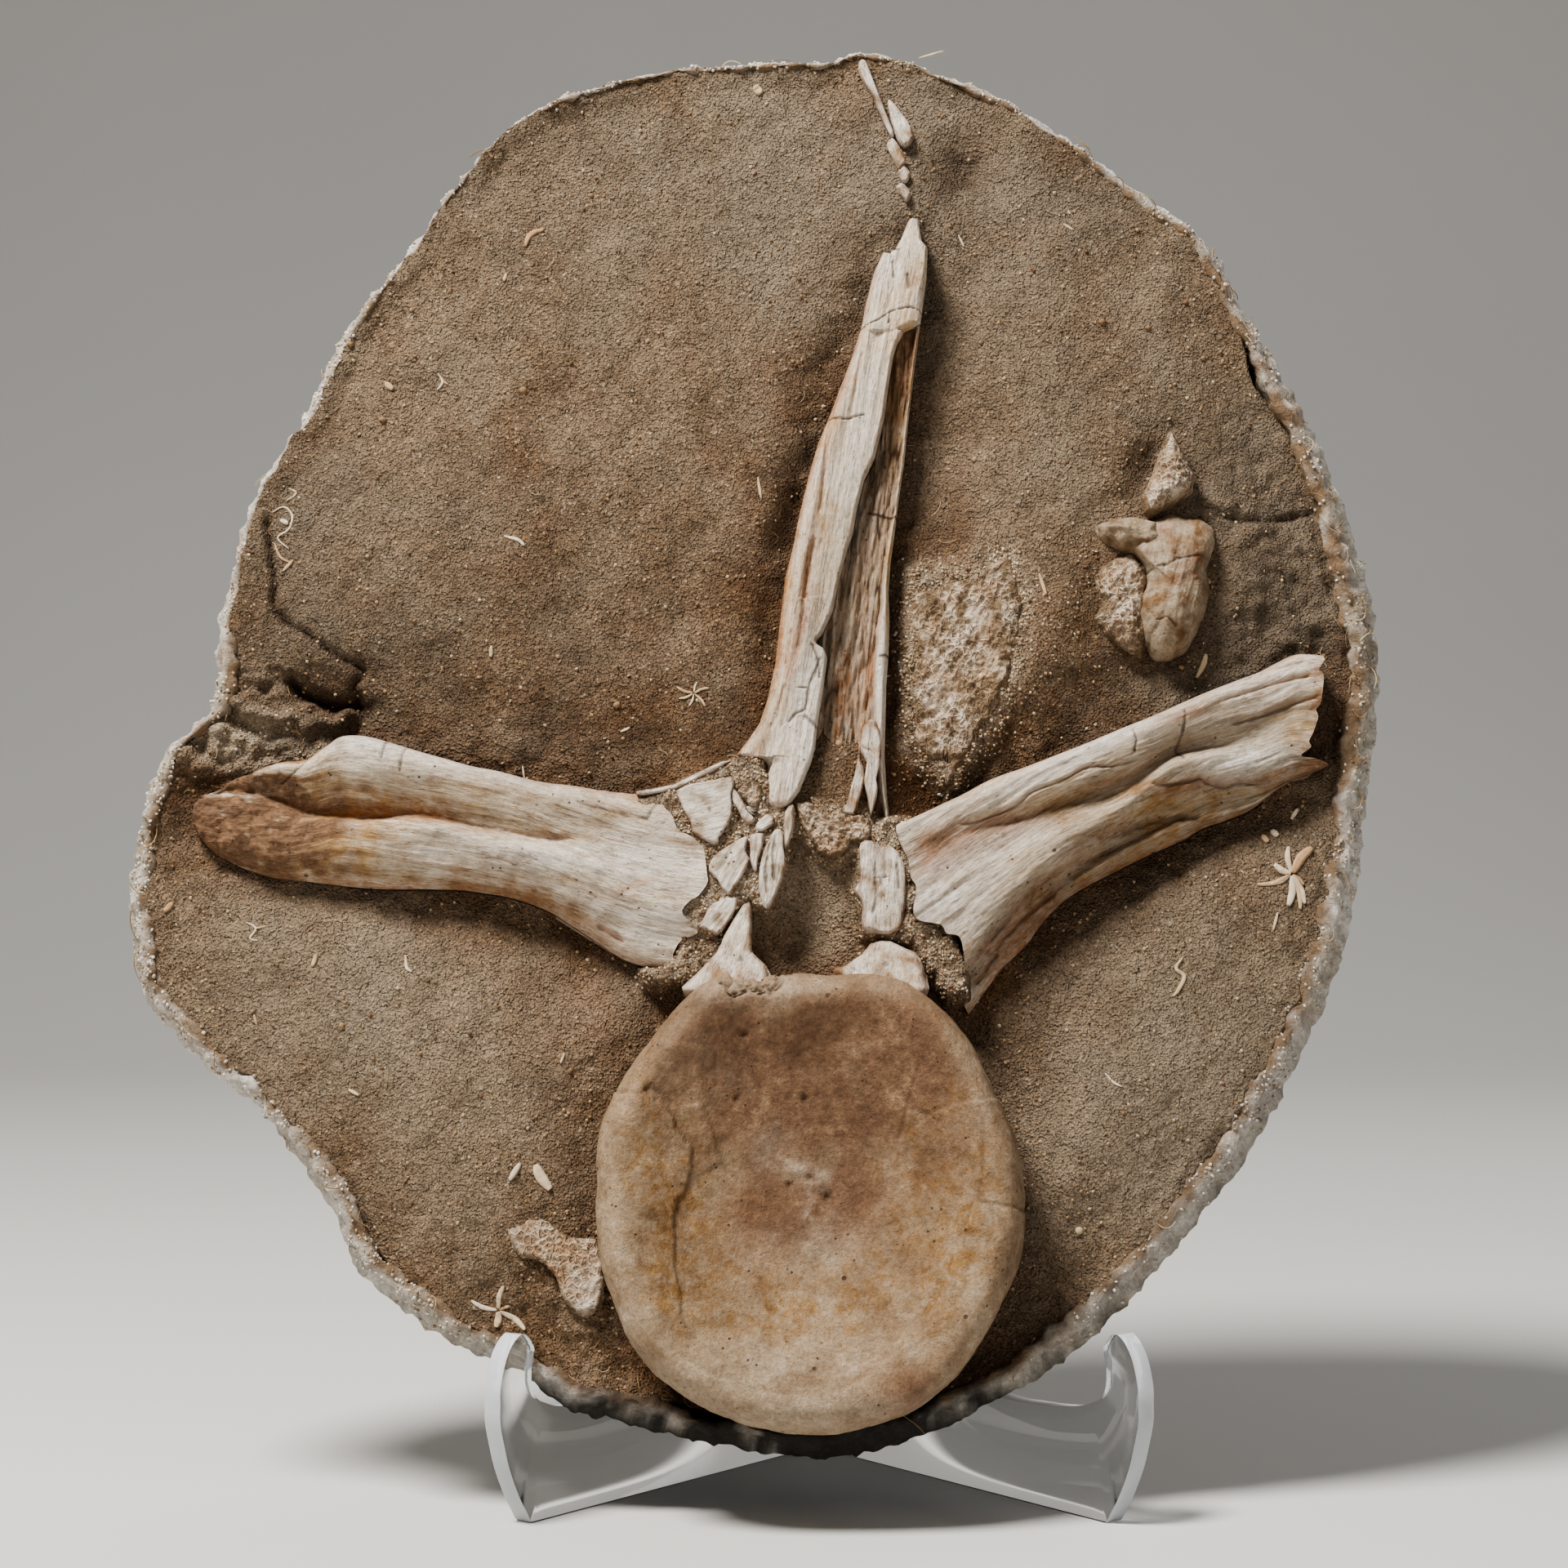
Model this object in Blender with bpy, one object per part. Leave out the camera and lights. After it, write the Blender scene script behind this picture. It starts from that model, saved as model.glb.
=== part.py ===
"""Fossil marine reptile vertebra, half freed from its sandy block, in a plaster jacket on a folded clear stand.

Everything that belongs to the block is drawn flat first, in block coordinates: across, up and proud
(out of the block, towards the viewer), in millimetres. An empty then leans the block back.
"""

import math

import bmesh
import bpy
from mathutils import Matrix, Vector

MM = 0.001
GAP = 0.3                      # clearance that touching pieces keep
LEAN = math.radians(10)        # the block leans back on its stand
BLOCK_HEIGHT = 75.8            # height of the centrum's middle over the floor
BLOCK_CENTRE = (-8, 102)       # middle of the block, measured from the centrum's middle

# Widest outline of the jacket, across and up, anticlockwise from the right
JACKET_OUTLINE = [
    (142, 112), (143, 137), (139, 167), (130, 192), (120, 214), (109, 235), (99, 250), (80, 265),
    (58, 281), (34, 293), (15, 297), (-10, 294), (-40, 292), (-66, 284), (-86, 268), (-108, 236),
    (-123, 211), (-139, 184), (-146, 160), (-149, 141), (-152, 124), (-166, 103), (-169, 77), (-165, 52),
    (-150, 34), (-133, 19), (-118, 0), (-107, -20), (-83, -36), (-58, -51), (-28, -58), (2, -62),
    (31, -56), (53, -45), (74, -28), (93, -8), (109, 13), (121, 35), (133, 63), (139, 88),
]
# Every 30 degrees, anticlockwise from the right
JACKET_FLARE = [2.6, 2.4, 1.2, 0.6, 0.6, 0.8, 1.0, 1.0, 2.4, 3.2, 3.2, 2.8]
RIM_WIDTH = [5.0, 4.6, 3.0, 2.0, 2.2, 3.4, 4.2, 4.2, 4.4, 3.6, 4.2, 4.6]
# How far the back draws in behind the rim, where it sits on the stand
JACKET_TUCK = [0, 0, 0, 0, 0, 0, 0, 1.0, 6.4, 3.6, 0.6, 0]
# Share of the widest radius, depth behind the rim and share of the tuck, round the outside of the jacket
JACKET_BACK = [
    (1.0, 3, 0), (1.0, 10, 0.9), (0.985, 24, 1), (0.95, 34, 1), (0.885, 43, 0.8), (0.77, 51, 0.4),
    (0.58, 57, 0), (0.34, 60.5, 0),
]
JACKET_DEPTH = 62
JACKET_WALL = 6
RIM_PROUD = 1.2
EDGE_DEPTH = 8                 # the rim's inner edge goes straight back this far
RING_SIDES = 80
BLOCK_RINGS = 17

CENTRUM_HALF_WIDTH = 51.6
CENTRUM_HALF_HEIGHT = 56.2
CENTRUM_SQUARE = 2.14          # exponent of its outline, 2 is an ellipse
CENTRUM_FLAT_TOP = 2.2         # how far the canal floor cuts into the top
CENTRUM_SIDES = 56
# Share of the radius and how proud, from the middle of the dished face round to the buried end
CENTRUM_PROFILE = [
    (0.12, 15.6), (0.32, 16.4), (0.52, 18.2), (0.70, 20.6), (0.84, 23.0), (0.92, 24.2),
    (0.965, 23.8), (0.99, 22.0), (1.0, 18.5), (0.975, 11.0), (0.935, 2.0), (0.84, -8.0),
]
CENTRUM_MIDDLE_PROUD = 15.2
CENTRUM_TIP_FORWARD = 2.4      # its lower edge stands prouder than its upper edge

# Each long bone is a pair of edges, tip to root
PROCESS_LEFT = (
    [(-149, 100), (-140, 105), (-129, 111), (-116, 115), (-100, 112), (-84, 108), (-70, 105), (-56, 102),
     (-44, 100), (-35, 98), (-29, 89), (-25, 82)],
    [(-150, 94), (-144, 86), (-131, 80), (-115, 77), (-98, 78), (-81, 77), (-68, 72), (-57, 65),
     (-47, 59), (-38, 57), (-30, 60), (-26, 69)],
)
PROCESS_LEFT_PROUD = [2.0, 5.0, 7.5, 9.5, 10, 10, 10, 9.6, 9.0, 8.0, 7.2, 6.6]
PROCESS_RIGHT = (
    [(127, 135), (110, 130), (94, 124), (77, 118), (61, 109), (47, 103), (37, 99), (30, 95), (26.5, 89)],
    [(130, 108), (112, 101), (93, 98), (76, 92), (62, 83), (50, 72), (43, 60), (37, 51), (29.5, 60)],
)
PROCESS_RIGHT_PROUD = [9.6, 10.6, 11.4, 12.0, 12.0, 11.4, 9.8, 8.0, 6.4]
# Across the width from the lower edge to the upper edge: share of the half width, share of the height
PROCESS_SECTION = [
    (-1.0, -0.35), (-0.90, 0.35), (-0.62, 0.84), (-0.30, 1.0), (0.02, 0.80), (0.20, 0.66), (0.46, 0.88),
    (0.70, 0.92), (0.92, 0.50), (1.0, -0.30),
]

# The neural spine, from its top down: how high, then its left edge, trough and right edge across
SPINE_ROWS = [
    (249, 26, 30, 31, 32), (240, 18.5, 29, 30, 31), (222, 13, 26.5, 28, 29.6), (207, 8, 23, 26.4, 28),
    (186, 3, 18, 23.6, 25.2), (165, -3, 12.5, 20.6, 22.4), (144, -6, 8, 18.4, 20.4), (127, -9, 4, 16.2, 20),
    (114, -14, 2.0, 14.6, 20), (106, -21, 0.8, 13.2, 20.2), (99, -14, -0.4, 11.6, 20.4),
    (92, -9.5, -2.4, 10, 20.8),
]
SPINE_PLATE_PROUD = 7.6
SPINE_TROUGH_PROUD = 3.0
SPINE_RIGHT_PROUD = 6.2

# Broken plates: outline, how proud the top stands, and how far its edge is rounded
PLATES = {
    "arch_right": ([(13.5, 86), (20.5, 90), (25.6, 84), (25.8, 67), (14.4, 66), (12.4, 76)], 8.0, 1.0),
    "arch_plate_upper": ([(-33, 99), (-19.6, 104), (-17.6, 96), (-21.6, 87), (-28.6, 88)], 7.6, 1.0),
    "arch_plate_small": ([(-18, 101), (-14.0, 102.6), (-11.6, 93.6), (-13.2, 90), (-16.8, 93)], 7.0, 0.8),
    "arch_plate_middle": ([(-26, 81.6), (-17, 89.4), (-14.6, 84), (-20, 74.2)], 7.2, 0.9),
    "arch_plate_lower": ([(-27, 69.4), (-20.2, 73.4), (-17.6, 70.6), (-21.8, 64.4), (-27.4, 63)], 6.8, 0.9),
    "arch_strip": ([(-12.8, 88.4), (-9, 94.6), (-3.2, 96.0), (-4.2, 84), (-10.2, 71.2), (-12.6, 77)], 7.4, 0.9),
    "pedicle_left": ([(-17.4, 75), (-14.2, 75.4), (-13.2, 64), (-7.6, 56), (-7.6, 48), (-22, 46), (-24, 56), (-17.6, 63)], 12, 0.9),
    "pedicle_right": ([(14.4, 63.6), (22, 63.4), (27.4, 57), (29, 50), (12, 46), (8.6, 55.4), (12.8, 59)], 12, 0.9),
    "loose_cone": ([(91.6, 193), (84.6, 177.4), (86.6, 172.6), (97, 174.6), (97.8, 184)], 9.0, 2.4),
    "loose_round_bone": (
        [(75, 168), (82, 169.4), (93, 170), (102, 167.6), (101.4, 159), (99.6, 148), (95, 139), (88, 136.4),
         (80, 143), (78.4, 156)], 10.5, 3.6),
    "spongy_flake_upper": ([(26, 153), (38, 155), (50.4, 159), (53, 140), (50, 130), (33.4, 104), (26.4, 111)], 3.4, 1.4),
    "spongy_flake_lower": (
        [(-73, -8), (-65, -5.4), (-58.6, -8.6), (-53.4, -10), (-50.6, -19), (-52.4, -26), (-60, -27),
         (-64.6, -17), (-71, -13.6)], 2.6, 1.0),
    "splinter_top": ([(12.6, 288), (15.0, 288), (20.4, 272), (25.4, 262), (23.0, 261.4), (17.4, 274)], 3.0, 0.45),
    "splinter_side": ([(21.6, 282), (27.4, 277), (26.6, 271), (22.8, 273.4)], 3.2, 0.5),
    "splinter_lower": ([(22.2, 259.6), (25.6, 260.4), (28.0, 254), (25.4, 253.6)], 3.0, 0.45),
}
PLATE_SINK = 3.0               # how deep a plate sits under the sand's own level
PEDICLE_SINK = 6.0

# Swells and hollows of the sand: across, up, half sizes, turn in degrees, height
SWELLS = [
    (-8, 92, 20, 15, 0, 3.4), (-1, 68, 10, 10, 0, -6.0), (58, 38, 10, 26, -28, -5.0),
    (72, 80, 40, 8, 28, -4.0), (-62, 62, 30, 9, -22, -4.0), (35, 190, 5, 50, -6, -4.0),
    (-2, 178, 4, 44, -12, -1.6), (90, 154, 24, 24, 0, 4.6), (122, 176, 9, 22, 18, -4.6),
    (84, 132, 34, 6, 26, -3.4), (40, 265, 5, 6, 0, -4.0), (-122, 126, 14, 6, -18, -5.0),
    (46, -32, 22, 11, 40, -5.0), (-36, -42, 16, 9, -35, -4.0), (-110, -8, 16, 5, -52, -5.0),
    (98, 4, 12, 4, 58, -3.6), (-60, 180, 46, 40, 0, 1.6), (-90, 30, 36, 26, 0, 1.4), (80, 40, 20, 26, 0, 2.0),
]
SAND_EDGE_DROP = 3.4

# The folded stand: a V in plan, open to the front
SHEET = 5.0
WING_FRONT = -14.5             # depth of its front feet
WING_DEPTH = 92.7
WING_HALF_WIDTH = 68.7
STAND_ACROSS = 2.4             # its middle, measured from the centrum's middle
FOLD_RADIUS = 9.0
# Along a wing from its foot to the fold: distance, lower edge, upper edge
WING_PROFILE = [
    (-12.0, 26.6, 31.6), (-11.6, 23.6, 35.0), (-10.6, 20.2, 38.7), (-9.1, 15.6, 41.9), (-6.9, 10.2, 44.6),
    (-4.5, 6.0, 45.9), (-2.2, 2.6, 45.2), (-0.4, 0.0, 43.4), (-0.1, 0.0, 37.0), (0.2, 0.0, 33.4),
    (0.8, 0.0, 31.0), (1.8, 0.0, 29.4), (3.5, 0.0, 28.3), (7.0, 0.0, 27.0), (11, 0.0, 25.5),
    (25, 0.0, 25.0), (34, 0.0, 24.6), (42, 0.0, 25.0), (48, 0.0, 26.0), (54, 0.0, 27.8), (60, 0.0, 30.8),
    (66, 0.0, 35.0), (74, 0.0, 43.4), (78, 0.0, 50.0), (83, 0.0, 59.6), (90, 0.0, 73.6), (98, 0.0, 92.0),
]
FOLD_TOP = 104.0
FOLD_STEPS = 6

COLOURS = {
    "plaster": ((0.70, 0.66, 0.58, 1), 0.9),
    "sand": ((0.30, 0.21, 0.13, 1), 0.95),
    "bone": ((0.66, 0.56, 0.43, 1), 0.6),
    "spongy": ((0.62, 0.47, 0.34, 1), 0.85),
    "acrylic": ((0.86, 0.90, 0.91, 0.35), 0.05),
}


def clear_scene():
    for obj in list(bpy.data.objects):
        bpy.data.objects.remove(obj)


def material(name):
    """One Principled BSDF for each finish."""
    found = bpy.data.materials.get(name)
    if found:
        return found
    made = bpy.data.materials.new(name)
    made.use_nodes = True
    shader = made.node_tree.nodes["Principled BSDF"]
    colour, roughness = COLOURS[name]
    shader.inputs["Base Color"].default_value = colour
    shader.inputs["Roughness"].default_value = roughness
    shader.inputs["Metallic"].default_value = 0.0
    shader.inputs["Alpha"].default_value = colour[3]
    return made


def block_point(across, up, proud):
    """Block coordinates in millimetres to the block empty's own space in metres."""
    return Vector((across * MM, -proud * MM, up * MM))


def mesh_object(name, points, faces, finish, parent):
    mesh = bpy.data.meshes.new(name)
    mesh.from_pydata([tuple(p) for p in points], [], faces)
    bm = bmesh.new()
    bm.from_mesh(mesh)
    bmesh.ops.remove_doubles(bm, verts=bm.verts, dist=0.00001)
    bmesh.ops.recalc_face_normals(bm, faces=bm.faces)
    bmesh.ops.triangulate(bm, faces=bm.faces)
    bm.to_mesh(mesh)
    bm.free()
    obj = bpy.data.objects.new(name, mesh)
    bpy.context.scene.collection.objects.link(obj)
    obj.parent = parent
    mesh.materials.append(material(finish))
    mesh.shade_smooth()
    mesh.set_sharp_from_angle(angle=math.radians(40))
    return obj


def ring_faces(rings, sides, first_tip=None, last_tip=None):
    """Quads between rings of points, with a fan to a tip point at either end where there is one."""
    faces = []
    for ring in range(rings - 1):
        for side in range(sides):
            after = (side + 1) % sides
            faces.append((ring * sides + side, ring * sides + after,
                          (ring + 1) * sides + after, (ring + 1) * sides + side))
    last = (rings - 1) * sides
    for side in range(sides):
        after = (side + 1) % sides
        if first_tip is not None:
            faces.append((first_tip, after, side))
        if last_tip is not None:
            faces.append((last_tip, last + side, last + after))
    return faces


def curve_between(before, start, end, after, share):
    """Catmull-Rom value between start and end."""
    return 0.5 * (2 * start + (end - before) * share
                  + (2 * before - 5 * start + 4 * end - after) * share ** 2
                  + (3 * start - before - 3 * end + after) * share ** 3)


def around(values, angle):
    """A value listed at even steps round the block, read smoothly at any angle in radians."""
    place = (angle / math.tau % 1) * len(values)
    index = int(place)
    near = [values[(index + step) % len(values)] for step in (-1, 0, 1, 2)]
    return curve_between(*near, place - index)


def outline_radii():
    """Distance from the block's middle to its widest outline, once for each side of the rings."""
    dense = []
    count = len(JACKET_OUTLINE)
    for index in range(count):
        near = [JACKET_OUTLINE[(index + step) % count] for step in (-1, 0, 1, 2)]
        for step in range(12):
            across, up = (curve_between(*(p[axis] for p in near), step / 12) for axis in (0, 1))
            dx, dy = across - BLOCK_CENTRE[0], up - BLOCK_CENTRE[1]
            dense.append((math.atan2(dy, dx) % math.tau, math.hypot(dx, dy)))
    dense.sort()
    radii = []
    for side in range(RING_SIDES):
        angle = math.tau * side / RING_SIDES
        nearest = sorted(dense, key=lambda p: abs((p[0] - angle + math.pi) % math.tau - math.pi))[:2]
        radii.append(sum(p[1] for p in nearest) / 2)
    return radii


RADII = outline_radii()


def ring_point(side, radius, proud):
    angle = math.tau * side / RING_SIDES
    return block_point(BLOCK_CENTRE[0] + radius * math.cos(angle), BLOCK_CENTRE[1] + radius * math.sin(angle), proud)


def rim_radii(side):
    """Outer edge and inner edge of the jacket's front rim."""
    angle = math.tau * side / RING_SIDES
    outer = RADII[side] - around(JACKET_FLARE, angle)
    return outer, outer - around(RIM_WIDTH, angle)


def back_radius(side, share, tuck):
    """Radius of a station on the jacket's back."""
    return RADII[side] * share - tuck * around(JACKET_TUCK, math.tau * side / RING_SIDES)


def swell_height(across, up):
    total = 0
    for x, y, half_x, half_y, turn, height in SWELLS:
        angle = math.radians(turn)
        dx, dy = across - x, up - y
        along = dx * math.cos(angle) + dy * math.sin(angle)
        aside = dy * math.cos(angle) - dx * math.sin(angle)
        total += height * math.exp(-0.5 * ((along / half_x) ** 2 + (aside / half_y) ** 2))
    return total


def sand_level(across, up, share):
    """How proud the sand stands, where share is the distance out to the rim."""
    return max(1.0 + swell_height(across, up) - SAND_EDGE_DROP * share ** 5, 1 - EDGE_DEPTH * 0.9)


def make_jacket(parent):
    """Plaster dish: its back, its rim and the hollow that the sand fills."""
    rings = []
    rim = [rim_radii(side) for side in range(RING_SIDES)]
    for share, depth, tuck in reversed(JACKET_BACK):
        rings.append([ring_point(s, back_radius(s, share, tuck), -depth) for s in range(RING_SIDES)])
    rings.append([ring_point(s, rim[s][0], RIM_PROUD - 1.6) for s in range(RING_SIDES)])
    rings.append([ring_point(s, rim[s][0] - 1.0, RIM_PROUD) for s in range(RING_SIDES)])
    rings.append([ring_point(s, rim[s][1], RIM_PROUD - 0.4) for s in range(RING_SIDES)])
    rings.append([ring_point(s, rim[s][1], -EDGE_DEPTH) for s in range(RING_SIDES)])
    for station in JACKET_BACK[1:]:
        rings.append([inner_point(s, station, 0) for s in range(RING_SIDES)])
    points = [p for ring in rings for p in ring]
    points.append(ring_point(0, 0, -JACKET_DEPTH))
    points.append(ring_point(0, 0, JACKET_WALL - JACKET_DEPTH))
    faces = ring_faces(len(rings), RING_SIDES, first_tip=len(points) - 2, last_tip=len(points) - 1)
    return mesh_object("jacket", points, faces, "plaster", parent)


def inner_point(side, station, inset):
    """On the inside of the jacket's wall, or inset further in for the sand that fills it."""
    share, depth, tuck = station
    radius = min(back_radius(side, share, tuck) - JACKET_WALL * min(1, share * 1.4), rim_radii(side)[1] + 1.5)
    proud = JACKET_WALL * (1 - share) ** 0.5 * 1.02 - depth
    return ring_point(side, radius - inset, proud + inset)


def make_block(parent):
    """Sandy block that fills the jacket, with its uneven face."""
    rings = []
    for ring in range(1, BLOCK_RINGS + 1):
        share = ring / BLOCK_RINGS
        row = []
        for side in range(RING_SIDES):
            radius = (rim_radii(side)[1] - GAP * 1.3) * share
            angle = math.tau * side / RING_SIDES
            across = BLOCK_CENTRE[0] + radius * math.cos(angle)
            up = BLOCK_CENTRE[1] + radius * math.sin(angle)
            row.append(ring_point(side, radius, sand_level(across, up, share)))
        rings.append(row)
    rings.append([ring_point(s, rim_radii(s)[1] - GAP * 1.3, -EDGE_DEPTH) for s in range(RING_SIDES)])
    for station in JACKET_BACK[1:]:
        rings.append([inner_point(s, station, GAP * 1.5) for s in range(RING_SIDES)])
    points = [p for ring in rings for p in ring]
    points.append(ring_point(0, 0, sand_level(*BLOCK_CENTRE, 0)))
    points.append(ring_point(0, 0, JACKET_WALL + GAP * 1.5 - JACKET_DEPTH))
    faces = ring_faces(len(rings), RING_SIDES, first_tip=len(points) - 2, last_tip=len(points) - 1)
    return mesh_object("sand_block", points, faces, "sand", parent)


def centrum_radius(angle):
    """Outline of the centrum: a squarish oval with a flat under the neural canal."""
    power = CENTRUM_SQUARE
    radius = (abs(math.cos(angle) / CENTRUM_HALF_WIDTH) ** power
              + abs(math.sin(angle) / CENTRUM_HALF_HEIGHT) ** power) ** (-1 / power)
    flat = math.exp(-((angle - math.pi / 2) / 0.34) ** 2)
    return radius - CENTRUM_FLAT_TOP * flat


def make_centrum(name, parent, grow=0.0):
    """Spool-shaped body of the vertebra, with a dished face and a rounded lip."""
    points = []
    for share, proud in CENTRUM_PROFILE:
        buried = proud == CENTRUM_PROFILE[-1][1]
        for side in range(CENTRUM_SIDES):
            angle = math.tau * side / CENTRUM_SIDES
            radius = centrum_radius(angle) * share + grow * (1.1 if share > 0.93 or buried else 0)
            up = radius * math.sin(angle)
            tip = 0 if buried else -CENTRUM_TIP_FORWARD * up / CENTRUM_HALF_HEIGHT
            lift = -grow if buried else grow
            points.append(block_point(radius * math.cos(angle), up, proud + tip + lift))
    points.append(block_point(0, 0, CENTRUM_MIDDLE_PROUD + grow))
    points.append(block_point(0, 0, CENTRUM_PROFILE[-1][1] - grow))
    faces = ring_faces(len(CENTRUM_PROFILE), CENTRUM_SIDES, first_tip=len(points) - 2, last_tip=len(points) - 1)
    return mesh_object(name, points, faces, "bone", parent)


def make_process(name, edges, heights, parent, grow=0.0):
    """Transverse process: two ridges and the groove between them, along a pair of edges."""
    lower_depth = 5.0
    upper_edge, lower_edge = edges
    count = len(upper_edge)
    points = []
    for index in range(count):
        top, bottom = Vector(upper_edge[index]), Vector(lower_edge[index])
        middle, half = (top + bottom) / 2, (top - bottom) / 2
        aside = half.normalized()
        if index in (0, count - 1):
            outward = Vector((aside.y, -aside.x)) * (-1 if index == 0 else 1)
            if (middle - Vector(upper_edge[1 if index == 0 else count - 2])).dot(outward) < 0:
                outward = -outward
            middle = middle + outward * grow
        reach = half.length + grow
        height = heights[index]
        for share, rise in PROCESS_SECTION:
            spot = middle + aside * reach * share
            points.append(block_point(spot.x, spot.y, height * rise + (grow if rise > 0 else 0)))
        for share in (0.55, -0.55):
            spot = middle + aside * reach * share
            points.append(block_point(spot.x, spot.y, -lower_depth - grow))
    sides = len(PROCESS_SECTION) + 2
    faces = ring_faces(count, sides)
    faces.append(tuple(range(sides)))
    faces.append(tuple(range((count - 1) * sides, count * sides)))
    return mesh_object(name, points, faces, "bone", parent)


def make_spine(name, parent, grow=0.0):
    """Neural spine: a broad left plate and a narrow right edge, with a rough trough between."""
    points = []
    last = len(SPINE_ROWS) - 1
    for index, (up, left, trough_left, trough_right, right) in enumerate(SPINE_ROWS):
        taper = 0.55 if index == 0 else 1.0
        up += grow if index == 0 else (-grow if index == last else 0)
        body = trough_left - left
        row = [
            (left - grow, -1.5), (left + body * 0.12, SPINE_PLATE_PROUD * 0.62 * taper + grow),
            (left + body * 0.45, SPINE_PLATE_PROUD * taper + grow), (left + body * 0.86, SPINE_PLATE_PROUD * 0.94 * taper + grow),
            (trough_left, SPINE_TROUGH_PROUD * 1.5 * taper + grow),
            ((trough_left + trough_right) / 2, SPINE_TROUGH_PROUD * taper + grow),
            (trough_right, SPINE_TROUGH_PROUD * 1.4 * taper + grow),
            ((trough_right + right) / 2, SPINE_RIGHT_PROUD * taper + grow), (right + grow, -1.5),
            (right - (right - left) * 0.3, -5.0 - grow), (left + (right - left) * 0.3, -5.0 - grow),
        ]
        points += [block_point(across, up, proud) for across, proud in row]
        sides = len(row)
    faces = ring_faces(len(SPINE_ROWS), sides)
    faces.append(tuple(range(sides)))
    faces.append(tuple(range(last * sides, (last + 1) * sides)))
    return mesh_object(name, points, faces, "bone", parent)


def offset_outline(outline, distance):
    """The outline moved outwards by the distance, corner by corner."""
    count = len(outline)
    area = sum(outline[i - 1][0] * outline[i][1] - outline[i][0] * outline[i - 1][1] for i in range(count))
    turn = 1 if area > 0 else -1
    moved = []
    for index in range(count):
        before, here, after = (Vector(outline[(index + step) % count]) for step in (-1, 0, 1))
        first, second = (here - before).normalized(), (after - here).normalized()
        normals = [Vector((d.y, -d.x)) * turn for d in (first, second)]
        middle = (normals[0] + normals[1]).normalized()
        moved.append(here + middle * distance / max(0.35, middle.dot(normals[0])))
    return moved


def make_plate(name, plate, sink, finish, parent, grow=0.0):
    """Broken plate of bone with a softly crowned top, set into the sand."""
    outline, proud, rounding = plate
    centre = sum((Vector(p) for p in outline), Vector((0, 0))) / len(outline)
    foot = min(sand_level(centre.x, centre.y, 0), 0) - sink - grow
    rings = [
        (offset_outline(outline, grow), foot),
        (offset_outline(outline, grow), proud - rounding + grow),
        (offset_outline(outline, grow - rounding * 0.3), proud - rounding * 0.3 + grow),
        (offset_outline(outline, grow - rounding), proud + grow),
    ]
    points = [block_point(p.x, p.y, height) for ring, height in rings for p in ring]
    sides = len(outline)
    faces = ring_faces(len(rings), sides)
    faces.append(tuple(range(sides)))
    faces.append(tuple(range(3 * sides, 4 * sides)))
    return mesh_object(name, points, faces, finish, parent)


def finish_of(name):
    return "spongy" if name.startswith(("spongy", "loose_cone")) else "bone"


def make_bone(name, parent, grow=0.0, label=None):
    """Any bone by name. A grown one is the cutter that leaves a clearance round it."""
    label = label or name
    if name == "centrum":
        return make_centrum(label, parent, grow)
    if name == "process_left":
        return make_process(label, PROCESS_LEFT, PROCESS_LEFT_PROUD, parent, grow)
    if name == "process_right":
        return make_process(label, PROCESS_RIGHT, PROCESS_RIGHT_PROUD, parent, grow)
    if name == "neural_spine":
        return make_spine(label, parent, grow)
    sink = PEDICLE_SINK if name.startswith("pedicle") else PLATE_SINK
    return make_plate(label, PLATES[name], sink, finish_of(name), parent, grow)


def largest_body(mesh):
    """Keeps the largest closed surface, so that a cut leaves no loose scrap."""
    bm = bmesh.new()
    bm.from_mesh(mesh)
    unseen = set(bm.verts)
    islands = []
    while unseen:
        stack = [unseen.pop()]
        island = set(stack)
        while stack:
            for edge in stack.pop().link_edges:
                for vert in edge.verts:
                    if vert not in island:
                        island.add(vert)
                        stack.append(vert)
        unseen -= island
        islands.append(island)
    keep = max(islands, key=len)
    bmesh.ops.delete(bm, geom=[v for v in bm.verts if v not in keep], context="VERTS")
    bmesh.ops.triangulate(bm, faces=bm.faces)
    bm.to_mesh(mesh)
    bm.free()


def cut(obj, cutters):
    """Cuts the grown cutters out of the object, one after another, and removes them."""
    for cutter in cutters:
        cutter.hide_render = True
        cutter.display_type = "WIRE"
        modifier = obj.modifiers.new(cutter.name, "BOOLEAN")
        modifier.operation = "DIFFERENCE"
        modifier.object = cutter
        modifier.solver = "EXACT"
    bpy.context.view_layer.update()
    evaluated = obj.evaluated_get(bpy.context.evaluated_depsgraph_get())
    mesh = bpy.data.meshes.new_from_object(evaluated)
    obj.modifiers.clear()
    obj.data = mesh
    largest_body(mesh)
    for cutter in cutters:
        bpy.data.objects.remove(cutter)


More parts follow.
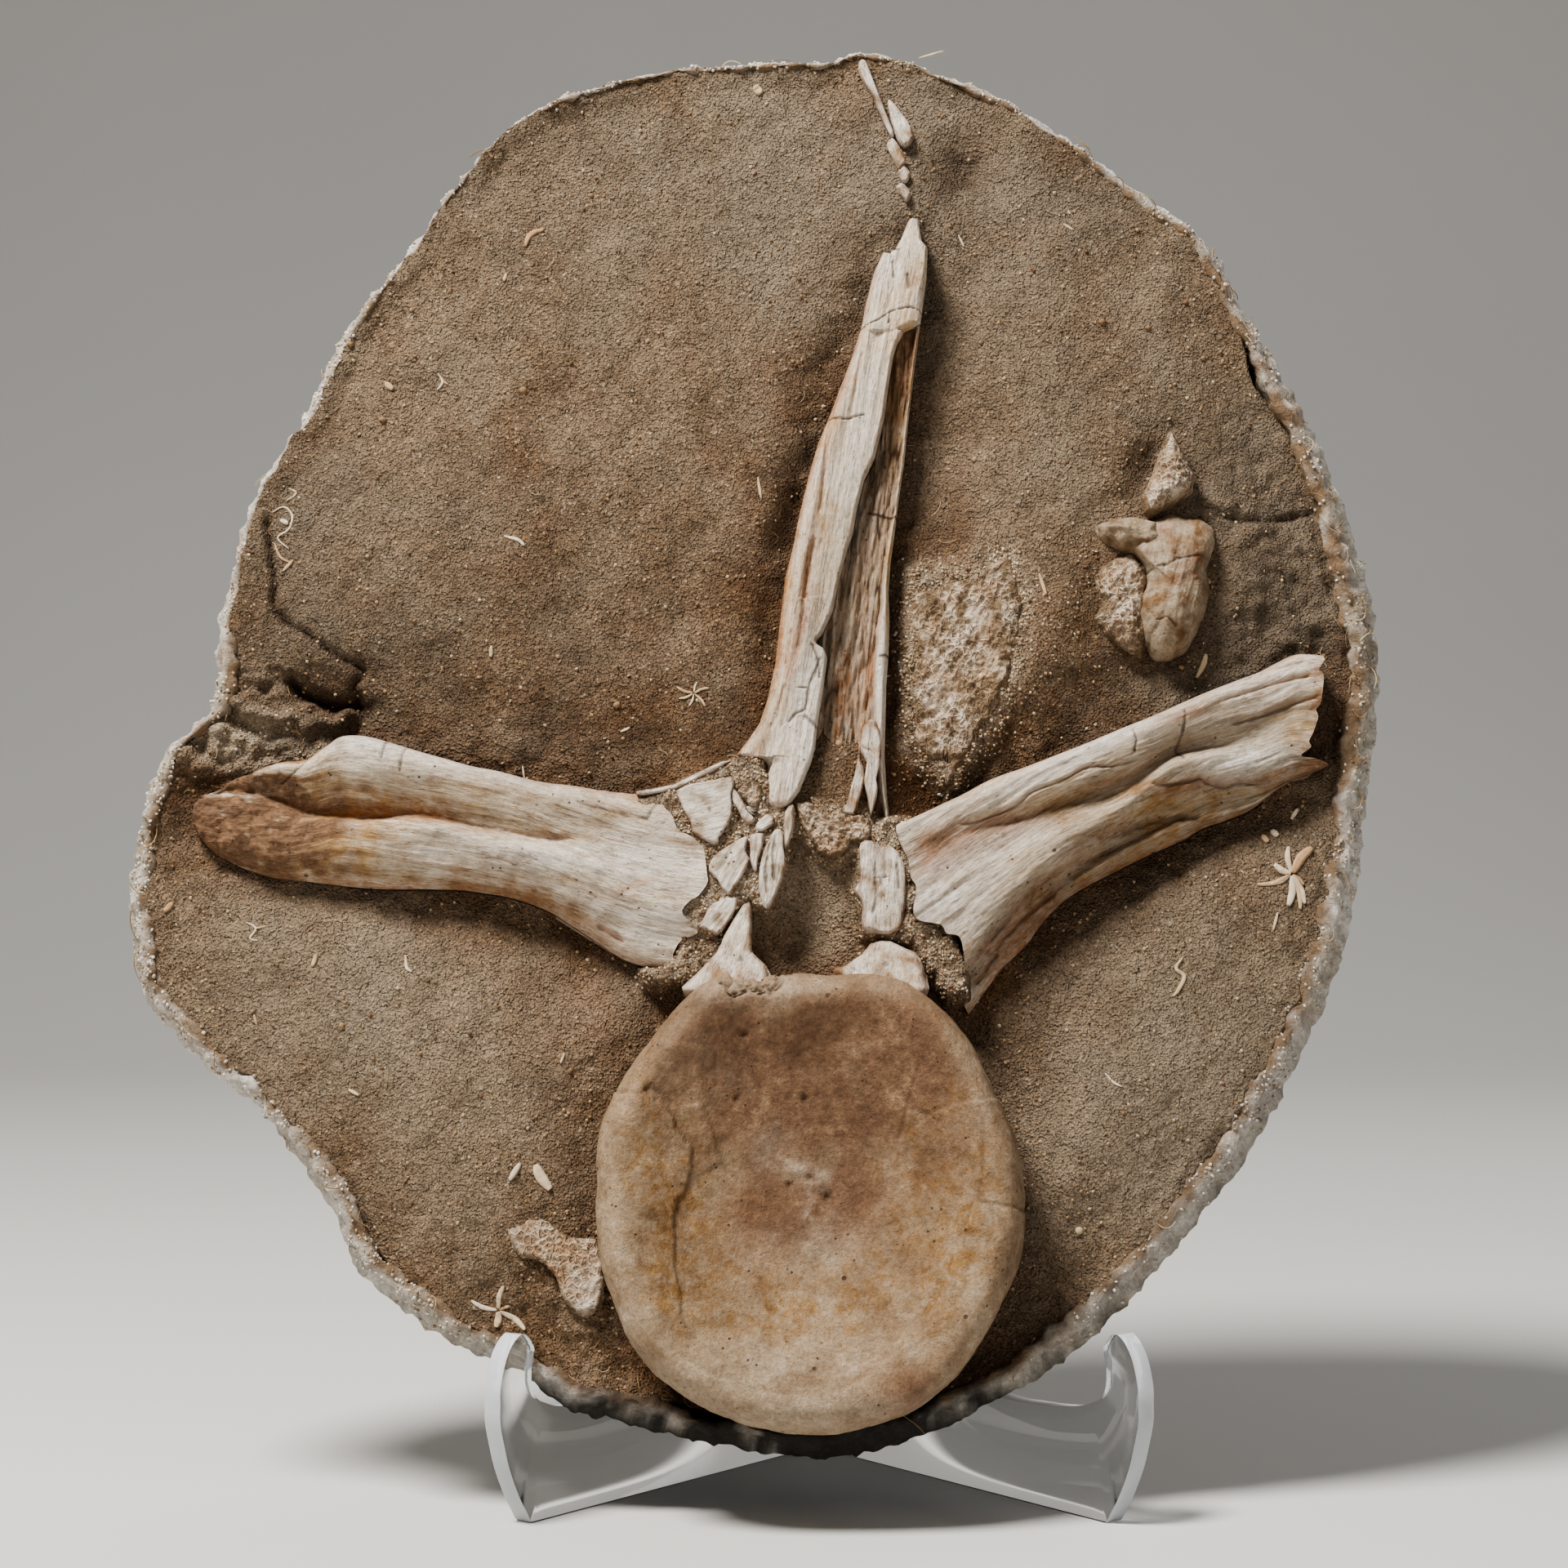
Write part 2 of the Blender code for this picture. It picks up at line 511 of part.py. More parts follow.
def make_stand(parent):
    """One clear sheet folded into a V, cut to a ledge with a lip on each wing."""
    heading = Vector((WING_HALF_WIDTH, WING_DEPTH)).normalized()
    inward = Vector((heading.y, -heading.x))
    length = math.hypot(WING_HALF_WIDTH, WING_DEPTH)
    straight = length - FOLD_RADIUS * WING_DEPTH / WING_HALF_WIDTH
    section = []
    for distance, low, high in WING_PROFILE:
        spot = Vector((-WING_HALF_WIDTH, 0)) + heading * distance
        section.append((spot, inward, low, high))
    centre = Vector((-WING_HALF_WIDTH, 0)) + heading * straight + inward * FOLD_RADIUS
    start = math.atan2(-inward.y, -inward.x)
    for step in range(FOLD_STEPS + 1):
        share = step / FOLD_STEPS
        angle = start + (math.pi / 2 - start) * share
        outward = Vector((math.cos(angle), math.sin(angle)))
        high = WING_PROFILE[-1][2] + (FOLD_TOP - WING_PROFILE[-1][2]) * (0.4 + 0.6 * math.sin(share * math.pi / 2))
        section.append((centre + outward * FOLD_RADIUS, -outward, 0.0, high))
    section += [(Vector((-p.x, p.y)), Vector((-n.x, n.y)), low, high) for p, n, low, high in reversed(section[:-1])]
    points = []
    for spot, normal, low, high in section:
        for offset, height in ((0, low), (0, high), (SHEET, high), (SHEET, low)):
            place = spot - normal * offset
            points.append(((STAND_ACROSS + place.x) * MM, (WING_FRONT + place.y) * MM, height * MM))
    last = 4 * len(section)
    faces = ring_faces(len(section), 4) + [(0, 1, 2, 3), tuple(range(last - 4, last))]
    return mesh_object("stand_easel", points, faces, "acrylic", parent)


def centre_on_floor(root):
    """Moves everything so that the middle of its base is the origin."""
    bpy.context.view_layer.update()
    corners = [obj.matrix_world @ v.co for obj in bpy.data.objects if obj.type == "MESH" for v in obj.data.vertices]
    low = [min(c[axis] for c in corners) for axis in range(3)]
    high = [max(c[axis] for c in corners) for axis in range(3)]
    root.location = (-(low[0] + high[0]) / 2, -(low[1] + high[1]) / 2, -low[2])


def main():
    clear_scene()
    root = bpy.data.objects.new("floor_middle", None)
    bpy.context.scene.collection.objects.link(root)
    block = bpy.data.objects.new("block_frame", None)
    bpy.context.scene.collection.objects.link(block)
    block.parent = root
    block.location = (0, 0, BLOCK_HEIGHT * MM)
    block.rotation_euler = (-LEAN, 0, 0)
    bpy.context.view_layer.update()

    bones = ["centrum", "neural_spine", "process_left", "process_right", *PLATES]
    made = {name: make_bone(name, block) for name in bones}
    for index, name in enumerate(bones):
        if name.startswith(("pedicle", "arch", "process")):
            earlier = [n for n in bones[:index] if n.startswith(("centrum", "neural", "process", "arch"))]
            cut(made[name], [make_bone(n, block, GAP, f"clear_{n}") for n in earlier])
    sand = make_block(block)
    cut(sand, [make_bone(name, block, GAP, f"socket_{name}") for name in bones])
    make_jacket(block)
    make_stand(root)
    centre_on_floor(root)


main()
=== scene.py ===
# Dressed model of the fossil vertebra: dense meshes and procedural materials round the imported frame.
# The block is drawn in its own millimetres (across, up, and proud of the block),
# then leans back on its stand.

import itertools
import math

import bpy
import numpy as np
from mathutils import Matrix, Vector


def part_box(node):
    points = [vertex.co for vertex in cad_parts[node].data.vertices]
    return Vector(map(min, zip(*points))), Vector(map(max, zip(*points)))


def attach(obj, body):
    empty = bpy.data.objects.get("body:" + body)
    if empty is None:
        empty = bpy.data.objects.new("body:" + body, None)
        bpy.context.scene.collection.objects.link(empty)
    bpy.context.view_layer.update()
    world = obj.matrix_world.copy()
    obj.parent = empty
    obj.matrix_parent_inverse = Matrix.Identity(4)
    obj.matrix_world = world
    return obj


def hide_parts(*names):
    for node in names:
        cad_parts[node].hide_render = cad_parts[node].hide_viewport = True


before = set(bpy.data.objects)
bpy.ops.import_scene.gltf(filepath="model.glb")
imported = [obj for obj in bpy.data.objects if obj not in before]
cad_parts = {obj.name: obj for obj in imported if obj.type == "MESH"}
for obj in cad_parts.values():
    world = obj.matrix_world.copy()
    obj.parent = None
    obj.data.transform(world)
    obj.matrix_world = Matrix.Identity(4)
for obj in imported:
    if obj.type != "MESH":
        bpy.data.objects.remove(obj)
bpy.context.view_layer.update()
mm = 0.001

block = {
    "lean": math.radians(10),
    "height": 75.8,            # of the centrum's middle over the floor
    "standAcross": 2.4,        # of the stand's middle, from the centrum's middle
    "standBack": 77.085,       # from the centrum's middle back to the outside of the fold
}
standLow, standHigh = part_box("stand_easel")
shiftAcross = (standLow.x + standHigh.x) / 2 / mm - block["standAcross"]
shiftDepth = standHigh.y / mm - block["standBack"]
print("frame loaded, centrum stands at", round(shiftAcross, 2), round(shiftDepth, 2))


def toFrame(coords):
    across, up, proud = coords.T
    depth = up * math.sin(block["lean"]) - proud * math.cos(block["lean"]) + shiftDepth
    height = up * math.cos(block["lean"]) + proud * math.sin(block["lean"]) + block["height"]
    return np.stack((across + shiftAcross, depth, height), axis=1) * mm


# Noise for many points at once
slopes = np.random.default_rng(5).normal(size=(256, 3))
slopes /= np.linalg.norm(slopes, axis=1)[:, None]


def cellHash(cell, seed):
    mask = np.uint64(0xFFFFFFFF)
    mixed = np.full(len(cell), seed * 7919 + 12345, np.uint64)
    for axis in range(cell.shape[1]):
        mixed ^= cell[:, axis].astype(np.int64).astype(np.uint64) & mask
        mixed = (mixed * np.uint64(0x9E3779B1)) & mask
        mixed ^= mixed >> np.uint64(15)
    mixed = (mixed * np.uint64(0x85EBCA6B)) & mask
    return mixed ^ (mixed >> np.uint64(13))


def softNoise(spots, size, seed=0):
    scaled = spots / size
    cell = np.floor(scaled)
    inside = scaled - cell
    fade = inside ** 3 * (inside * (inside * 6 - 15) + 10)
    total = np.zeros(len(spots))
    for corner in itertools.product((0, 1), repeat=spots.shape[1]):
        step = np.array(corner)
        slope = slopes[(cellHash(cell + step, seed) % np.uint64(256)).astype(int)][:, :len(corner)]
        weight = np.prod(np.where(step == 1, fade, 1 - fade), axis=1)
        total += weight * ((inside - step) * slope).sum(axis=1)
    return total * 1.8


def layeredNoise(spots, size, seed=0, layers=4, gain=0.5):
    total, weight = 0, 1.0
    for layer in range(layers):
        total = total + weight * softNoise(spots, size / 2 ** layer, seed + layer * 17)
        weight *= gain
    return total


def cellNoise(spots, size, seed=0):
    # Distance to the nearest of scattered points, in cell sizes
    scaled = spots / size
    cell = np.floor(scaled)
    near = np.full(len(spots), 9.0)
    for offset in itertools.product((-1, 0, 1), repeat=spots.shape[1]):
        corner = cell + np.array(offset)
        jitter = [cellHash(corner, seed + axis * 31) / 2 ** 32 for axis in range(spots.shape[1])]
        near = np.minimum(near, np.linalg.norm(scaled - corner - np.stack(jitter, axis=1), axis=1))
    return near


def easeStep(value, start, end):
    share = np.clip((value - start) / (end - start), 0, 1)
    return share * share * (3 - 2 * share)


def bell(value, width):
    return np.exp(-(value / width) ** 2)


def rounded(reach, radius):
    # A quarter circle's rise over the first stretch from an edge
    return np.sqrt(np.clip(1 - (1 - np.clip(reach / radius, 0, 1)) ** 2, 0, 1))


def runLengths(path, scale=1):
    # Length up to each point of the path, its first coordinate times the scale
    return np.concatenate([[0], np.cumsum(np.hypot(np.diff(path[:, 0]) * scale, np.diff(path[:, 1])))])


def softCurve(path, pieces=8, closed=False):
    # A smooth curve through the points, each stretch in so many pieces
    corners = np.array(path, float)
    count = len(corners)
    spots = []
    for index in range(count if closed else count - 1):
        steps = [index - 1, index, index + 1, index + 2]
        a, b, c, d = (corners[step % count if closed else min(max(step, 0), count - 1)] for step in steps)
        for share in np.arange(pieces) / pieces:
            spots.append(0.5 * (2 * b + (c - a) * share + (2 * a - 5 * b + 4 * c - d) * share ** 2
                      + (3 * b - a - 3 * c + d) * share ** 3))
    if not closed:
        spots.append(corners[-1])
    return np.array(spots)


def pathReach(spots, path):
    # Distance to the path, share along it, and side: 1 on its left, -1 on its right
    path = np.array(path, float)
    best = np.full(len(spots), 1e9)
    along, side = np.zeros(len(spots)), np.ones(len(spots))
    for index in range(len(path) - 1):
        run = path[index + 1] - path[index]
        share = np.clip(((spots - path[index]) @ run) / max(run @ run, 1e-9), 0, 1)
        gap = spots - path[index] - share[:, None] * run
        reach = np.hypot(gap[:, 0], gap[:, 1])
        nearer = reach < best
        best = np.where(nearer, reach, best)
        along = np.where(nearer, (index + share) / (len(path) - 1), along)
        side = np.where(nearer, np.sign(run[0] * gap[:, 1] - run[1] * gap[:, 0]), side)
    return best, along, side


def insideReach(spots, outline):
    # Distance to a closed outline, positive inside it
    outline = np.array(outline, float)
    loop = np.vstack([outline, outline[:1]])
    inside = np.zeros(len(spots), bool)
    for start, end in zip(loop[:-1], loop[1:]):
        crosses = (start[1] > spots[:, 1]) != (end[1] > spots[:, 1])
        rise = end[1] - start[1] or 1e-9
        inside ^= crosses & (spots[:, 0] < (end[0] - start[0]) * (spots[:, 1] - start[1]) / rise + start[0])
    return pathReach(spots, loop)[0] * np.where(inside, 1, -1)


def blobs(spots, listed):
    # Sum of soft spots: across, up, half sizes, turn in degrees, weight
    total = np.zeros(len(spots))
    for x, y, halfX, halfY, turn, weight in listed:
        angle = math.radians(turn)
        dx, dy = spots[:, 0] - x, spots[:, 1] - y
        along = dx * math.cos(angle) + dy * math.sin(angle)
        aside = dy * math.cos(angle) - dx * math.sin(angle)
        total += weight * np.exp(-0.5 * ((along / halfX) ** 2 + (aside / halfY) ** 2))
    return total


def evenly(values, angle):
    # A value listed at even steps round the slab, read smoothly at any angle
    values = np.array(values, float)
    place = (angle / math.tau % 1) * len(values)
    index, share = place.astype(int), place - np.floor(place)
    a, b, c, d = (values[(index + step) % len(values)] for step in (-1, 0, 1, 2))
    return 0.5 * (2 * b + (c - a) * share + (2 * a - 5 * b + 4 * c - d) * share ** 2
                  + (3 * b - a - 3 * c + d) * share ** 3)


def polarTable(outline, middle, pieces=10):
    dense = softCurve(outline, pieces, closed=True) - np.array(middle)
    angles = np.arctan2(dense[:, 1], dense[:, 0]) % math.tau
    order = np.argsort(angles)
    return angles[order], np.hypot(dense[:, 0], dense[:, 1])[order]


def polarReach(table, angle):
    return np.interp(angle % math.tau, table[0], table[1], period=math.tau)


def stacked(*parts):
    return np.stack(np.broadcast_arrays(*parts), axis=-1).astype(float)


def padded(values, count, rest=0.0):
    extra = np.full((count - len(values), *values.shape[1:]), rest)
    return np.concatenate([values, extra])


# Mesh forms, all of them closed
def discForm(count, place, skirts, tip):
    # A square grid rounded into a disc, then rings that go on from its edge to a tip
    line = np.linspace(-1, 1, count)
    x, y = (part.ravel() for part in np.meshgrid(line, line))
    u, v = x * np.sqrt(1 - y * y / 2), y * np.sqrt(1 - x * x / 2)
    share, angle = np.minimum(np.hypot(u, v), 1), np.arctan2(v, u) % math.tau
    index = np.arange(count * count).reshape(count, count)
    edge = np.concatenate([index[0, :-1], index[:-1, -1], index[-1, :0:-1], index[:0:-1, 0]])
    coords = [place(share, angle)]
    quads = [stacked(index[:-1, :-1], index[:-1, 1:], index[1:, 1:], index[1:, :-1]).reshape(-1, 4)]
    before, start = edge, count * count
    for skirt in skirts:
        ring = start + np.arange(len(edge))
        coords.append(skirt(angle[edge]))
        quads.append(stacked(np.roll(before, -1), before, ring, np.roll(ring, -1)))
        before, start = ring, start + len(edge)
    coords.append(np.array([tip], float))
    fan = stacked(np.roll(before, -1), before, np.full(len(edge), start))
    return np.vstack(coords), [np.vstack(quads).astype(int), fan.astype(int)]


def loftForm(rows):
    # Sections one after another, each going round, with a fan over either end
    stations, sides = rows.shape[:2]
    index = np.arange(stations * sides).reshape(stations, sides)
    after = np.roll(index, -1, axis=1)
    quads = stacked(index[:-1], after[:-1], after[1:], index[1:]).reshape(-1, 4)
    tips = stations * sides
    first = stacked(after[0], index[0], np.full(sides, tips))
    last = stacked(index[-1], after[-1], np.full(sides, tips + 1))
    coords = np.vstack([rows.reshape(-1, 3), rows[0].mean(axis=0), rows[-1].mean(axis=0)])
    return coords, [quads.astype(int), np.vstack([first, last]).astype(int)]


def surfaceNormals(coords, faces):
    total = np.zeros_like(coords)
    for group in faces:
        corners = coords[group]
        flat = np.cross(corners[:, 1] - corners[:, 0], corners[:, -1] - corners[:, 0])
        for corner in range(group.shape[1]):
            for axis in range(3):
                total[:, axis] += np.bincount(group[:, corner], flat[:, axis], len(coords))
    return total / np.maximum(np.linalg.norm(total, axis=1), 1e-9)[:, None]


def volumeOf(coords, faces):
    total = 0
    for group in faces:
        for corner in range(1, group.shape[1] - 1):
            a, b, c = coords[group[:, 0]], coords[group[:, corner]], coords[group[:, corner + 1]]
            total += (a * np.cross(b, c)).sum()
    return total


def addPiece(name, coords, faces, look, fields=None, nodes=(), slot=None, placed=False):
    # Coordinates in block millimetres, or in frame metres where placed is set
    if volumeOf(coords, faces) < 0:
        faces = [group[:, ::-1] for group in faces]
    mesh = bpy.data.meshes.new(name)
    mesh.from_pydata((coords if placed else toFrame(coords)).tolist(), [],
            sum((g.tolist() for g in faces), []))
    mesh.materials.append(look)
    for label, values in (fields or {}).items():
        kind, part = ("FLOAT", "value") if values.ndim == 1 else ("FLOAT_VECTOR", "vector")
        layer = mesh.attributes.new(label, kind, "POINT")
        layer.data.foreach_set(part, values.astype(np.float32).ravel())
    mesh.shade_smooth()
    piece = bpy.data.objects.new(name, mesh)
    bpy.context.scene.collection.objects.link(piece)
    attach(piece, "root")
    if nodes:
        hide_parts(*nodes)
    return piece


# Materials
def tint(red, green, blue):
    linear = [(c / 255 / 12.92 if c <= 10 else ((c / 255 + 0.055) / 1.055) ** 2.4)
            for c in (red, green, blue)]
    return (*linear, 1.0)


def addNode(tree, kind, settings=None, inputs=None):
    node = tree.nodes.new(kind)
    for key, value in (settings or {}).items():
        setattr(node, key, value)
    for key, value in (inputs or {}).items():
        if isinstance(value, bpy.types.NodeSocket):
            tree.links.new(value, node.inputs[key])
        else:
            node.inputs[key].default_value = value
    return node


class Paint:
    # A Principled material and short ways to add nodes to it
    def __init__(self, name, roughness, specular=0.3):
        self.look = bpy.data.materials.new(name)
        self.look.use_nodes = True
        self.tree = self.look.node_tree
        self.shader = self.tree.nodes["Principled BSDF"]
        self.shader.inputs["Roughness"].default_value = roughness
        self.shader.inputs["Specular IOR Level"].default_value = specular
        self.place = self.add("ShaderNodeTexCoord").outputs["Object"]

    def add(self, kind, settings=None, inputs=None):
        return addNode(self.tree, kind, settings, inputs)

    def field(self, name, part="Fac"):
        return self.add("ShaderNodeAttribute", {"attribute_name": name}).outputs[part]

    def stretch(self, vector, scale):
        return self.add("ShaderNodeMapping", None, {"Vector": vector, "Scale": scale}).outputs["Vector"]

    def noise(self, size, detail=4.0, rough=0.55, vector=None, twist=0.0):
        # The size of its patches is in metres, or in the vector's own units
        return self.add("ShaderNodeTexNoise", None, {
            "Vector": vector or self.place, "Scale": 1 / size, "Detail": detail, "Roughness": rough,
            "Distortion": twist}).outputs["Fac"]

    def cells(self, size, part="Distance", feature="F1", vector=None):
        return self.add("ShaderNodeTexVoronoi", {"feature": feature}, {
            "Vector": vector or self.place, "Scale": 1 / size}).outputs[part]

    def maths(self, kind, first, second=0.0, clamp=False):
        return self.add("ShaderNodeMath", {"operation": kind, "use_clamp": clamp},
                {0: first, 1: second}).outputs[0]

    def times(self, first, second):
        return self.maths("MULTIPLY", first, second, True)

    def weighed(self, first, firstShare, second, secondShare):
        return self.maths("ADD", self.maths("MULTIPLY", first, firstShare),
                self.maths("MULTIPLY", second, secondShare))

    def spread(self, value, low, high, start=0.0, end=1.0):
        return self.add("ShaderNodeMapRange", None,
                {"Value": value, "From Min": low, "From Max": high, "To Min": start,
                  "To Max": end}).outputs["Result"]

    def ramp(self, value, stops):
        node = self.add("ShaderNodeValToRGB", None, {"Fac": value})
        elements = node.color_ramp.elements
        while len(elements) < len(stops):
            elements.new(0.5)
        for element, (position, colour) in zip(elements, stops):
            element.position, element.color = position, colour
        return node.outputs["Color"]

    def mix(self, share, first, second, kind="MIX"):
        node = self.add("ShaderNodeMix", {"data_type": "RGBA", "blend_type": kind})
        for index, value in ((0, share), (6, first), (7, second)):
            if isinstance(value, bpy.types.NodeSocket):
                self.tree.links.new(value, node.inputs[index])
            else:
                node.inputs[index].default_value = value
        return node.outputs[2]

    def soaked(self, share, colour, stain):
        return self.mix(share, colour, self.mix(1.0, colour, stain, "MULTIPLY"))

    def shaded(self, colour, value):
        grey = self.add("ShaderNodeCombineColor", None, {0: value, 1: value, 2: value}).outputs[0]
        return self.mix(1.0, colour, grey, "MULTIPLY")

    def bump(self, height, distance, strength=1.0, normal=None):
        inputs = {"Height": height, "Distance": distance, "Strength": strength}
        if normal:
            inputs["Normal"] = normal
        return self.add("ShaderNodeBump", None, inputs).outputs["Normal"]

    def finish(self, colour, normal=None, roughness=None):
        self.tree.links.new(colour, self.shader.inputs["Base Color"])
        if normal:
            self.tree.links.new(normal, self.shader.inputs["Normal"])
        if roughness:
            self.tree.links.new(roughness, self.shader.inputs["Roughness"])
        return self.look


def makeSandLook():
    paint = Paint("sandyMatrix", 0.94, 0.12)
    tone = paint.ramp(paint.noise(0.045, 6, 0.6),
            [(0.30, tint(96, 75, 56)), (0.46, tint(116, 95, 74)), (0.56, tint(125, 105, 84)),
              (0.72, tint(138, 119, 99))])
    blotch = paint.spread(paint.noise(0.011, 5, 0.7, twist=0.4), 0.36, 0.62, 0.80, 1.14)
    grain = paint.cells(0.00065, "Color")
    split = paint.add("ShaderNodeSeparateColor", None, {"Color": grain})
    shade = paint.spread(split.outputs[0], 0, 1, 0.80, 1.20)
    fine = paint.spread(paint.noise(0.0022, 6, 0.8), 0.32, 0.68, 0.72, 1.28)
    tone = paint.shaded(tone, paint.maths("MULTIPLY", paint.maths("MULTIPLY", shade, fine), blotch))
    tone = paint.mix(paint.spread(split.outputs[1], 0.95, 0.97, 0, 0.45), tone, tint(200, 182, 156))
    tone = paint.mix(paint.spread(split.outputs[2], 0.05, 0.03, 0, 0.6), tone, tint(84, 64, 46))
    rusty = paint.soaked(paint.spread(paint.field("rust"), 0, 1, 0, 0.9), tone, tint(226, 192, 164))
    grey = paint.mix(paint.field("grey"), rusty, paint.mix(0.7, rusty, tint(128, 117, 102)))
    pale = paint.mix(paint.times(paint.field("pale"), fine), grey, tint(186, 170, 148))
    # The next mix darkens the sand almost to black: painted shade in its hollows, clefts, moats, rim seam
    # and shadowed patches, together with the dark of its cracks
    paintedShadeAndCracks = paint.mix(paint.field("paintedShadeAndCracks"), pale, tint(46, 33, 23))
    grainHeight = paint.maths("ADD", paint.noise(0.0012, 3, 0.75),
            paint.maths("MULTIPLY", paint.noise(0.0046, 5, 0.65), 1.8))
    normal = paint.bump(grainHeight, 0.0013, 1.0)
    normal = paint.bump(paint.cells(0.00065), 0.0006, 1.0, normal)
    return paint.finish(paintedShadeAndCracks, normal)


def makePlasterLook():
    paint = Paint("fieldPlaster", 0.88, 0.25)
    tone = paint.ramp(paint.noise(0.03, 7, 0.62),
            [(0.30, tint(158, 146, 130)), (0.42, tint(196, 187, 173)), (0.58, tint(216, 209, 199)),
              (0.75, tint(228, 223, 215))])
    stain = paint.spread(paint.noise(0.014, 6, 0.65, twist=0.6), 0.52, 0.74, 0, 0.5)
    tone = paint.mix(stain, tone, tint(160, 130, 98))
    fleck = paint.spread(paint.noise(0.0028, 5, 0.75), 0.33, 0.65, 0.62, 1.14)
    tone = paint.shaded(tone, fleck)
    tone = paint.shaded(tone, paint.spread(paint.noise(0.0011, 5, 0.8), 0.34, 0.62, 0.76, 1.10))
    tone = paint.mix(paint.field("soil"), tone,
            paint.mix(paint.noise(0.004, 4), tint(78, 58, 42), tint(150, 126, 100)))
    # Painted shade: the plaster goes almost black under the jacket and towards its back
    tone = paint.mix(paint.field("paintedUnderShade"), tone, tint(26, 24, 22))
    weaveField = paint.field("weave", "Vector")
    threads = []
    for axis in range(2):
        part = paint.add("ShaderNodeSeparateXYZ", None, {0: weaveField}).outputs[axis]
        threads.append(paint.maths("SINE", paint.maths("MULTIPLY", part, math.tau / 2.3)))
    weave = paint.maths("MULTIPLY", paint.maths("MAXIMUM", threads[0], threads[1]), paint.field("cloth"))
    height = paint.maths("ADD", paint.noise(0.0035, 6, 0.7), paint.maths("MULTIPLY", weave, 0.14))
    normal = paint.bump(height, 0.0018, 0.9)
    normal = paint.bump(paint.noise(0.0009, 2), 0.0005, 0.6, normal)
    return paint.finish(tone, normal)


boneTones = {   # clean and soiled
    "mottled": ([(0.36, tint(116, 92, 69)), (0.45, tint(140, 118, 93)),
                 (0.54, tint(160, 140, 115)), (0.64, tint(180, 163, 141))],
                [(0.36, tint(76, 55, 40)), (0.47, tint(108, 80, 59)),
                 (0.56, tint(130, 100, 75)), (0.66, tint(164, 134, 105))]),
    "grained": ([(0.32, tint(158, 130, 102)), (0.41, tint(196, 176, 150)),
                 (0.50, tint(218, 205, 187)), (0.60, tint(231, 222, 210))],
                [(0.36, tint(80, 58, 42)), (0.47, tint(112, 83, 60)),
                 (0.56, tint(140, 108, 80)), (0.66, tint(172, 142, 112))]),
}


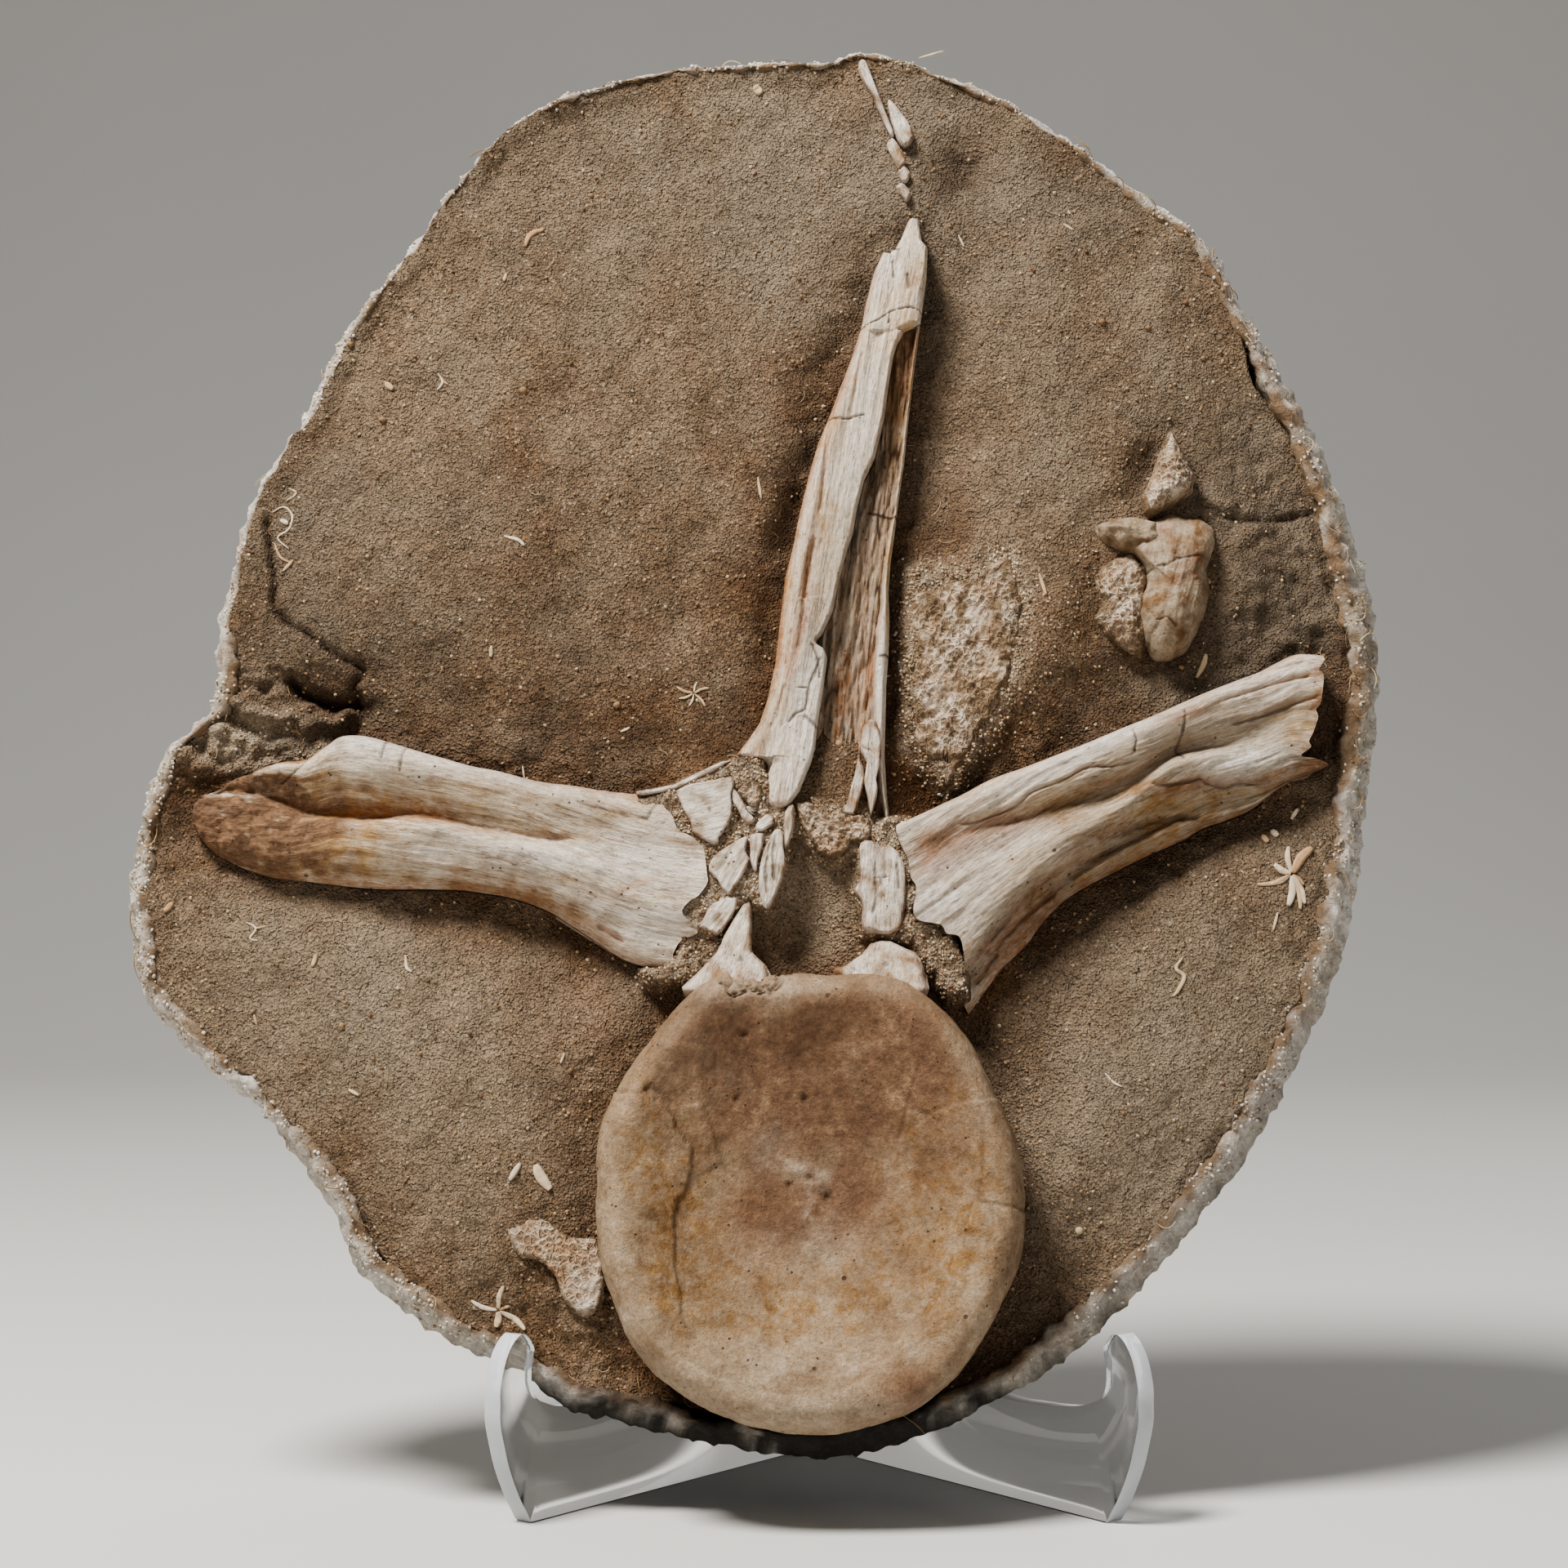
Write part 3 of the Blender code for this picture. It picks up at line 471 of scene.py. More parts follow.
def makeBoneLook(name, mottled=False):
    # Long bones read the grain's direction from the flow field, in millimetres along, across and proud
    paint = Paint(name, 0.66, 0.26)
    flow = paint.stretch(paint.place, (1 / mm,) * 3) if mottled else paint.field("flow", "Vector")

    def grained(along, aside):
        return paint.stretch(flow, (aside if mottled else along, aside, aside))

    broad = paint.noise(1, 6, 0.62, grained(0.030, 0.16), 0.4)
    streak = paint.noise(1, 7, 0.68, grained(0.10, 0.75), 0.8)
    fibre = paint.noise(1, 5, 0.68, grained(0.34, 2.3), 0.6)
    mottle = paint.noise(0.0026, 7, 0.76)
    patch = paint.noise(0.012, 6, 0.68, twist=0.3)
    clean, soiled = boneTones["mottled" if mottled else "grained"]
    cloud = paint.weighed(patch, 0.62, mottle, 0.38) if mottled else paint.weighed(streak, 0.6, broad, 0.4)
    tone = paint.ramp(cloud, clean)
    speck = paint.noise(1, 3, 0.6, grained(0.5, 1.5), 0.3)
    specks = paint.times(paint.spread(speck, 0.60, 0.68, 0, 0.75), paint.spread(patch, 0.42, 0.58, 0.3, 1))
    tone = paint.mix(specks, tone, tint(164, 118, 78))
    ochrePatch = paint.noise(0.0045 if mottled else 0.007, 7, 0.78, twist=0.5)
    ochrePatch = paint.spread(ochrePatch, 0.42, 0.62, 0.1 if mottled else 0.3, 1.2)
    ochre = paint.times(paint.field("ochre"), ochrePatch)
    tone = paint.soaked(ochre, tone, tint(234, 206, 158))
    rust = paint.times(paint.field("rust"), paint.spread(mottle, 0.36, 0.62, 0.4, 1.3))
    tone = paint.soaked(rust, tone, tint(206, 166, 136))
    grey = paint.times(paint.field("grey"), paint.spread(broad, 0.4, 0.6, 0.5, 1.2))
    tone = paint.soaked(grey, tone, tint(190, 184, 176))
    pale = paint.times(paint.field("pale"), paint.spread(mottle, 0.36, 0.6, 0.4, 1.2))
    tone = paint.mix(pale, tone, tint(188, 172, 150) if mottled else tint(226, 218, 207))
    earth = paint.times(paint.field("earth"), paint.spread(patch, 0.36, 0.5, 0.6 if mottled else 0.85, 1.2))
    tone = paint.mix(earth, tone, paint.ramp(paint.weighed(patch, 0.5, mottle, 0.5), soiled))
    # Fine brown lines along the grain, hairline cracks, small pores and pits
    thread = paint.times(paint.spread(fibre, 0.44, 0.36, 0, 0.6), paint.spread(patch, 0.44, 0.56, 0.25, 1))
    tone = paint.soaked(thread, tone, tint(168, 134, 104))
    lines = paint.cells(1, "Distance", "DISTANCE_TO_EDGE", grained(0.05, 0.22))
    lines = paint.maths("ADD", lines, paint.spread(streak, 0.40, 0.52, 0, 0.08))
    hair = paint.spread(lines, 0.0, 0.012, 1, 0)
    hair = paint.times(hair, 0.12 if mottled else 0.35)
    pores = paint.spread(paint.cells(0.0021), 0.10, 0.17, 0.9, 0)
    pores = paint.times(pores, paint.spread(paint.noise(0.009, 4, 0.6), 0.54, 0.62, 0, 1))
    pits = paint.spread(paint.cells(0.0075), 0.05, 0.09, 0.9, 0)
    pits = paint.times(pits, paint.spread(paint.noise(0.021, 2), 0.5, 0.56, 0, 1))
    crack = paint.maths("MAXIMUM", paint.field("crack"), hair)
    crack = paint.maths("MAXIMUM", crack, paint.maths("MAXIMUM", pores, pits), True)
    dapple = paint.noise(0.0009, 5, 0.8) if mottled else fibre
    tone = paint.shaded(tone, paint.spread(dapple, 0.3, 0.7, 0.70, 1.22))
    tone = paint.mix(paint.maths("MULTIPLY", crack, 0.9), tone, tint(58, 39, 26))
    height = paint.maths("ADD", paint.maths("MULTIPLY", streak, 0.8), mottle if mottled else fibre)
    height = paint.maths("SUBTRACT", height, paint.maths("MULTIPLY", crack, 0.9))
    normal = paint.bump(height, 0.0006, 0.9)
    normal = paint.bump(paint.noise(0.0010, 4, 0.7), 0.00040, 0.8, normal)
    return paint.finish(tone, normal)


def makeSpongyLook():
    # A lattice of pale struts over brown hollows
    paint = Paint("spongyBone", 0.85, 0.2)
    waver = paint.add("ShaderNodeTexNoise", None,
            {"Vector": paint.place, "Scale": 420.0, "Detail": 3.0}).outputs["Color"]
    wavered = paint.mix(0.0016, paint.place, waver, "ADD")
    strut = paint.spread(paint.cells(0.0019, "Distance", "DISTANCE_TO_EDGE", wavered), 0.05, 0.26, 1, 0)
    thin = paint.spread(paint.cells(0.0010, "Distance", "DISTANCE_TO_EDGE", wavered), 0.04, 0.22, 1, 0)
    solid = paint.spread(paint.noise(0.0075, 6, 0.7), 0.44, 0.60, 0, 1)
    lattice = paint.maths("MAXIMUM", strut, paint.maths("MULTIPLY", thin, 0.6))
    lattice = paint.maths("MAXIMUM", lattice, paint.maths("MULTIPLY", solid, 0.85), True)
    hollow = paint.ramp(paint.noise(0.005, 5, 0.7),
            [(0.36, tint(116, 88, 64)), (0.5, tint(150, 116, 88)), (0.62, tint(186, 144, 112))])
    crust = paint.ramp(paint.noise(0.008, 6, 0.7),
            [(0.36, tint(178, 148, 118)), (0.48, tint(204, 184, 160)), (0.62, tint(220, 206, 188))])
    tone = paint.mix(lattice, hollow, crust)
    tone = paint.shaded(tone, paint.spread(paint.noise(0.0014, 5, 0.75), 0.32, 0.66, 0.72, 1.14))
    tone = paint.soaked(paint.field("rust"), tone, tint(206, 160, 122))
    sandy = paint.times(paint.field("sandy"),
            paint.spread(paint.noise(0.006, 5, 0.7), 0.38, 0.58, 0.2, 1.6))
    tone = paint.mix(sandy, tone,
            paint.mix(paint.noise(0.0016, 4, 0.7), tint(84, 64, 46), tint(158, 134, 106)))
    height = paint.maths("ADD", lattice, paint.noise(0.0018, 5, 0.75))
    return paint.finish(tone, paint.bump(height, 0.0009, 1.0))


def makeSpeckLook(name, stops, size=0.0006):
    # Grains, crumbs and bits: one tone for each, from its shade attribute
    paint = Paint(name, 0.85, 0.2)
    tone = paint.shaded(paint.ramp(paint.field("shade"), stops),
            paint.spread(paint.noise(size, 4, 0.7), 0.3, 0.7, 0.78, 1.14))
    return paint.finish(tone, paint.bump(paint.noise(size, 4, 0.7), 0.0002, 0.8))


def makeAcrylicLook():
    paint = Paint("clearAcrylic", 0.03, 0.5)
    shader = paint.shader.inputs
    shader["IOR"].default_value = 1.49
    smear = paint.spread(paint.noise(0.02, 5, 0.6), 0.5, 0.75, 0.02, 0.10)
    # The sheet's edge faces are made less clear and slightly tinted so that they catch the light as bright
    # lines: a painted highlight
    paint.tree.links.new(paint.spread(paint.field("edge"), 0, 1, 1.0, 0.45), shader["Transmission Weight"])
    return paint.finish(paint.mix(paint.field("edge"), tint(252, 253, 253), tint(236, 241, 243)), None,
            smear)


looks = {
    "sand": makeSandLook(), "plaster": makePlasterLook(), "bone": makeBoneLook("fossilBone"),
    "centrum": makeBoneLook("centrumBone", mottled=True), "spongy": makeSpongyLook(),
    "acrylic": makeAcrylicLook(),
    "grain": makeSpeckLook("looseGrains",
        [(0.0, tint(104, 76, 52)), (0.35, tint(144, 116, 86)), (0.8, tint(168, 142, 112)),
          (0.97, tint(188, 170, 142))]),
    "crumb": makeSpeckLook("plasterCrumb",
        [(0.0, tint(136, 114, 90)), (0.3, tint(176, 162, 142)), (0.7, tint(204, 195, 182)),
          (1.0, tint(220, 214, 206))]),
    "rubble": makeSpeckLook("boneRubble",
        [(0.0, tint(118, 90, 66)), (0.4, tint(152, 126, 98)), (0.75, tint(186, 166, 140)),
          (1.0, tint(208, 194, 174))]),
    "fibre": makeSpeckLook("hempFibre",
        [(0.0, tint(128, 94, 58)), (0.5, tint(176, 146, 104)), (1.0, tint(212, 192, 156))]),
    "bit": makeSpeckLook("fishBone",
        [(0.0, tint(180, 144, 108)), (0.4, tint(200, 178, 146)), (1.0, tint(212, 198, 176))], 0.0014),
}
print("materials made")


# The slab: its outline, its rim and the sand's own level
slab = {
    "middle": (-8.0, 102.0),
    "outline": [
        (15, 297), (28, 294), (48, 286), (68, 274), (86, 260), (103, 246), (111, 230), (122, 210),
        (132, 188), (139, 167), (143, 145), (143.5, 129), (142, 112), (138, 87), (133, 62), (121, 34),
        (108, 12), (92, -9), (73.5, -29), (51.5, -45), (32, -55), (12, -61), (0, -62), (-18, -60),
        (-42, -54), (-58, -51), (-69, -43), (-84, -36), (-97, -27.5), (-110, -17), (-118, -1), (-133, 20),
        (-151, 35), (-165, 52), (-169, 77), (-166, 100), (-161, 112), (-150.5, 125), (-148.5, 143),
        (-146, 160), (-140, 181), (-129, 199), (-117, 224), (-102, 244.5), (-84, 270), (-66, 284),
        (-47, 290), (-32.5, 293), (-13, 294), (6, 295)],
    # The next three are listed every 30 degrees from the right
    "flare": [2.6, 2.4, 1.2, 0.6, 0.6, 0.8, 1.0, 1.0, 2.4, 3.2, 3.2, 2.8],
    "rimWidth": [5.4, 4.8, 2.8, 1.8, 2.0, 3.0, 4.0, 4.2, 4.4, 3.6, 4.2, 4.8],
    "tuck": [0, 0, 0, 0, 0, 0, 0, 1.0, 6.4, 3.6, 0.6, 0],
    # Share of the outline, depth, share of the tuck
    "back": [(0.0, 62, 0), (0.34, 60.5, 0), (0.58, 57, 0), (0.77, 51, 0.4), (0.885, 43, 0.8), (0.95, 34, 1),
             (0.985, 24, 1), (1.0, 10, 0.9), (1.0, 3, 0)],
    "wall": 6.0, "thinnestRim": 1.2, "edgeDepth": 8.0, "edgeDrop": 1.0, "raggedness": 0.8,
}
slabTable = polarTable(slab["outline"], slab["middle"])


def ragged(angle, size, seed):
    ring = stacked(np.cos(angle), np.sin(angle)) * 160
    return layeredNoise(ring, size, seed, 3)


def rimOuter(angle):
    return polarReach(slabTable, angle) - evenly(slab["flare"], angle) + slab["raggedness"] * ragged(angle,
            9, 3)


def rimInner(angle):
    width = evenly(slab["rimWidth"], angle) * (1 + 0.30 * ragged(angle, 14, 8)) + 0.5 * ragged(angle, 5, 12)
    return rimOuter(angle) - np.maximum(width, slab["thinnestRim"])


def backRadius(angle, share, tuck):
    return polarReach(slabTable, angle) * share - tuck * evenly(slab["tuck"], angle)


def slabPoint(angle, radius, proud):
    x, y = slab["middle"]
    return stacked(x + radius * np.cos(angle), y + radius * np.sin(angle), proud)


def innerWall(angle, station, inset):
    share, depth, tuck = station
    radius = backRadius(angle, share, tuck) - slab["wall"] * min(1, share * 1.4)
    radius = np.minimum(radius, rimInner(angle) + 1.5)
    return slabPoint(angle, radius - inset, slab["wall"] * (1 - share) ** 0.5 * 1.02 - depth + inset)


sand = {
    "cells": 298,
    "overlap": 0.9,            # under the plaster rim
    "lowest": -13,
    "swells": [   # across, up, half sizes, turn, height
        (-8, 92, 20, 15, 0, 3.2), (-20, 88, 9, 16, 0, 2.2), (13, 106, 6, 12, 0, 1.8),
        (20, 78, 6, 12, 0, 2.4), (-0.5, 70, 8, 11, 0, -5.6), (31, 61, 5.5, 9, 0, 4.0),
        (-28, 68, 5, 8, 0, 3.5), (-102, 168, 56, 16, 10, 2.2), (58, 38, 10, 26, -28, -5.0),
        (72, 80, 40, 8, 28, -4.0), (-62, 62, 30, 9, -22, -4.0), (35, 190, 5, 50, -6, -4.0),
        (-2, 178, 4, 44, -12, -1.6), (90, 154, 24, 24, 0, 4.6), (122, 176, 9, 22, 18, -4.6),
        (84, 132, 34, 6, 26, -3.4), (40, 265, 5, 6, 0, -4.0), (-122, 126, 14, 6, -18, -5.0),
        (46, -32, 22, 11, 40, -5.0), (-36, -42, 16, 9, -35, -4.0), (-110, -8, 16, 5, -52, -5.0),
        (98, 4, 12, 4, 58, -3.6), (-60, 180, 46, 40, 0, 1.6), (-90, 30, 36, 26, 0, 1.4),
        (80, 40, 20, 26, 0, 2.0)],
    "crack": [
        (-136.9, 170.4), (-135.6, 160.6), (-134.7, 154.1), (-134.8, 148.8), (-131, 144.5), (-125.2, 141.2),
        (-118.8, 136.4), (-111.9, 132.7), (-114.4, 129.5), (-113.8, 125.2)],
    "undercut": [(-130.4, 130.4), (-127.7, 127.7), (-123.5, 125.9), (-118.7, 124.8), (-114.6, 125.1)],
    "rough": [
        (-148.8, 132.5), (-139.4, 132.5), (-131.5, 129.8), (-118.3, 123.4), (-115.2, 122.3),
        (-118.2, 118.6), (-128.4, 111.2), (-138.8, 107.5), (-148, 105.4), (-162.5, 102.7), (-163.7, 105.9),
        (-157.1, 113.8), (-150.6, 122.9)],
    "ridge": [(-141.2, 121.8), (-133.9, 120.2), (-125.5, 119.7), (-118.2, 120.2), (-116.2, 122.3)],
    "gaps": [   # path, half width and depth of the clefts beside the rim
        ([(113, 221), (115, 213), (117, 207), (121, 202), (126, 196), (129.5, 189), (131.5, 181),
            (133, 174), (134, 166)], 2.4, 9.0),
        ([(-119, 2), (-115, -6), (-109, -13), (-103, -19)], 2.6, 9.0),
        ([(103, 12), (97, 3), (92, -4)], 1.2, 6.0), ([(88, -9), (82, -17), (76, -23)], 1.4, 6.0),
        ([(-40, -50), (-30, -53), (-20, -56), (-8, -58)], 2.6, 9.0)],
    "beds": [   # outline, level and half width of its edge
        ([(-44, 99), (-36, 101.4), (-27.6, 105), (-19.6, 108.4), (-14, 112), (-11, 108), (-8, 100),
            (-3.8, 97.4), (-3.2, 92.6), (-4.8, 87), (-5.4, 82.2), (-6.4, 78.8), (-8.2, 74.7), (-9.9, 71.2),
            (-12.4, 71.4), (-15, 73), (-19, 68.4), (-24, 64.8), (-28, 65.4), (-34, 70), (-40, 80)], 6.7,
          0.9),
        ([(-42, 57), (-36, 57.4), (-33, 60), (-28, 65.5), (-22, 64), (-18, 60), (-25, 55), (-34, 52),
            (-40, 53)], 4.6, 2.0),
        ([(12.5, 88), (16, 93), (21, 94.5), (27, 94), (30, 80), (29, 69), (36, 66), (40, 57), (39.6, 49),
            (34, 48.5), (29, 56), (24.5, 61.8), (20, 63.2), (14, 65), (12.8, 72.8), (11.4, 75.7),
            (12.9, 78.6)], 7.6, 1.6),
        ([(24, 160), (40, 160), (52, 165), (57, 150), (54, 132), (46, 114), (36, 99), (30, 106), (24, 112),
            (23.5, 130)], 1.9, 4.0),
        ([(-4, 98), (0, 99), (6, 98), (12, 97), (17, 95), (17, 87), (12, 86), (8, 83.6), (3, 84.6),
            (0, 87.4), (-3, 91)], 4.8, 1.4)],
    "crackRight": [
        (98.6, 177.3), (104.2, 172.8), (108.8, 171.5), (113.5, 171.2), (119.2, 172.0), (124.8, 173.4),
        (130.5, 174.4)],
    "bones": [   # outline, how far the sand sinks beside it, over how many millimetres, stain
        ([(-153, 92), (-144, 84), (-125, 79), (-96, 77), (-76, 75), (-63, 70.6), (-52, 63.4), (-37.5, 56.8),
            (-28, 66), (-25, 80), (-34, 95), (-36, 100), (-58, 102.5), (-83, 107.5), (-105, 113.8),
            (-116, 115), (-125, 109), (-139, 106), (-151, 100.6)], 3.0, 8.0, 0.8),
        ([(39.6, 45.6), (46.9, 55.7), (54, 63), (60, 71), (70, 78), (82.7, 84.4), (98.7, 92.4), (111, 97.4),
            (121, 104.6), (127, 119), (127, 135.6), (99, 126), (70, 113.4), (46, 104.3), (25, 92.8),
            (26, 76), (36, 64)], 3.6, 8.0, 0.9),
        ([(-12, 118.5), (-7.2, 143), (-3.8, 165), (5.3, 198), (15, 228), (19, 240), (29, 247), (29.3, 225),
            (24.5, 185), (20.4, 152), (19.5, 120)], 3.2, 6.0, 0.9),
        ([(-51, 3), (-44, 30), (-27, 50), (4, 53.6), (23, 52), (41, 34), (51.4, 5), (50.6, -15), (38, -39),
            (13, -54.6), (-14, -54), (-37, -41), (-50, -15)], 2.4, 7.0, 0.7),
        ([(84.6, 176), (91.8, 194), (98, 182), (96.9, 177), (102.8, 166), (100.6, 152), (93, 137),
            (85, 136), (74, 144), (73, 168)], 2.4, 6.0, 0.5)],
    "roughSpots": [(118, 160, 14, 26, 12, 0.55), (-60, -30, 26, 12, -30, 0.5)],
    "archSpots": [(-6, 94, 19, 20, 0, 1.6), (31, 62, 8, 10, 0, 1.3), (-27, 70, 7, 9, 0, 1.3)],
    "stains": {
        "rust": [
            (-9, 178, 7, 48, -12, 0.6), (32, 150, 6, 60, -5, 0.75), (-60, 58, 44, 8, -18, 0.7),
            (-80, 118, 50, 5, -6, 0.4), (70, 128, 44, 6, 26, 0.5), (56, 60, 12, 8, 40, 0.5),
            (54, 30, 8, 22, -30, 0.3), (-54, 34, 14, 28, 20, 0.4), (-45, 110, 26, 8, 0, 0.5),
            (-60, 150, 60, 46, 20, 0.3), (-130, 116, 22, 10, 0, 0.4), (40, 262, 7, 10, 0, 0.6),
            (136, 150, 5, 60, 8, 0.8), (-40, -44, 40, 8, -20, 0.5), (60, -36, 40, 10, 38, 0.5),
            (-2, 66, 12, 12, 0, 0.4)],
        "grey": [
            (-20, 262, 70, 24, 0, 0.55), (80, 214, 40, 40, -40, 0.4), (-118, 150, 20, 40, 15, 0.55),
            (112, 60, 20, 50, -20, 0.35), (-130, 40, 30, 30, 0, 0.35), (120, 168, 20, 30, 0, 0.7),
            (84, 24, 26, 36, -30, 0.45), (100, 132, 26, 8, 26, 0.6), (20, 262, 26, 22, 0, 0.3)],
        "pale": [
            (-142, 115, 15, 6, -14, 0.7), (-96, 52, 46, 26, -10, 0.25), (30, 230, 40, 60, 0, 0.12),
            (-64, 226, 60, 40, 30, 0.10), (82, 26, 24, 36, -30, 0.24), (-1, 74, 9, 12, 0, 0.45),
            (-84, 2, 18, 16, 0, 0.16), (-80, 150, 40, 30, 0, 0.10)],
        # hollow and shadowed are not stains: their blobs darken dents, low ground and slopes turned from
        # the light, as painted shade
        "hollow": [
            (40, 264, 5, 7, -20, 0.75), (-128, 116, 16, 4, 0, 0.2), (58, 50, 6, 20, -30, 0.3),
            (48, -34, 24, 9, 38, 0.35), (-50, 210, 2.5, 2.5, 0, 0.5)],
        "shadowed": [
            (-70, 122, 60, 8, -8, 0.22), (-8, 160, 10, 40, -12, 0.16), (70, 128, 50, 8, 26, 0.25),
            (120, 168, 12, 26, 14, 0.22), (-50, 116, 24, 6, -4, 0.2), (60, 40, 12, 26, -30, 0.06),
            (34, 180, 6, 60, -6, 0.2), (-124, 118, 20, 8, -10, 0.08), (-60, 60, 40, 8, -18, 0.22),
            (56, -20, 16, 20, -30, 0.1), (-106, 140, 18, 14, 0, 0.24), (-60, 150, 26, 20, 0, 0.12)],
        "shreds": [
            (34, 150, 12, 30, 0, 0.8), (-136, 170, 5, 10, 0, 2.0), (2, 92, 9, 5, 0, 9.0),
            (-40, -46, 24, 6, -20, 2.4), (-26, 100, 16, 12, 0, 1.2), (-135, 116, 20, 8, 0, 1.4),
            (26, 120, 10, 16, 0, 1.0)],
        "crumbled": [
            (54, 138, 3, 9, 8, 0.5), (52, 116, 9, 4, 20, 0.30), (70, 150, 5, 8, 0, 0.5),
            (66, 158, 4, 3, 0, 0.25), (-66, -2, 8, 3, -10, 0.20), (-20, 62, 5, 5, 0, 0.4),
            (-143, 116, 12, 5, -14, 0.5), (30, 160, 6, 1.5, 16, 0.25)],
    },
}


def sandLevel(spots, share):
    level = 1.0 + blobs(spots, sand["swells"]) - slab["edgeDrop"] * share ** 9
    return np.maximum(level, 1 - slab["edgeDepth"] * 0.9)


def makeSandBlock():
    def place(share, angle):
        radius = (rimInner(angle) + sand["overlap"]) * share
        coords = slabPoint(angle, radius, 0.0)
        coords[:, 2] = sandLevel(coords[:, :2], share)
        return coords

    skirts = [lambda angle: slabPoint(angle, rimInner(angle) + sand["overlap"], -slab["edgeDepth"])]
    skirts += [lambda angle, s=station: innerWall(angle, s, 0.5)
            for station in reversed(slab["back"][2:7:2])]
    coords, faces = discForm(sand["cells"], place, skirts,
            (*slab["middle"], slab["wall"] + 0.5 - slab["back"][0][1]))
    face = sand["cells"] ** 2
    spots = coords[:face, :2]
    proud = coords[:face, 2]

    slant = stacked(spots.sum(axis=1) * 0.45, spots[:, 0] - spots[:, 1])
    lumps = (layeredNoise(slant, 34, 23, 3) * 0.8 + layeredNoise(spots, 42, 21, 3) * 0.8
            + layeredNoise(spots, 11, 25, 3) * 0.42)
    lumps += layeredNoise(spots, 3.4, 29, 3, 0.6) * 0.26
    roughness = easeStep(insideReach(spots, sand["rough"]), -5, 3)
    roughness = np.maximum(roughness, blobs(spots, sand["roughSpots"]))
    near = cellNoise(spots, 4.6, 33)
    lumps += roughness * ((0.5 - near) * 3.6 + layeredNoise(spots, 7, 37, 3) * 1.4)
    proud += lumps

    # The sand sinks and darkens towards the bones: a rust stain beside them, and painted shade in the moats
    # from a share of the same stain
    stain, covered = np.zeros(face), np.full(face, -99.0)
    lee = easeStep(layeredNoise(spots, 9, 43, 2), -0.8, 0.8)
    arch = np.clip(blobs(spots, sand["archSpots"]), 0, 1)
    for outline, depth, wide, weight in sand["bones"]:
        signed = insideReach(spots, outline)
        outside = np.maximum(-signed, 0)
        covered = np.maximum(covered, signed)
        depth = depth * (1 - arch)
        proud -= depth * bell(outside, wide) * (0.7 + 0.5 * lee)
        stain = np.maximum(stain, weight * np.exp(-(outside / (wide * (0.5 + 0.5 * lee))) ** 1.5))

    # Rubble fills the arch up to just under its plates
    bedded = np.zeros(face)
    rubble = layeredNoise(spots, 3.6, 45, 3) * 0.4 + (0.45 - cellNoise(spots, 2.4, 47)) * 0.7
    for outline, level, wide in sand["beds"]:
        share = easeStep(insideReach(spots, outline) + 0.6 * rubble, -wide, wide)
        proud = proud + (level + rubble - proud) * share
        bedded = np.maximum(bedded, share)
    stain *= 1 - 0.7 * bedded

    # Cracks are drawn as dark lines; the undercut and the clefts beside the rim are also darkened, as
    # painted shade
    paintedShadeAndCracks = np.zeros(face)
    reach, _, side = pathReach(spots, softCurve(sand["crack"], 4))
    proud -= 1.5 * bell(reach, 0.9) + 0.5 * easeStep(reach, 7, 0) * (side > 0)
    paintedShadeAndCracks = np.maximum(paintedShadeAndCracks, 0.75 * bell(reach, 0.8))
    reach, along, side = pathReach(spots, softCurve(sand["undercut"], 5))
    proud -= 4.5 * bell(reach, 1.5) * (1 - 0.6 * abs(along - 0.5))
    proud += 1.6 * easeStep(reach, 9, 1) * (side > 0)
    paintedShadeAndCracks = np.maximum(paintedShadeAndCracks, 0.9 * bell(reach, 1.4))
    reach, _, side = pathReach(spots, softCurve(sand["ridge"], 5))
    proud += 2.6 * bell(reach, 1.7) - 2.2 * bell(reach - 4, 2) * (side < 0)
    reach = pathReach(spots, softCurve(sand["crackRight"], 5))[0]
    proud -= 1.4 * bell(reach, 1.0)
    paintedShadeAndCracks = np.maximum(paintedShadeAndCracks, 0.5 * bell(reach, 0.9))
    # Each cleft is painted dark over its carved width: painted shade in the cleft
    for path, half, depth in sand["gaps"]:
        reach, along, _ = pathReach(spots, softCurve(path, 5))
        ends = np.sqrt(np.clip(1 - (2 * along - 1) ** 6, 0.05, 1))
        wide = half * (1 + 0.35 * layeredNoise(spots, 7, 41, 2)) * ends
        carve = 1 - easeStep(reach, wide * 0.6, wide * 1.25)
        proud -= depth * carve
        paintedShadeAndCracks = np.maximum(paintedShadeAndCracks, carve)
    coords[:face, 2] = np.maximum(proud, sand["lowest"])

    def whole(values):
        return np.concatenate([np.clip(values, 0, 1), np.zeros(len(coords) - face)])

    rust = blobs(spots, sand["stains"]["rust"]) * (0.6 + 0.5 * layeredNoise(spots, 16, 51, 3))
    rust = rust + 0.22 * layeredNoise(spots, 30, 55, 3) + 0.8 * stain
    grey = blobs(spots, sand["stains"]["grey"])
    grey += 0.3 * layeredNoise(spots, 24, 61, 3)
    pale = blobs(spots, sand["stains"]["pale"])
    pale += 0.10 * layeredNoise(spots, 20, 65, 3)
    # Painted shade from the hollow and shadowed blobs
    hollow = blobs(spots, sand["stains"]["hollow"])
    paintedShadeAndCracks = np.maximum(paintedShadeAndCracks, hollow * (0.7 + 0.5 * layeredNoise(spots, 5, 71, 2)))
    shadowed = blobs(spots, sand["stains"]["shadowed"])
    paintedShadeAndCracks = np.maximum(paintedShadeAndCracks, shadowed * (1 + 0.6 * layeredNoise(spots, 12, 73, 4)) + 0.22 * stain)
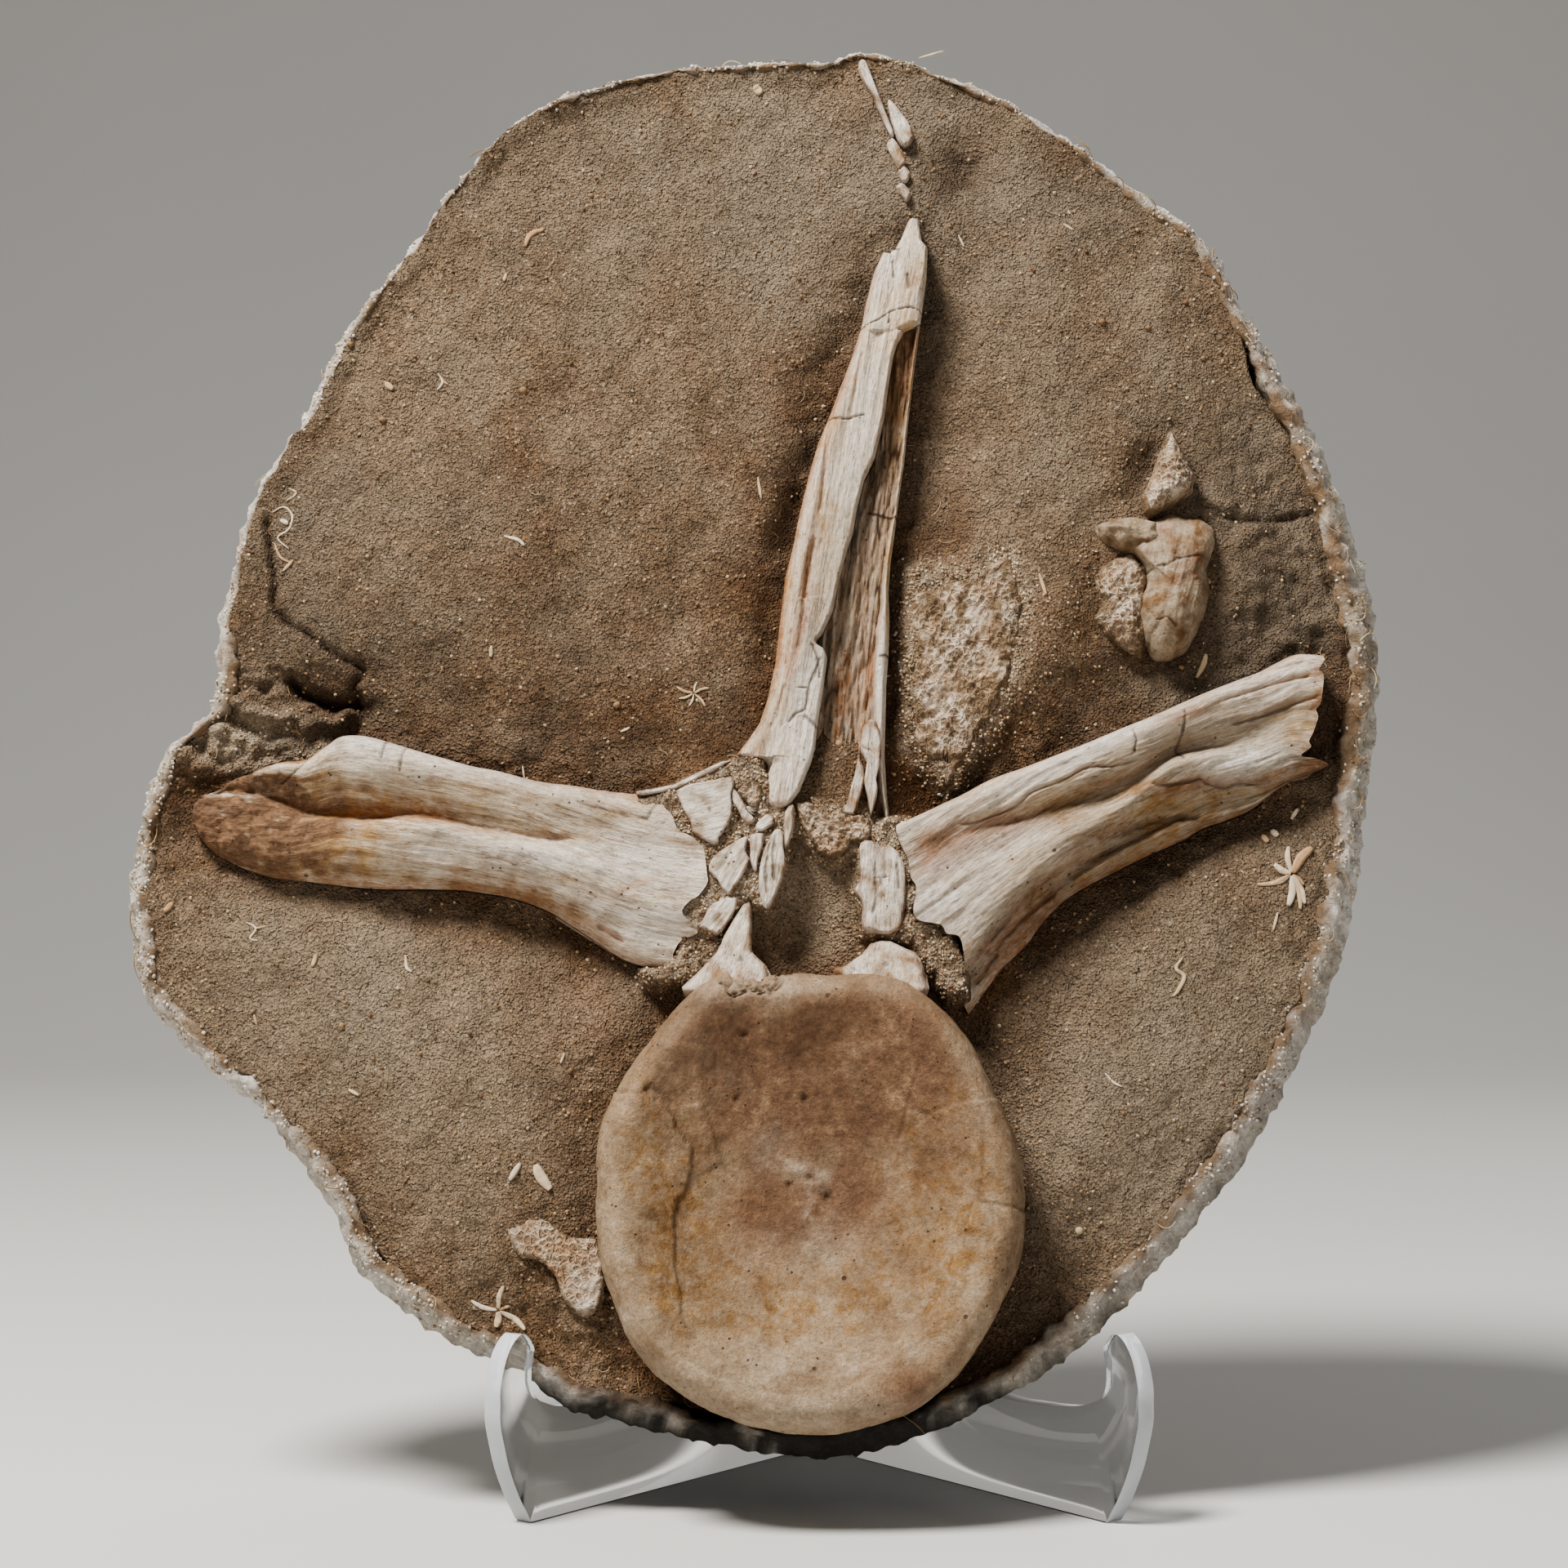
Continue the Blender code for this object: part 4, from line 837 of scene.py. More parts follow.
    # Painted shade between the rubble lumps: darker where the rubble lies low
    paintedShadeAndCracks = np.maximum(paintedShadeAndCracks, bedded * 0.7 * easeStep(-rubble, -0.1, 0.7))
    rust, pale = rust + 0.45 * bedded, pale + bedded * (0.5 + 0.7 * np.clip(rubble, -0.5, 1))
    rimmed = np.hypot(*(spots - np.array(slab["middle"])).T)
    bare = 1 - easeStep(covered, -0.4, 0.4)
    fine = easeStep(layeredNoise(spots, 18, 75, 3), -0.5, 0.6)
    angles = np.degrees(np.arctan2(spots[:, 1] - slab["middle"][1], spots[:, 0] - slab["middle"][0]))
    inner = rimInner(np.radians(angles))
    nearRim = easeStep(inner - rimmed, 9, 0)
    # The seam beside the rim is sunk and painted dark: painted shade in the groove
    seam = bell(inner - rimmed - 1.2, 1.0) * (0.15 + 0.85 * bell(angles - 12, 30))
    seam *= np.clip(0.6 + 0.9 * layeredNoise(spots, 9, 79, 3), 0, 1)
    coords[:face, 2] += 1.3 * easeStep(inner - rimmed, 6, 0) * (1 - 0.7 * bell(angles - 12, 34))
    coords[:face, 2] -= 1.1 * seam
    paintedShadeAndCracks = np.maximum(paintedShadeAndCracks, 0.55 * seam)
    shreds = 0.10 + 3.0 * nearRim * bell(angles - 14, 26) + 0.9 * blobs(spots, sand["stains"]["shreds"])
    crumbled = blobs(spots, sand["stains"]["crumbled"]) * (rubble > 0.1)
    fields = {"rust": whole(rust), "grey": whole(grey), "pale": whole(pale), "paintedShadeAndCracks": whole(paintedShadeAndCracks),
              "grains": whole(bare * (0.25 + 0.75 * fine)), "shreds": padded(bare * shreds, len(coords)),
              "rubble": padded(bare * (0.9 * bedded * (rubble > -0.15) + crumbled), len(coords)),
              "face": coords.copy()}
    return addPiece("sand_block", coords, faces, looks["sand"], fields, ["sand_block"], "sand")


sandBlock = makeSandBlock()
print("sand block made")


jacket = {
    "cells": 222,
    "sideRings": 30,
    "strips": [   # a point on its middle line, direction in degrees, half width, raise
        (-8, 60, 8, 34, 0.9), (-8, 150, -12, 36, 0.9), (-60, 100, 78, 32, 0.9), (60, 110, 98, 34, 1.0),
        (-8, 230, 20, 30, 0.9), (-8, 0, -24, 30, 1.0), (-8, 105, 52, 26, 0.9), (4, 96, 138, 24, 1.0)],
    "fade": 1.6,               # over how many millimetres a strip's edge rises
    "meanRadius": 170,
    "turnShare": 0.885,        # where the domed back turns into the side
    # Inset from the outside, how proud, and share of the way from the crest to the inside
    "rim": [(0.0, -1.4, 0), (0.2, -0.2, 0), (0.7, 0.7, 0), (1.3, 1.2, 0), (0, 1.6, 0.25), (0, 1.7, 0.45),
            (0, 1.5, 0.65), (0, 1.2, 0.85), (0, 0.7, 1.0), (0, -1.0, 1.0), (0, -3.5, 1.0), (0, -8.0, 1.0)],
    "rimInset": 1.3,           # from the outside to the crest
    # Blobs where the plaster is painted near-black, as painted shade underneath
    "underside": [(-10, -68, 76, 18, 0, 3.2), (100, -10, 50, 26, 45, 0.55)],
}


def makeJacket():
    back = softCurve(slab["back"], 12)
    lengths = runLengths(back, jacket["meanRadius"])
    turn = np.interp(jacket["turnShare"], back[:60, 0], lengths[:60])

    def backPoint(angle, length):
        share, depth, tuck = (np.interp(length, lengths, back[:, axis]) for axis in range(3))
        return slabPoint(angle, backRadius(angle, share, tuck), -depth)

    def place(share, angle):
        return backPoint(angle, share * turn)

    sides = np.linspace(turn, lengths[-1], jacket["sideRings"] + 1)[1:]
    skirts = [lambda angle, length=length: backPoint(angle, length) for length in sides]

    def rimPoint(angle, inset, proud, share):
        outer, inner = rimOuter(angle), rimInner(angle)
        crest = outer - jacket["rimInset"]
        radius = crest - (crest - inner) * share if share else outer - inset
        return slabPoint(angle, radius, proud)

    skirts += [lambda angle, row=row: rimPoint(angle, *row) for row in jacket["rim"]]
    skirts += [lambda angle, s=station: innerWall(angle, s, 0) for station in reversed(slab["back"][2:7:2])]
    coords, faces = discForm(jacket["cells"], place, skirts,
            (*slab["middle"], slab["wall"] - slab["back"][0][1]))
    faces = [group[:, ::-1] for group in faces]
    around = 4 * (jacket["cells"] - 1)
    outside = jacket["cells"] ** 2 + around * len(sides)
    rimEnd = outside + around * (len(jacket["rim"]) - 2)
    normals = surfaceNormals(coords, faces)
    spots = coords[:, :2]

    raised = np.zeros(len(coords))
    weave = np.zeros((len(coords), 3))
    for index, (x, y, direction, half, rise) in enumerate(jacket["strips"]):
        angle = math.radians(direction)
        along = (spots[:, 0] - x) * math.cos(angle) + (spots[:, 1] - y) * math.sin(angle)
        aside = (spots[:, 1] - y) * math.cos(angle) - (spots[:, 0] - x) * math.sin(angle)
        frayed = half + 1.1 * softNoise(stacked(along, np.full(len(along), index * 9.0)), 13, 81 + index)
        inside = easeStep(frayed - abs(aside), 0, jacket["fade"])
        raised = np.where(inside > 0, raised * 0.55 + rise * inside, raised)
        weave = np.where((inside > 0.5)[:, None],
                stacked(along + coords[:, 2] * 0.4, aside + coords[:, 2], 0), weave)
    lumps = layeredNoise(coords, 26, 95, 3) * 0.9 + layeredNoise(coords, 6, 99, 3) * 0.38
    chunk = (0.55 - cellNoise(coords, 3.2, 91)) * 0.9 + (0.5 - cellNoise(coords, 1.7, 93)) * 0.55
    chunk = chunk + layeredNoise(coords, 4.5, 103, 4) * 0.9
    nearRim = easeStep(coords[:, 2], -16, -1)
    push = (raised - 1.0 + lumps) * (1 - nearRim) + (chunk * 1.2 + lumps * 0.6) * nearRim
    push[rimEnd:] = 0
    push[outside:rimEnd] *= 0.8
    coords += normals * push[:, None]

    onRim = np.zeros(len(coords))
    onRim[outside:] = 1
    angle = np.arctan2(spots[:, 1] - slab["middle"][1], spots[:, 0] - slab["middle"][0])
    radius = np.hypot(spots[:, 0] - slab["middle"][0], spots[:, 1] - slab["middle"][1])
    across = np.clip((rimOuter(angle) - radius) / np.maximum(rimOuter(angle) - rimInner(angle), 1), 0, 1.2)
    degrees = np.degrees(angle)
    fibrous = bell(degrees - 22, 34)
    soil = onRim * easeStep(across, 0.1 - 0.25 * fibrous, 0.8 - 0.2 * fibrous)
    soil *= 0.85 + 0.6 * layeredNoise(coords, 7, 111, 3)
    soil += 0.35 * np.clip(layeredNoise(coords, 34, 115, 4) - 0.15, 0, 1)
    soil += 0.5 * onRim * np.clip(layeredNoise(coords, 5, 117, 3), 0, 1)
    # Painted shade: the underside blobs, and a share that grows towards the back of the jacket
    under = blobs(spots, jacket["underside"]) + 0.25 * easeStep(-coords[:, 2], 30, 60)
    paintedUnderShade = under * (0.75 + 0.6 * layeredNoise(coords, 9, 121, 3)) * (1 - 0.4 * onRim)
    crumbs = onRim * easeStep(across, 1.05, 0.85) * (coords[:, 2] > -3)
    crumbs *= np.clip(0.5 + 0.9 * layeredNoise(coords, 16, 127, 2), 0, 1.4)
    crumbs *= (1 - 0.75 * fibrous) * (1 - np.clip(under, 0, 1))
    fibres = onRim * (coords[:, 2] > -2) * (0.12 + 1.6 * fibrous + 0.5 * bell(degrees + 150, 30))
    cloth = (1 - nearRim) * (0.45 + 0.8 * layeredNoise(coords, 18, 125, 3))
    fields = {"soil": np.clip(soil, 0, 1), "paintedUnderShade": np.clip(paintedUnderShade, 0, 0.95), "cloth": np.clip(cloth, 0, 1),
              "weave": weave, "crumbs": crumbs, "fibres": fibres}
    return addPiece("jacket", coords, faces, looks["plaster"], fields, ["jacket"], "plaster")


plasterJacket = makeJacket()
print("plaster jacket made")


centrum = {
    "cells": 196,
    "sideRings": 26,
    "outline": [
        (-51, 3), (-50, 16), (-44, 30), (-37, 40), (-27, 50.5), (-17, 54.6), (-6, 54), (4, 53.6), (14, 54),
        (23, 52), (34, 44), (41, 34), (48, 18), (51.4, 5), (51.6, -7), (50.6, -15), (47, -24), (38, -39),
        (27, -49), (13, -54.6), (0, -56.2), (-14, -54), (-26, -49.4), (-37, -41), (-45, -30), (-50, -15)],
    "profile": [
        (0.0, 12.4), (0.12, 12.8), (0.32, 14.6), (0.52, 17.4), (0.68, 20.6), (0.78, 22.9), (0.84, 24.3),
        (0.885, 24.9), (0.925, 24.4), (0.96, 22.6), (0.985, 19.8), (1.0, 15.8), (0.99, 11.0), (0.965, 6.0),
        (0.93, 0.0), (0.86, -8.0)],
    "meanRadius": 54,
    "tip": 2.4,                # its lower edge stands this much prouder than its middle
    "flakeLeft": [
        (-47.5, 25.0), (-41.8, 23.8), (-35.6, 22.3), (-34.1, 21.2), (-32.2, 16.6), (-28.7, 11.6),
        (-28.5, 6.7), (-29.8, 1.1), (-32.1, -0.5), (-32.6, -11.4), (-32.4, -18.1), (-30.4, -22.6),
        (-30.8, -28.6), (-27.8, -32.3), (-25.1, -34.9)],
    "flakeMiddle": [
        (-34.1, 21.3), (-26.5, 22.1), (-24.6, 20.0), (-23.4, 15.8), (-21.9, 10.5), (-20.3, 7.9)],
    "flakeRight": [
        (50, 24.2), (45.6, 23.4), (34.5, 21.2), (29.2, 19.2), (25.4, 16.6), (21.9, 13.9), (19.6, 8.2),
        (18.3, -1.6), (18.0, -8)],
    "cracks": [([(26.3, 30.5), (23.6, 22.1), (22, 14.4)], 0.4), ([(23.6, 20.9), (29.3, 19.4)], 0.35),
               ([(40.3, -1.5), (51.6, -3.2)], 0.4), ([(41.7, 18.0), (41.2, 4.4), (40, -1)], 0.35),
               ([(-51, 26), (-44, 24.6)], 0.4), ([(-38, 26), (-35, 24), (-33, 22)], 0.5)],
    "marginInner": [
        (41.2, 4.4), (39.2, -3.1), (35.3, -12.9), (31.1, -23.4), (25.8, -30.1), (15.9, -37.5), (8.4, -41.2),
        (-0.6, -43.1), (-11.2, -41.2), (-20.2, -39.0), (-24.7, -36.0)],
    "marginOuter": [
        (45.5, -1.7), (41.6, -14.5), (36.3, -24.2), (26.4, -32.4), (18.9, -38.3), (11.3, -44.2),
        (0.9, -47.1), (-11.1, -46.4), (-18.6, -44.2), (-26.1, -40.5), (-31.4, -36.8)],
    "pits": [
        (-17.4, 23.4, 0.7), (-1.1, 23.6, 0.8), (0.4, 4.9, 0.9), (-4.6, 3.2, 0.8), (4.4, 0.2, 0.8),
        (-15.5, 38.6, 0.7), (-38.8, 25.1, 0.9)],
    "hole": [
        (-21.2, 52.5), (-18.9, 56.5), (-10.5, 56), (-8.2, 54.5), (-4.4, 53.7), (-6.6, 49.8), (-9.7, 47.5),
        (-14.3, 48.3), (-18.1, 47.1), (-20.4, 49.8)],
    "knobs": [
        (-2.4, 6.4, 2.6, 1.0, -28, 1.0), (3.2, 3.4, 1.2, 2.4, 30, 1.0), (1.2, -1.4, 1.6, 3.0, -10, 0.9),
        (5, -5, 1.4, 2.2, 0, 0.6)],
    "stains": {
        "rust": [
            (2, 42, 20, 8, 0, 0.7), (26, 34, 12, 10, -30, 0.35), (-24, 36, 10, 8, 20, 0.25),
            (-2, 6, 15, 11, 0, 0.55), (-12, -4, 7, 8, 0, 0.5), (22, -47, 10, 4, 28, 0.9),
            (14, 0, 8, 5, 0, 0.35), (-4, 22, 12, 6, 0, 0.45), (-3, 4, 7, 5, -20, 1.0),
            (5, -2, 5, 5, 20, 0.8)],
        "ochre": [
            (-38, 6, 6, 14, 0, 0.75), (-29, -4, 3, 14, 0, 0.8), (-22, -18, 12, 10, 0, 0.35),
            (36, 12, 8, 16, 0, 0.7), (-2, -26, 12, 6, 0, 0.7), (24, -20, 14, 10, 0, 0.4),
            (36, -14, 4, 12, -18, 0.6), (-6, 26, 16, 8, 0, 0.3), (30, 28, 6, 8, 0, 0.55),
            (-46, 20, 3, 10, 0, 0.3), (10, -44, 18, 2.5, 10, 0.35), (-36, 0, 5, 22, 6, 0.6),
            (28, 6, 10, 14, 0, 0.5), (0, -22, 26, 9, 0, 0.4)],
        "pale": [
            (-8, 12, 5, 6, 30, 0.55), (0, -12, 10, 5, 0, 0.7), (3, -1, 3, 4, 0, 0.7),
            (-14, -40, 22, 5, 14, 0.25), (-44, -6, 3.5, 20, 0, 0.15), (-6, 20, 4, 8, 60, 0.4),
            (-18, 27, 9, 4, 0, 0.4), (44, 28, 3, 10, -30, 0.5), (10, -50, 30, 3, 6, 0.5),
            (-12, 50, 10, 3, 0, 0.5)],
        "grey": [(-26, 44, 12, 5, 35, 0.5), (-30, -50, 18, 4, -30, 0.4), (46, -20, 4, 16, 10, 0.35)],
        "earth": [
            (4, 34, 30, 14, 0, 0.75), (28, 30, 12, 14, -40, 0.4), (-4, 8, 18, 18, 0, 0.55),
            (12, 2, 16, 14, 0, 0.4), (-22, 34, 12, 10, 30, 0.3), (49, -8, 3, 22, 0, 0.3),
            (24, -47, 10, 3.4, 28, 1.1)],
    },
}


def makeCentrum():
    table = polarTable(centrum["outline"], (0, 0))
    profile = softCurve(centrum["profile"], 10)
    lengths = runLengths(profile, centrum["meanRadius"])
    rim = lengths[np.argmax(profile[:, 0])]

    def ring(angle, length):
        share, proud = (np.interp(length, lengths, profile[:, axis]) for axis in range(2))
        radius = polarReach(table, angle) * share
        coords = stacked(radius * np.cos(angle), radius * np.sin(angle), proud)
        coords[:, 2] -= centrum["tip"] * coords[:, 1] / 56 * easeStep(proud, 2, 14)
        return coords

    sides = np.linspace(rim, lengths[-1], centrum["sideRings"] + 1)[1:]
    skirts = [lambda angle, length=length: ring(angle, length) for length in sides]
    coords, faces = discForm(centrum["cells"], lambda share, angle: ring(angle, share * rim), skirts,
            (0, 0, -8))
    face = centrum["cells"] ** 2
    normals = surfaceNormals(coords, faces)
    spots = coords[:, :2]
    onFace = (np.arange(len(coords)) < face) * 1.0
    onSide = 1 - easeStep(coords[:, 2], 12, 22)

    push = layeredNoise(coords, 22, 131, 3) * 0.55 + layeredNoise(coords, 5, 135, 3) * 0.16
    push += layeredNoise(coords, 1.6, 139, 2) * 0.05
    crack = np.zeros(len(coords))
    wobble = layeredNoise(spots, 5, 141, 3) * 0.5
    # The thin dark line kept in crack just off each flake and margin edge, on its lower side, is a painted
    # shadow of the step
    for key, raiseBy, sense in (("flakeLeft", 0.7, -1), ("flakeMiddle", 0.4, -1), ("flakeRight", 0.4, 1)):
        reach, along, side = pathReach(spots, centrum[key])
        signed = reach * side * sense + wobble
        ends = easeStep(along, 0, 0.02) * easeStep(-along, -1, -0.9)
        lip = easeStep(signed, -0.3, 0.3) * easeStep(reach, 16, 3) * np.maximum(ends, 0.25)
        push += raiseBy * lip * onFace
        crack = np.maximum(crack, 0.16 * bell(signed + 0.35, 0.36) * ends * onFace)
    for key, raiseBy in (("marginInner", 0.8), ("marginOuter", 0.9)):
        reach, along, side = pathReach(spots, softCurve(centrum[key], 4))
        signed = reach * side + wobble * 0.8
        ends = easeStep(along, 0, 0.1) * easeStep(-along, -1, -0.9)
        push += raiseBy * easeStep(signed, -0.4, 0.4) * easeStep(reach, 7, 1) * ends * onFace
        crack = np.maximum(crack, 0.16 * bell(signed + 0.3, 0.4) * ends * onFace)
    for path, half in centrum["cracks"]:
        reach = pathReach(spots, path)[0]
        line = bell(reach + wobble * 0.4, half) * onFace
        push -= 0.3 * line
        crack = np.maximum(crack, 0.4 * line)
    knobs = blobs(spots, centrum["knobs"])
    push += 0.9 * knobs * onFace
    for x, y, size in centrum["pits"]:
        pit = bell(np.hypot(spots[:, 0] - x, spots[:, 1] - y), size) * onFace
        push -= size * pit
        crack = np.maximum(crack, 0.8 * pit)
    hole = easeStep(insideReach(spots, centrum["hole"]) + layeredNoise(spots, 4, 151, 3) * 1.2, -0.4, 1.2)
    hole *= easeStep(coords[:, 2], 8, 14)
    sponge = cellNoise(coords, 1.7, 155)
    push -= hole * (2.6 + (0.6 - sponge) * 2.4)
    grooves = softNoise(stacked(np.arctan2(spots[:, 1], spots[:, 0]) * 2.2, coords[:, 2]), 1.5, 159)
    push += 0.22 * grooves * onSide * easeStep(coords[:, 2], -3, 1)
    coords += normals * push[:, None]

    angle = np.arctan2(spots[:, 1], spots[:, 0])
    share = np.hypot(spots[:, 0], spots[:, 1]) / polarReach(table, angle)
    cloud, fog = layeredNoise(spots, 16, 161, 4), layeredNoise(spots, 9, 165, 4)
    rust = blobs(spots, centrum["stains"]["rust"]) * (0.8 + 1.1 * cloud)
    ochre = blobs(spots, centrum["stains"]["ochre"]) * (0.9 + 0.9 * fog)
    ochre += 0.5 * onSide * (0.6 + 0.6 * layeredNoise(coords, 7, 169, 3))
    pale = blobs(spots, centrum["stains"]["pale"]) * (0.9 + 0.6 * fog) + 1.3 * knobs
    pale += 0.06 * easeStep(share, 0.80, 0.88) * easeStep(-share, -1.02, -0.95) * onFace
    grey = blobs(spots, centrum["stains"]["grey"]) * (0.9 + cloud)
    rust = rust * (1 - hole) + hole * 0.45
    earth = blobs(spots, centrum["stains"]["earth"]) * (0.9 + 0.5 * cloud)
    earth *= (1 - 0.6 * easeStep(share, 0.86, 0.93) * (spots[:, 0] < 40)) * (1 - hole)
    fields = {
        "rust": np.clip(rust, 0, 1), "ochre": np.clip(ochre, 0, 1), "pale": np.clip(pale, 0, 1),
        "grey": np.clip(grey, 0, 1),
        "earth": np.clip(earth, 0, 1),
        "crack": np.clip(np.maximum(crack, hole * easeStep(sponge, 0.55, 0.2)), 0, 1),
    }
    return addPiece("centrum", coords, faces, looks["centrum"], fields, ["centrum"], "bone")


centrumBody = makeCentrum()
print("centrum made")


# Long bones: four edge curves, heights on a table of stations (along) and shares (across),
# and lines cut or raised
processLeft = {
    "top": [
        (-151, 100.6), (-146.7, 102.0), (-143.6, 104.3), (-138.6, 105.7), (-136.8, 106.8), (-130.5, 108.7),
        (-124.7, 109.2), (-122.4, 110.6), (-118.9, 113.2), (-116.2, 115.2), (-110.8, 115.2),
        (-105.3, 113.8), (-97.1, 111.4), (-91.6, 109.8), (-83.4, 107.5), (-77.5, 106.4), (-71.2, 104.7),
        (-65.7, 103.4), (-58.4, 102.5), (-51.6, 101.4), (-44.8, 100.6), (-36.2, 99.9)],
    "bottom": [
        (-153, 92), (-149.2, 87.1), (-144.1, 83.9), (-139.0, 81.6), (-132.6, 79.7), (-125.4, 79.0),
        (-119.0, 78.2), (-112.2, 77.4), (-105.3, 77.0), (-96.3, 77.0), (-87.2, 76.8), (-81.2, 76.1),
        (-75.8, 75.2), (-71.2, 74.0), (-66.7, 72.4), (-63.0, 70.6), (-59.4, 68.2), (-55.7, 65.8),
        (-52.1, 63.4), (-48.4, 60.9), (-44.8, 58.9), (-40.7, 57.6), (-37.5, 56.8)],
    "start": [(-153, 92), (-153.6, 95), (-153.0, 98), (-151, 100.6)],
    "end": [
        (-37.5, 56.8), (-33.7, 58.9), (-33.3, 60.5), (-31.5, 63.4), (-27.4, 65.2), (-28.6, 67.5),
        (-31.1, 70.2), (-29.3, 72.9), (-27.1, 74.3), (-24.9, 77.5), (-25.0, 79.7), (-25.7, 85.7),
        (-26.4, 87.0), (-28.7, 88.9), (-32.3, 91.1), (-33.7, 94.4), (-36.0, 97.1), (-36.2, 99.9)],
    "along": [0, 0.05, 0.10, 0.18, 0.27, 0.36, 0.48, 0.60, 0.72, 0.84, 0.93, 1],
    "knots": [     # from the lower edge to the upper: share across and height, at each station along
        ([0] * 12, [-0.6] * 12),
        ([0.05] * 12, [0.8, 1.2, 1.8, 2.4, 2.8, 3.0, 3.0, 3.0, 2.6, 2.2, 2.0, 2.0]),
        ([0.25, 0.24, 0.22, 0.18, 0.15, 0.14, 0.16, 0.14, 0.15, 0.18, 0.2, 0.2],
         [1.8, 3.0, 4.4, 5.8, 6.8, 7.2, 7.2, 7.0, 6.8, 6.2, 5.4, 5.0]),
        ([0.5, 0.5, 0.48, 0.40, 0.32, 0.30, 0.36, 0.30, 0.32, 0.38, 0.40, 0.40],
         [2.4, 4.2, 6.0, 7.6, 8.8, 9.4, 9.4, 9.2, 9.2, 9.0, 8.2, 7.8]),
        ([0.79, 0.78, 0.73, 0.60, 0.44, 0.39, 0.47, 0.46, 0.46, 0.54, 0.54, 0.54],
         [2.4, 3.8, 5.6, 7.0, 7.8, 8.6, 8.6, 8.2, 8.4, 8.4, 8.0, 7.8]),
        ([0.85, 0.84, 0.79, 0.66, 0.50, 0.44, 0.53, 0.52, 0.53, 0.62, 0.62, 0.62],
         [2.2, 3.2, 4.2, 5.0, 4.8, 4.6, 5.4, 6.2, 7.2, 8.0, 8.0, 7.8]),
        ([0.92, 0.90, 0.87, 0.78, 0.64, 0.58, 0.66, 0.66, 0.66, 0.74, 0.74, 0.74],
         [2.4, 3.6, 5.4, 7.0, 7.2, 7.2, 7.8, 8.2, 8.2, 8.2, 8.0, 7.8]),
        ([0.95, 0.94, 0.93, 0.90, 0.86, 0.84, 0.86, 0.86, 0.86, 0.88, 0.88, 0.88],
         [2.2, 3.4, 5.6, 8.8, 11.0, 11.8, 11.6, 10.8, 9.8, 8.8, 8.2, 7.8]),
        ([0.975, 0.97, 0.97, 0.96, 0.945, 0.94, 0.945, 0.945, 0.95, 0.95, 0.95, 0.95],
         [1.6, 2.6, 4.6, 7.4, 9.4, 10.2, 10.0, 9.4, 8.6, 7.8, 7.2, 7.0]),
        ([1] * 12, [0.4, 0.8, 1.2, 2.0, 2.4, 2.6, 2.8, 2.8, 3.0, 3.2, 3.6, 4.6])],
    "creases": [   # path, half width, rise where it is raised or depth where it is negative
        ([(-142.6, 101.2), (-136.2, 99.8), (-129.8, 97.9), (-124.3, 95.6), (-118.8, 94.9), (-112.0, 94.6),
            (-105.2, 94.5), (-98, 94.6), (-91.7, 93.8), (-83.3, 91.6), (-76.5, 90.3), (-71.0, 89.6),
            (-65, 88.8), (-58.4, 88.4), (-54.7, 88.6)], 1.1, -1.2),
        ([(-98.9, 91.0), (-89.9, 90.6), (-85.3, 88.8), (-80.7, 86.4), (-71.7, 85.4), (-60.4, 84.0),
            (-53.6, 81.2), (-47.8, 79)], 1.7, 1.0),
        ([(-52.2, 67.4), (-49.0, 65.6), (-45.4, 63.1)], 0.5, -0.8)],
    "cracks": [
        ([(-57.0, 97.6), (-53.4, 96.3), (-48.0, 95.3), (-44.8, 94.4), (-39.8, 93.6), (-38.5, 96.3),
            (-36.2, 99.0)], 0.35),
        ([(-130.7, 102.3), (-127.6, 104.6), (-125.4, 106.4), (-123.2, 110)], 0.3),
        ([(-105.2, 114), (-104.9, 111.5), (-105.5, 108.3)], 0.3),
        ([(-99.9, 111.2), (-100.5, 108.3), (-100.9, 105.1)], 0.35)],
    "stains": {
        "earth": [
            (-150, 95, 13, 14, 0, 1.9), (-136, 90, 14, 12, 0, 0.9), (-124, 97, 14, 4, 0, 0.5),
            (-132, 104, 7, 3, 0, 0.6)],
        "ochre": [
            (-126, 106, 8, 7, 0, 1.3), (-130, 88, 16, 8, 0, 1.0), (-104, 111, 16, 3, -8, 0.5),
            (-100, 97, 26, 3, 0, 0.6), (-64, 90, 10, 2, -5, 0.7), (-80, 78, 26, 2.4, -6, 0.45),
            (-58, 69, 12, 2.0, -32, 0.5), (-44, 98, 8, 3, 0, 0.4), (-90, 103, 14, 3, -8, 0.4),
            (-50, 95, 10, 2, -10, 0.4), (-42, 60, 8, 3, -20, 0.3), (-122, 92, 14, 8, 0, 0.5)],
        "rust": [
            (-151, 99, 5, 4, 0, 0.6), (-118, 96, 16, 2, -4, 0.7), (-98, 95.6, 12, 1.6, 0, 0.6),
            (-72, 77, 24, 1.8, -14, 0.4), (-42.6, 76.8, 4.4, 0.8, 24, 1.5), (-124, 88, 5, 2, 0, 0.9),
            (-49, 65.4, 4, 0.9, -32, 0.9), (-38, 96, 3, 1.4, 0, 0.5)],
        "grey": [
            (-96, 85, 24, 6, 0, 0.65), (-84, 99, 26, 4, -8, 0.7), (-62, 92.4, 14, 3.4, -10, 0.7),
            (-70, 78, 16, 5, -20, 0.5), (-118, 100, 10, 3, 0, 0.6)],
        "pale": [
            (-108, 111, 10, 4, -8, 0.8), (-84, 106, 18, 3, -12, 0.5), (-62, 84.5, 12, 2.6, -10, 0.7),
            (-40, 68, 8, 8, 0, 0.5)],
    },
    "fibre": 0.55, "roughStart": 1.0, "seed": 201,
}
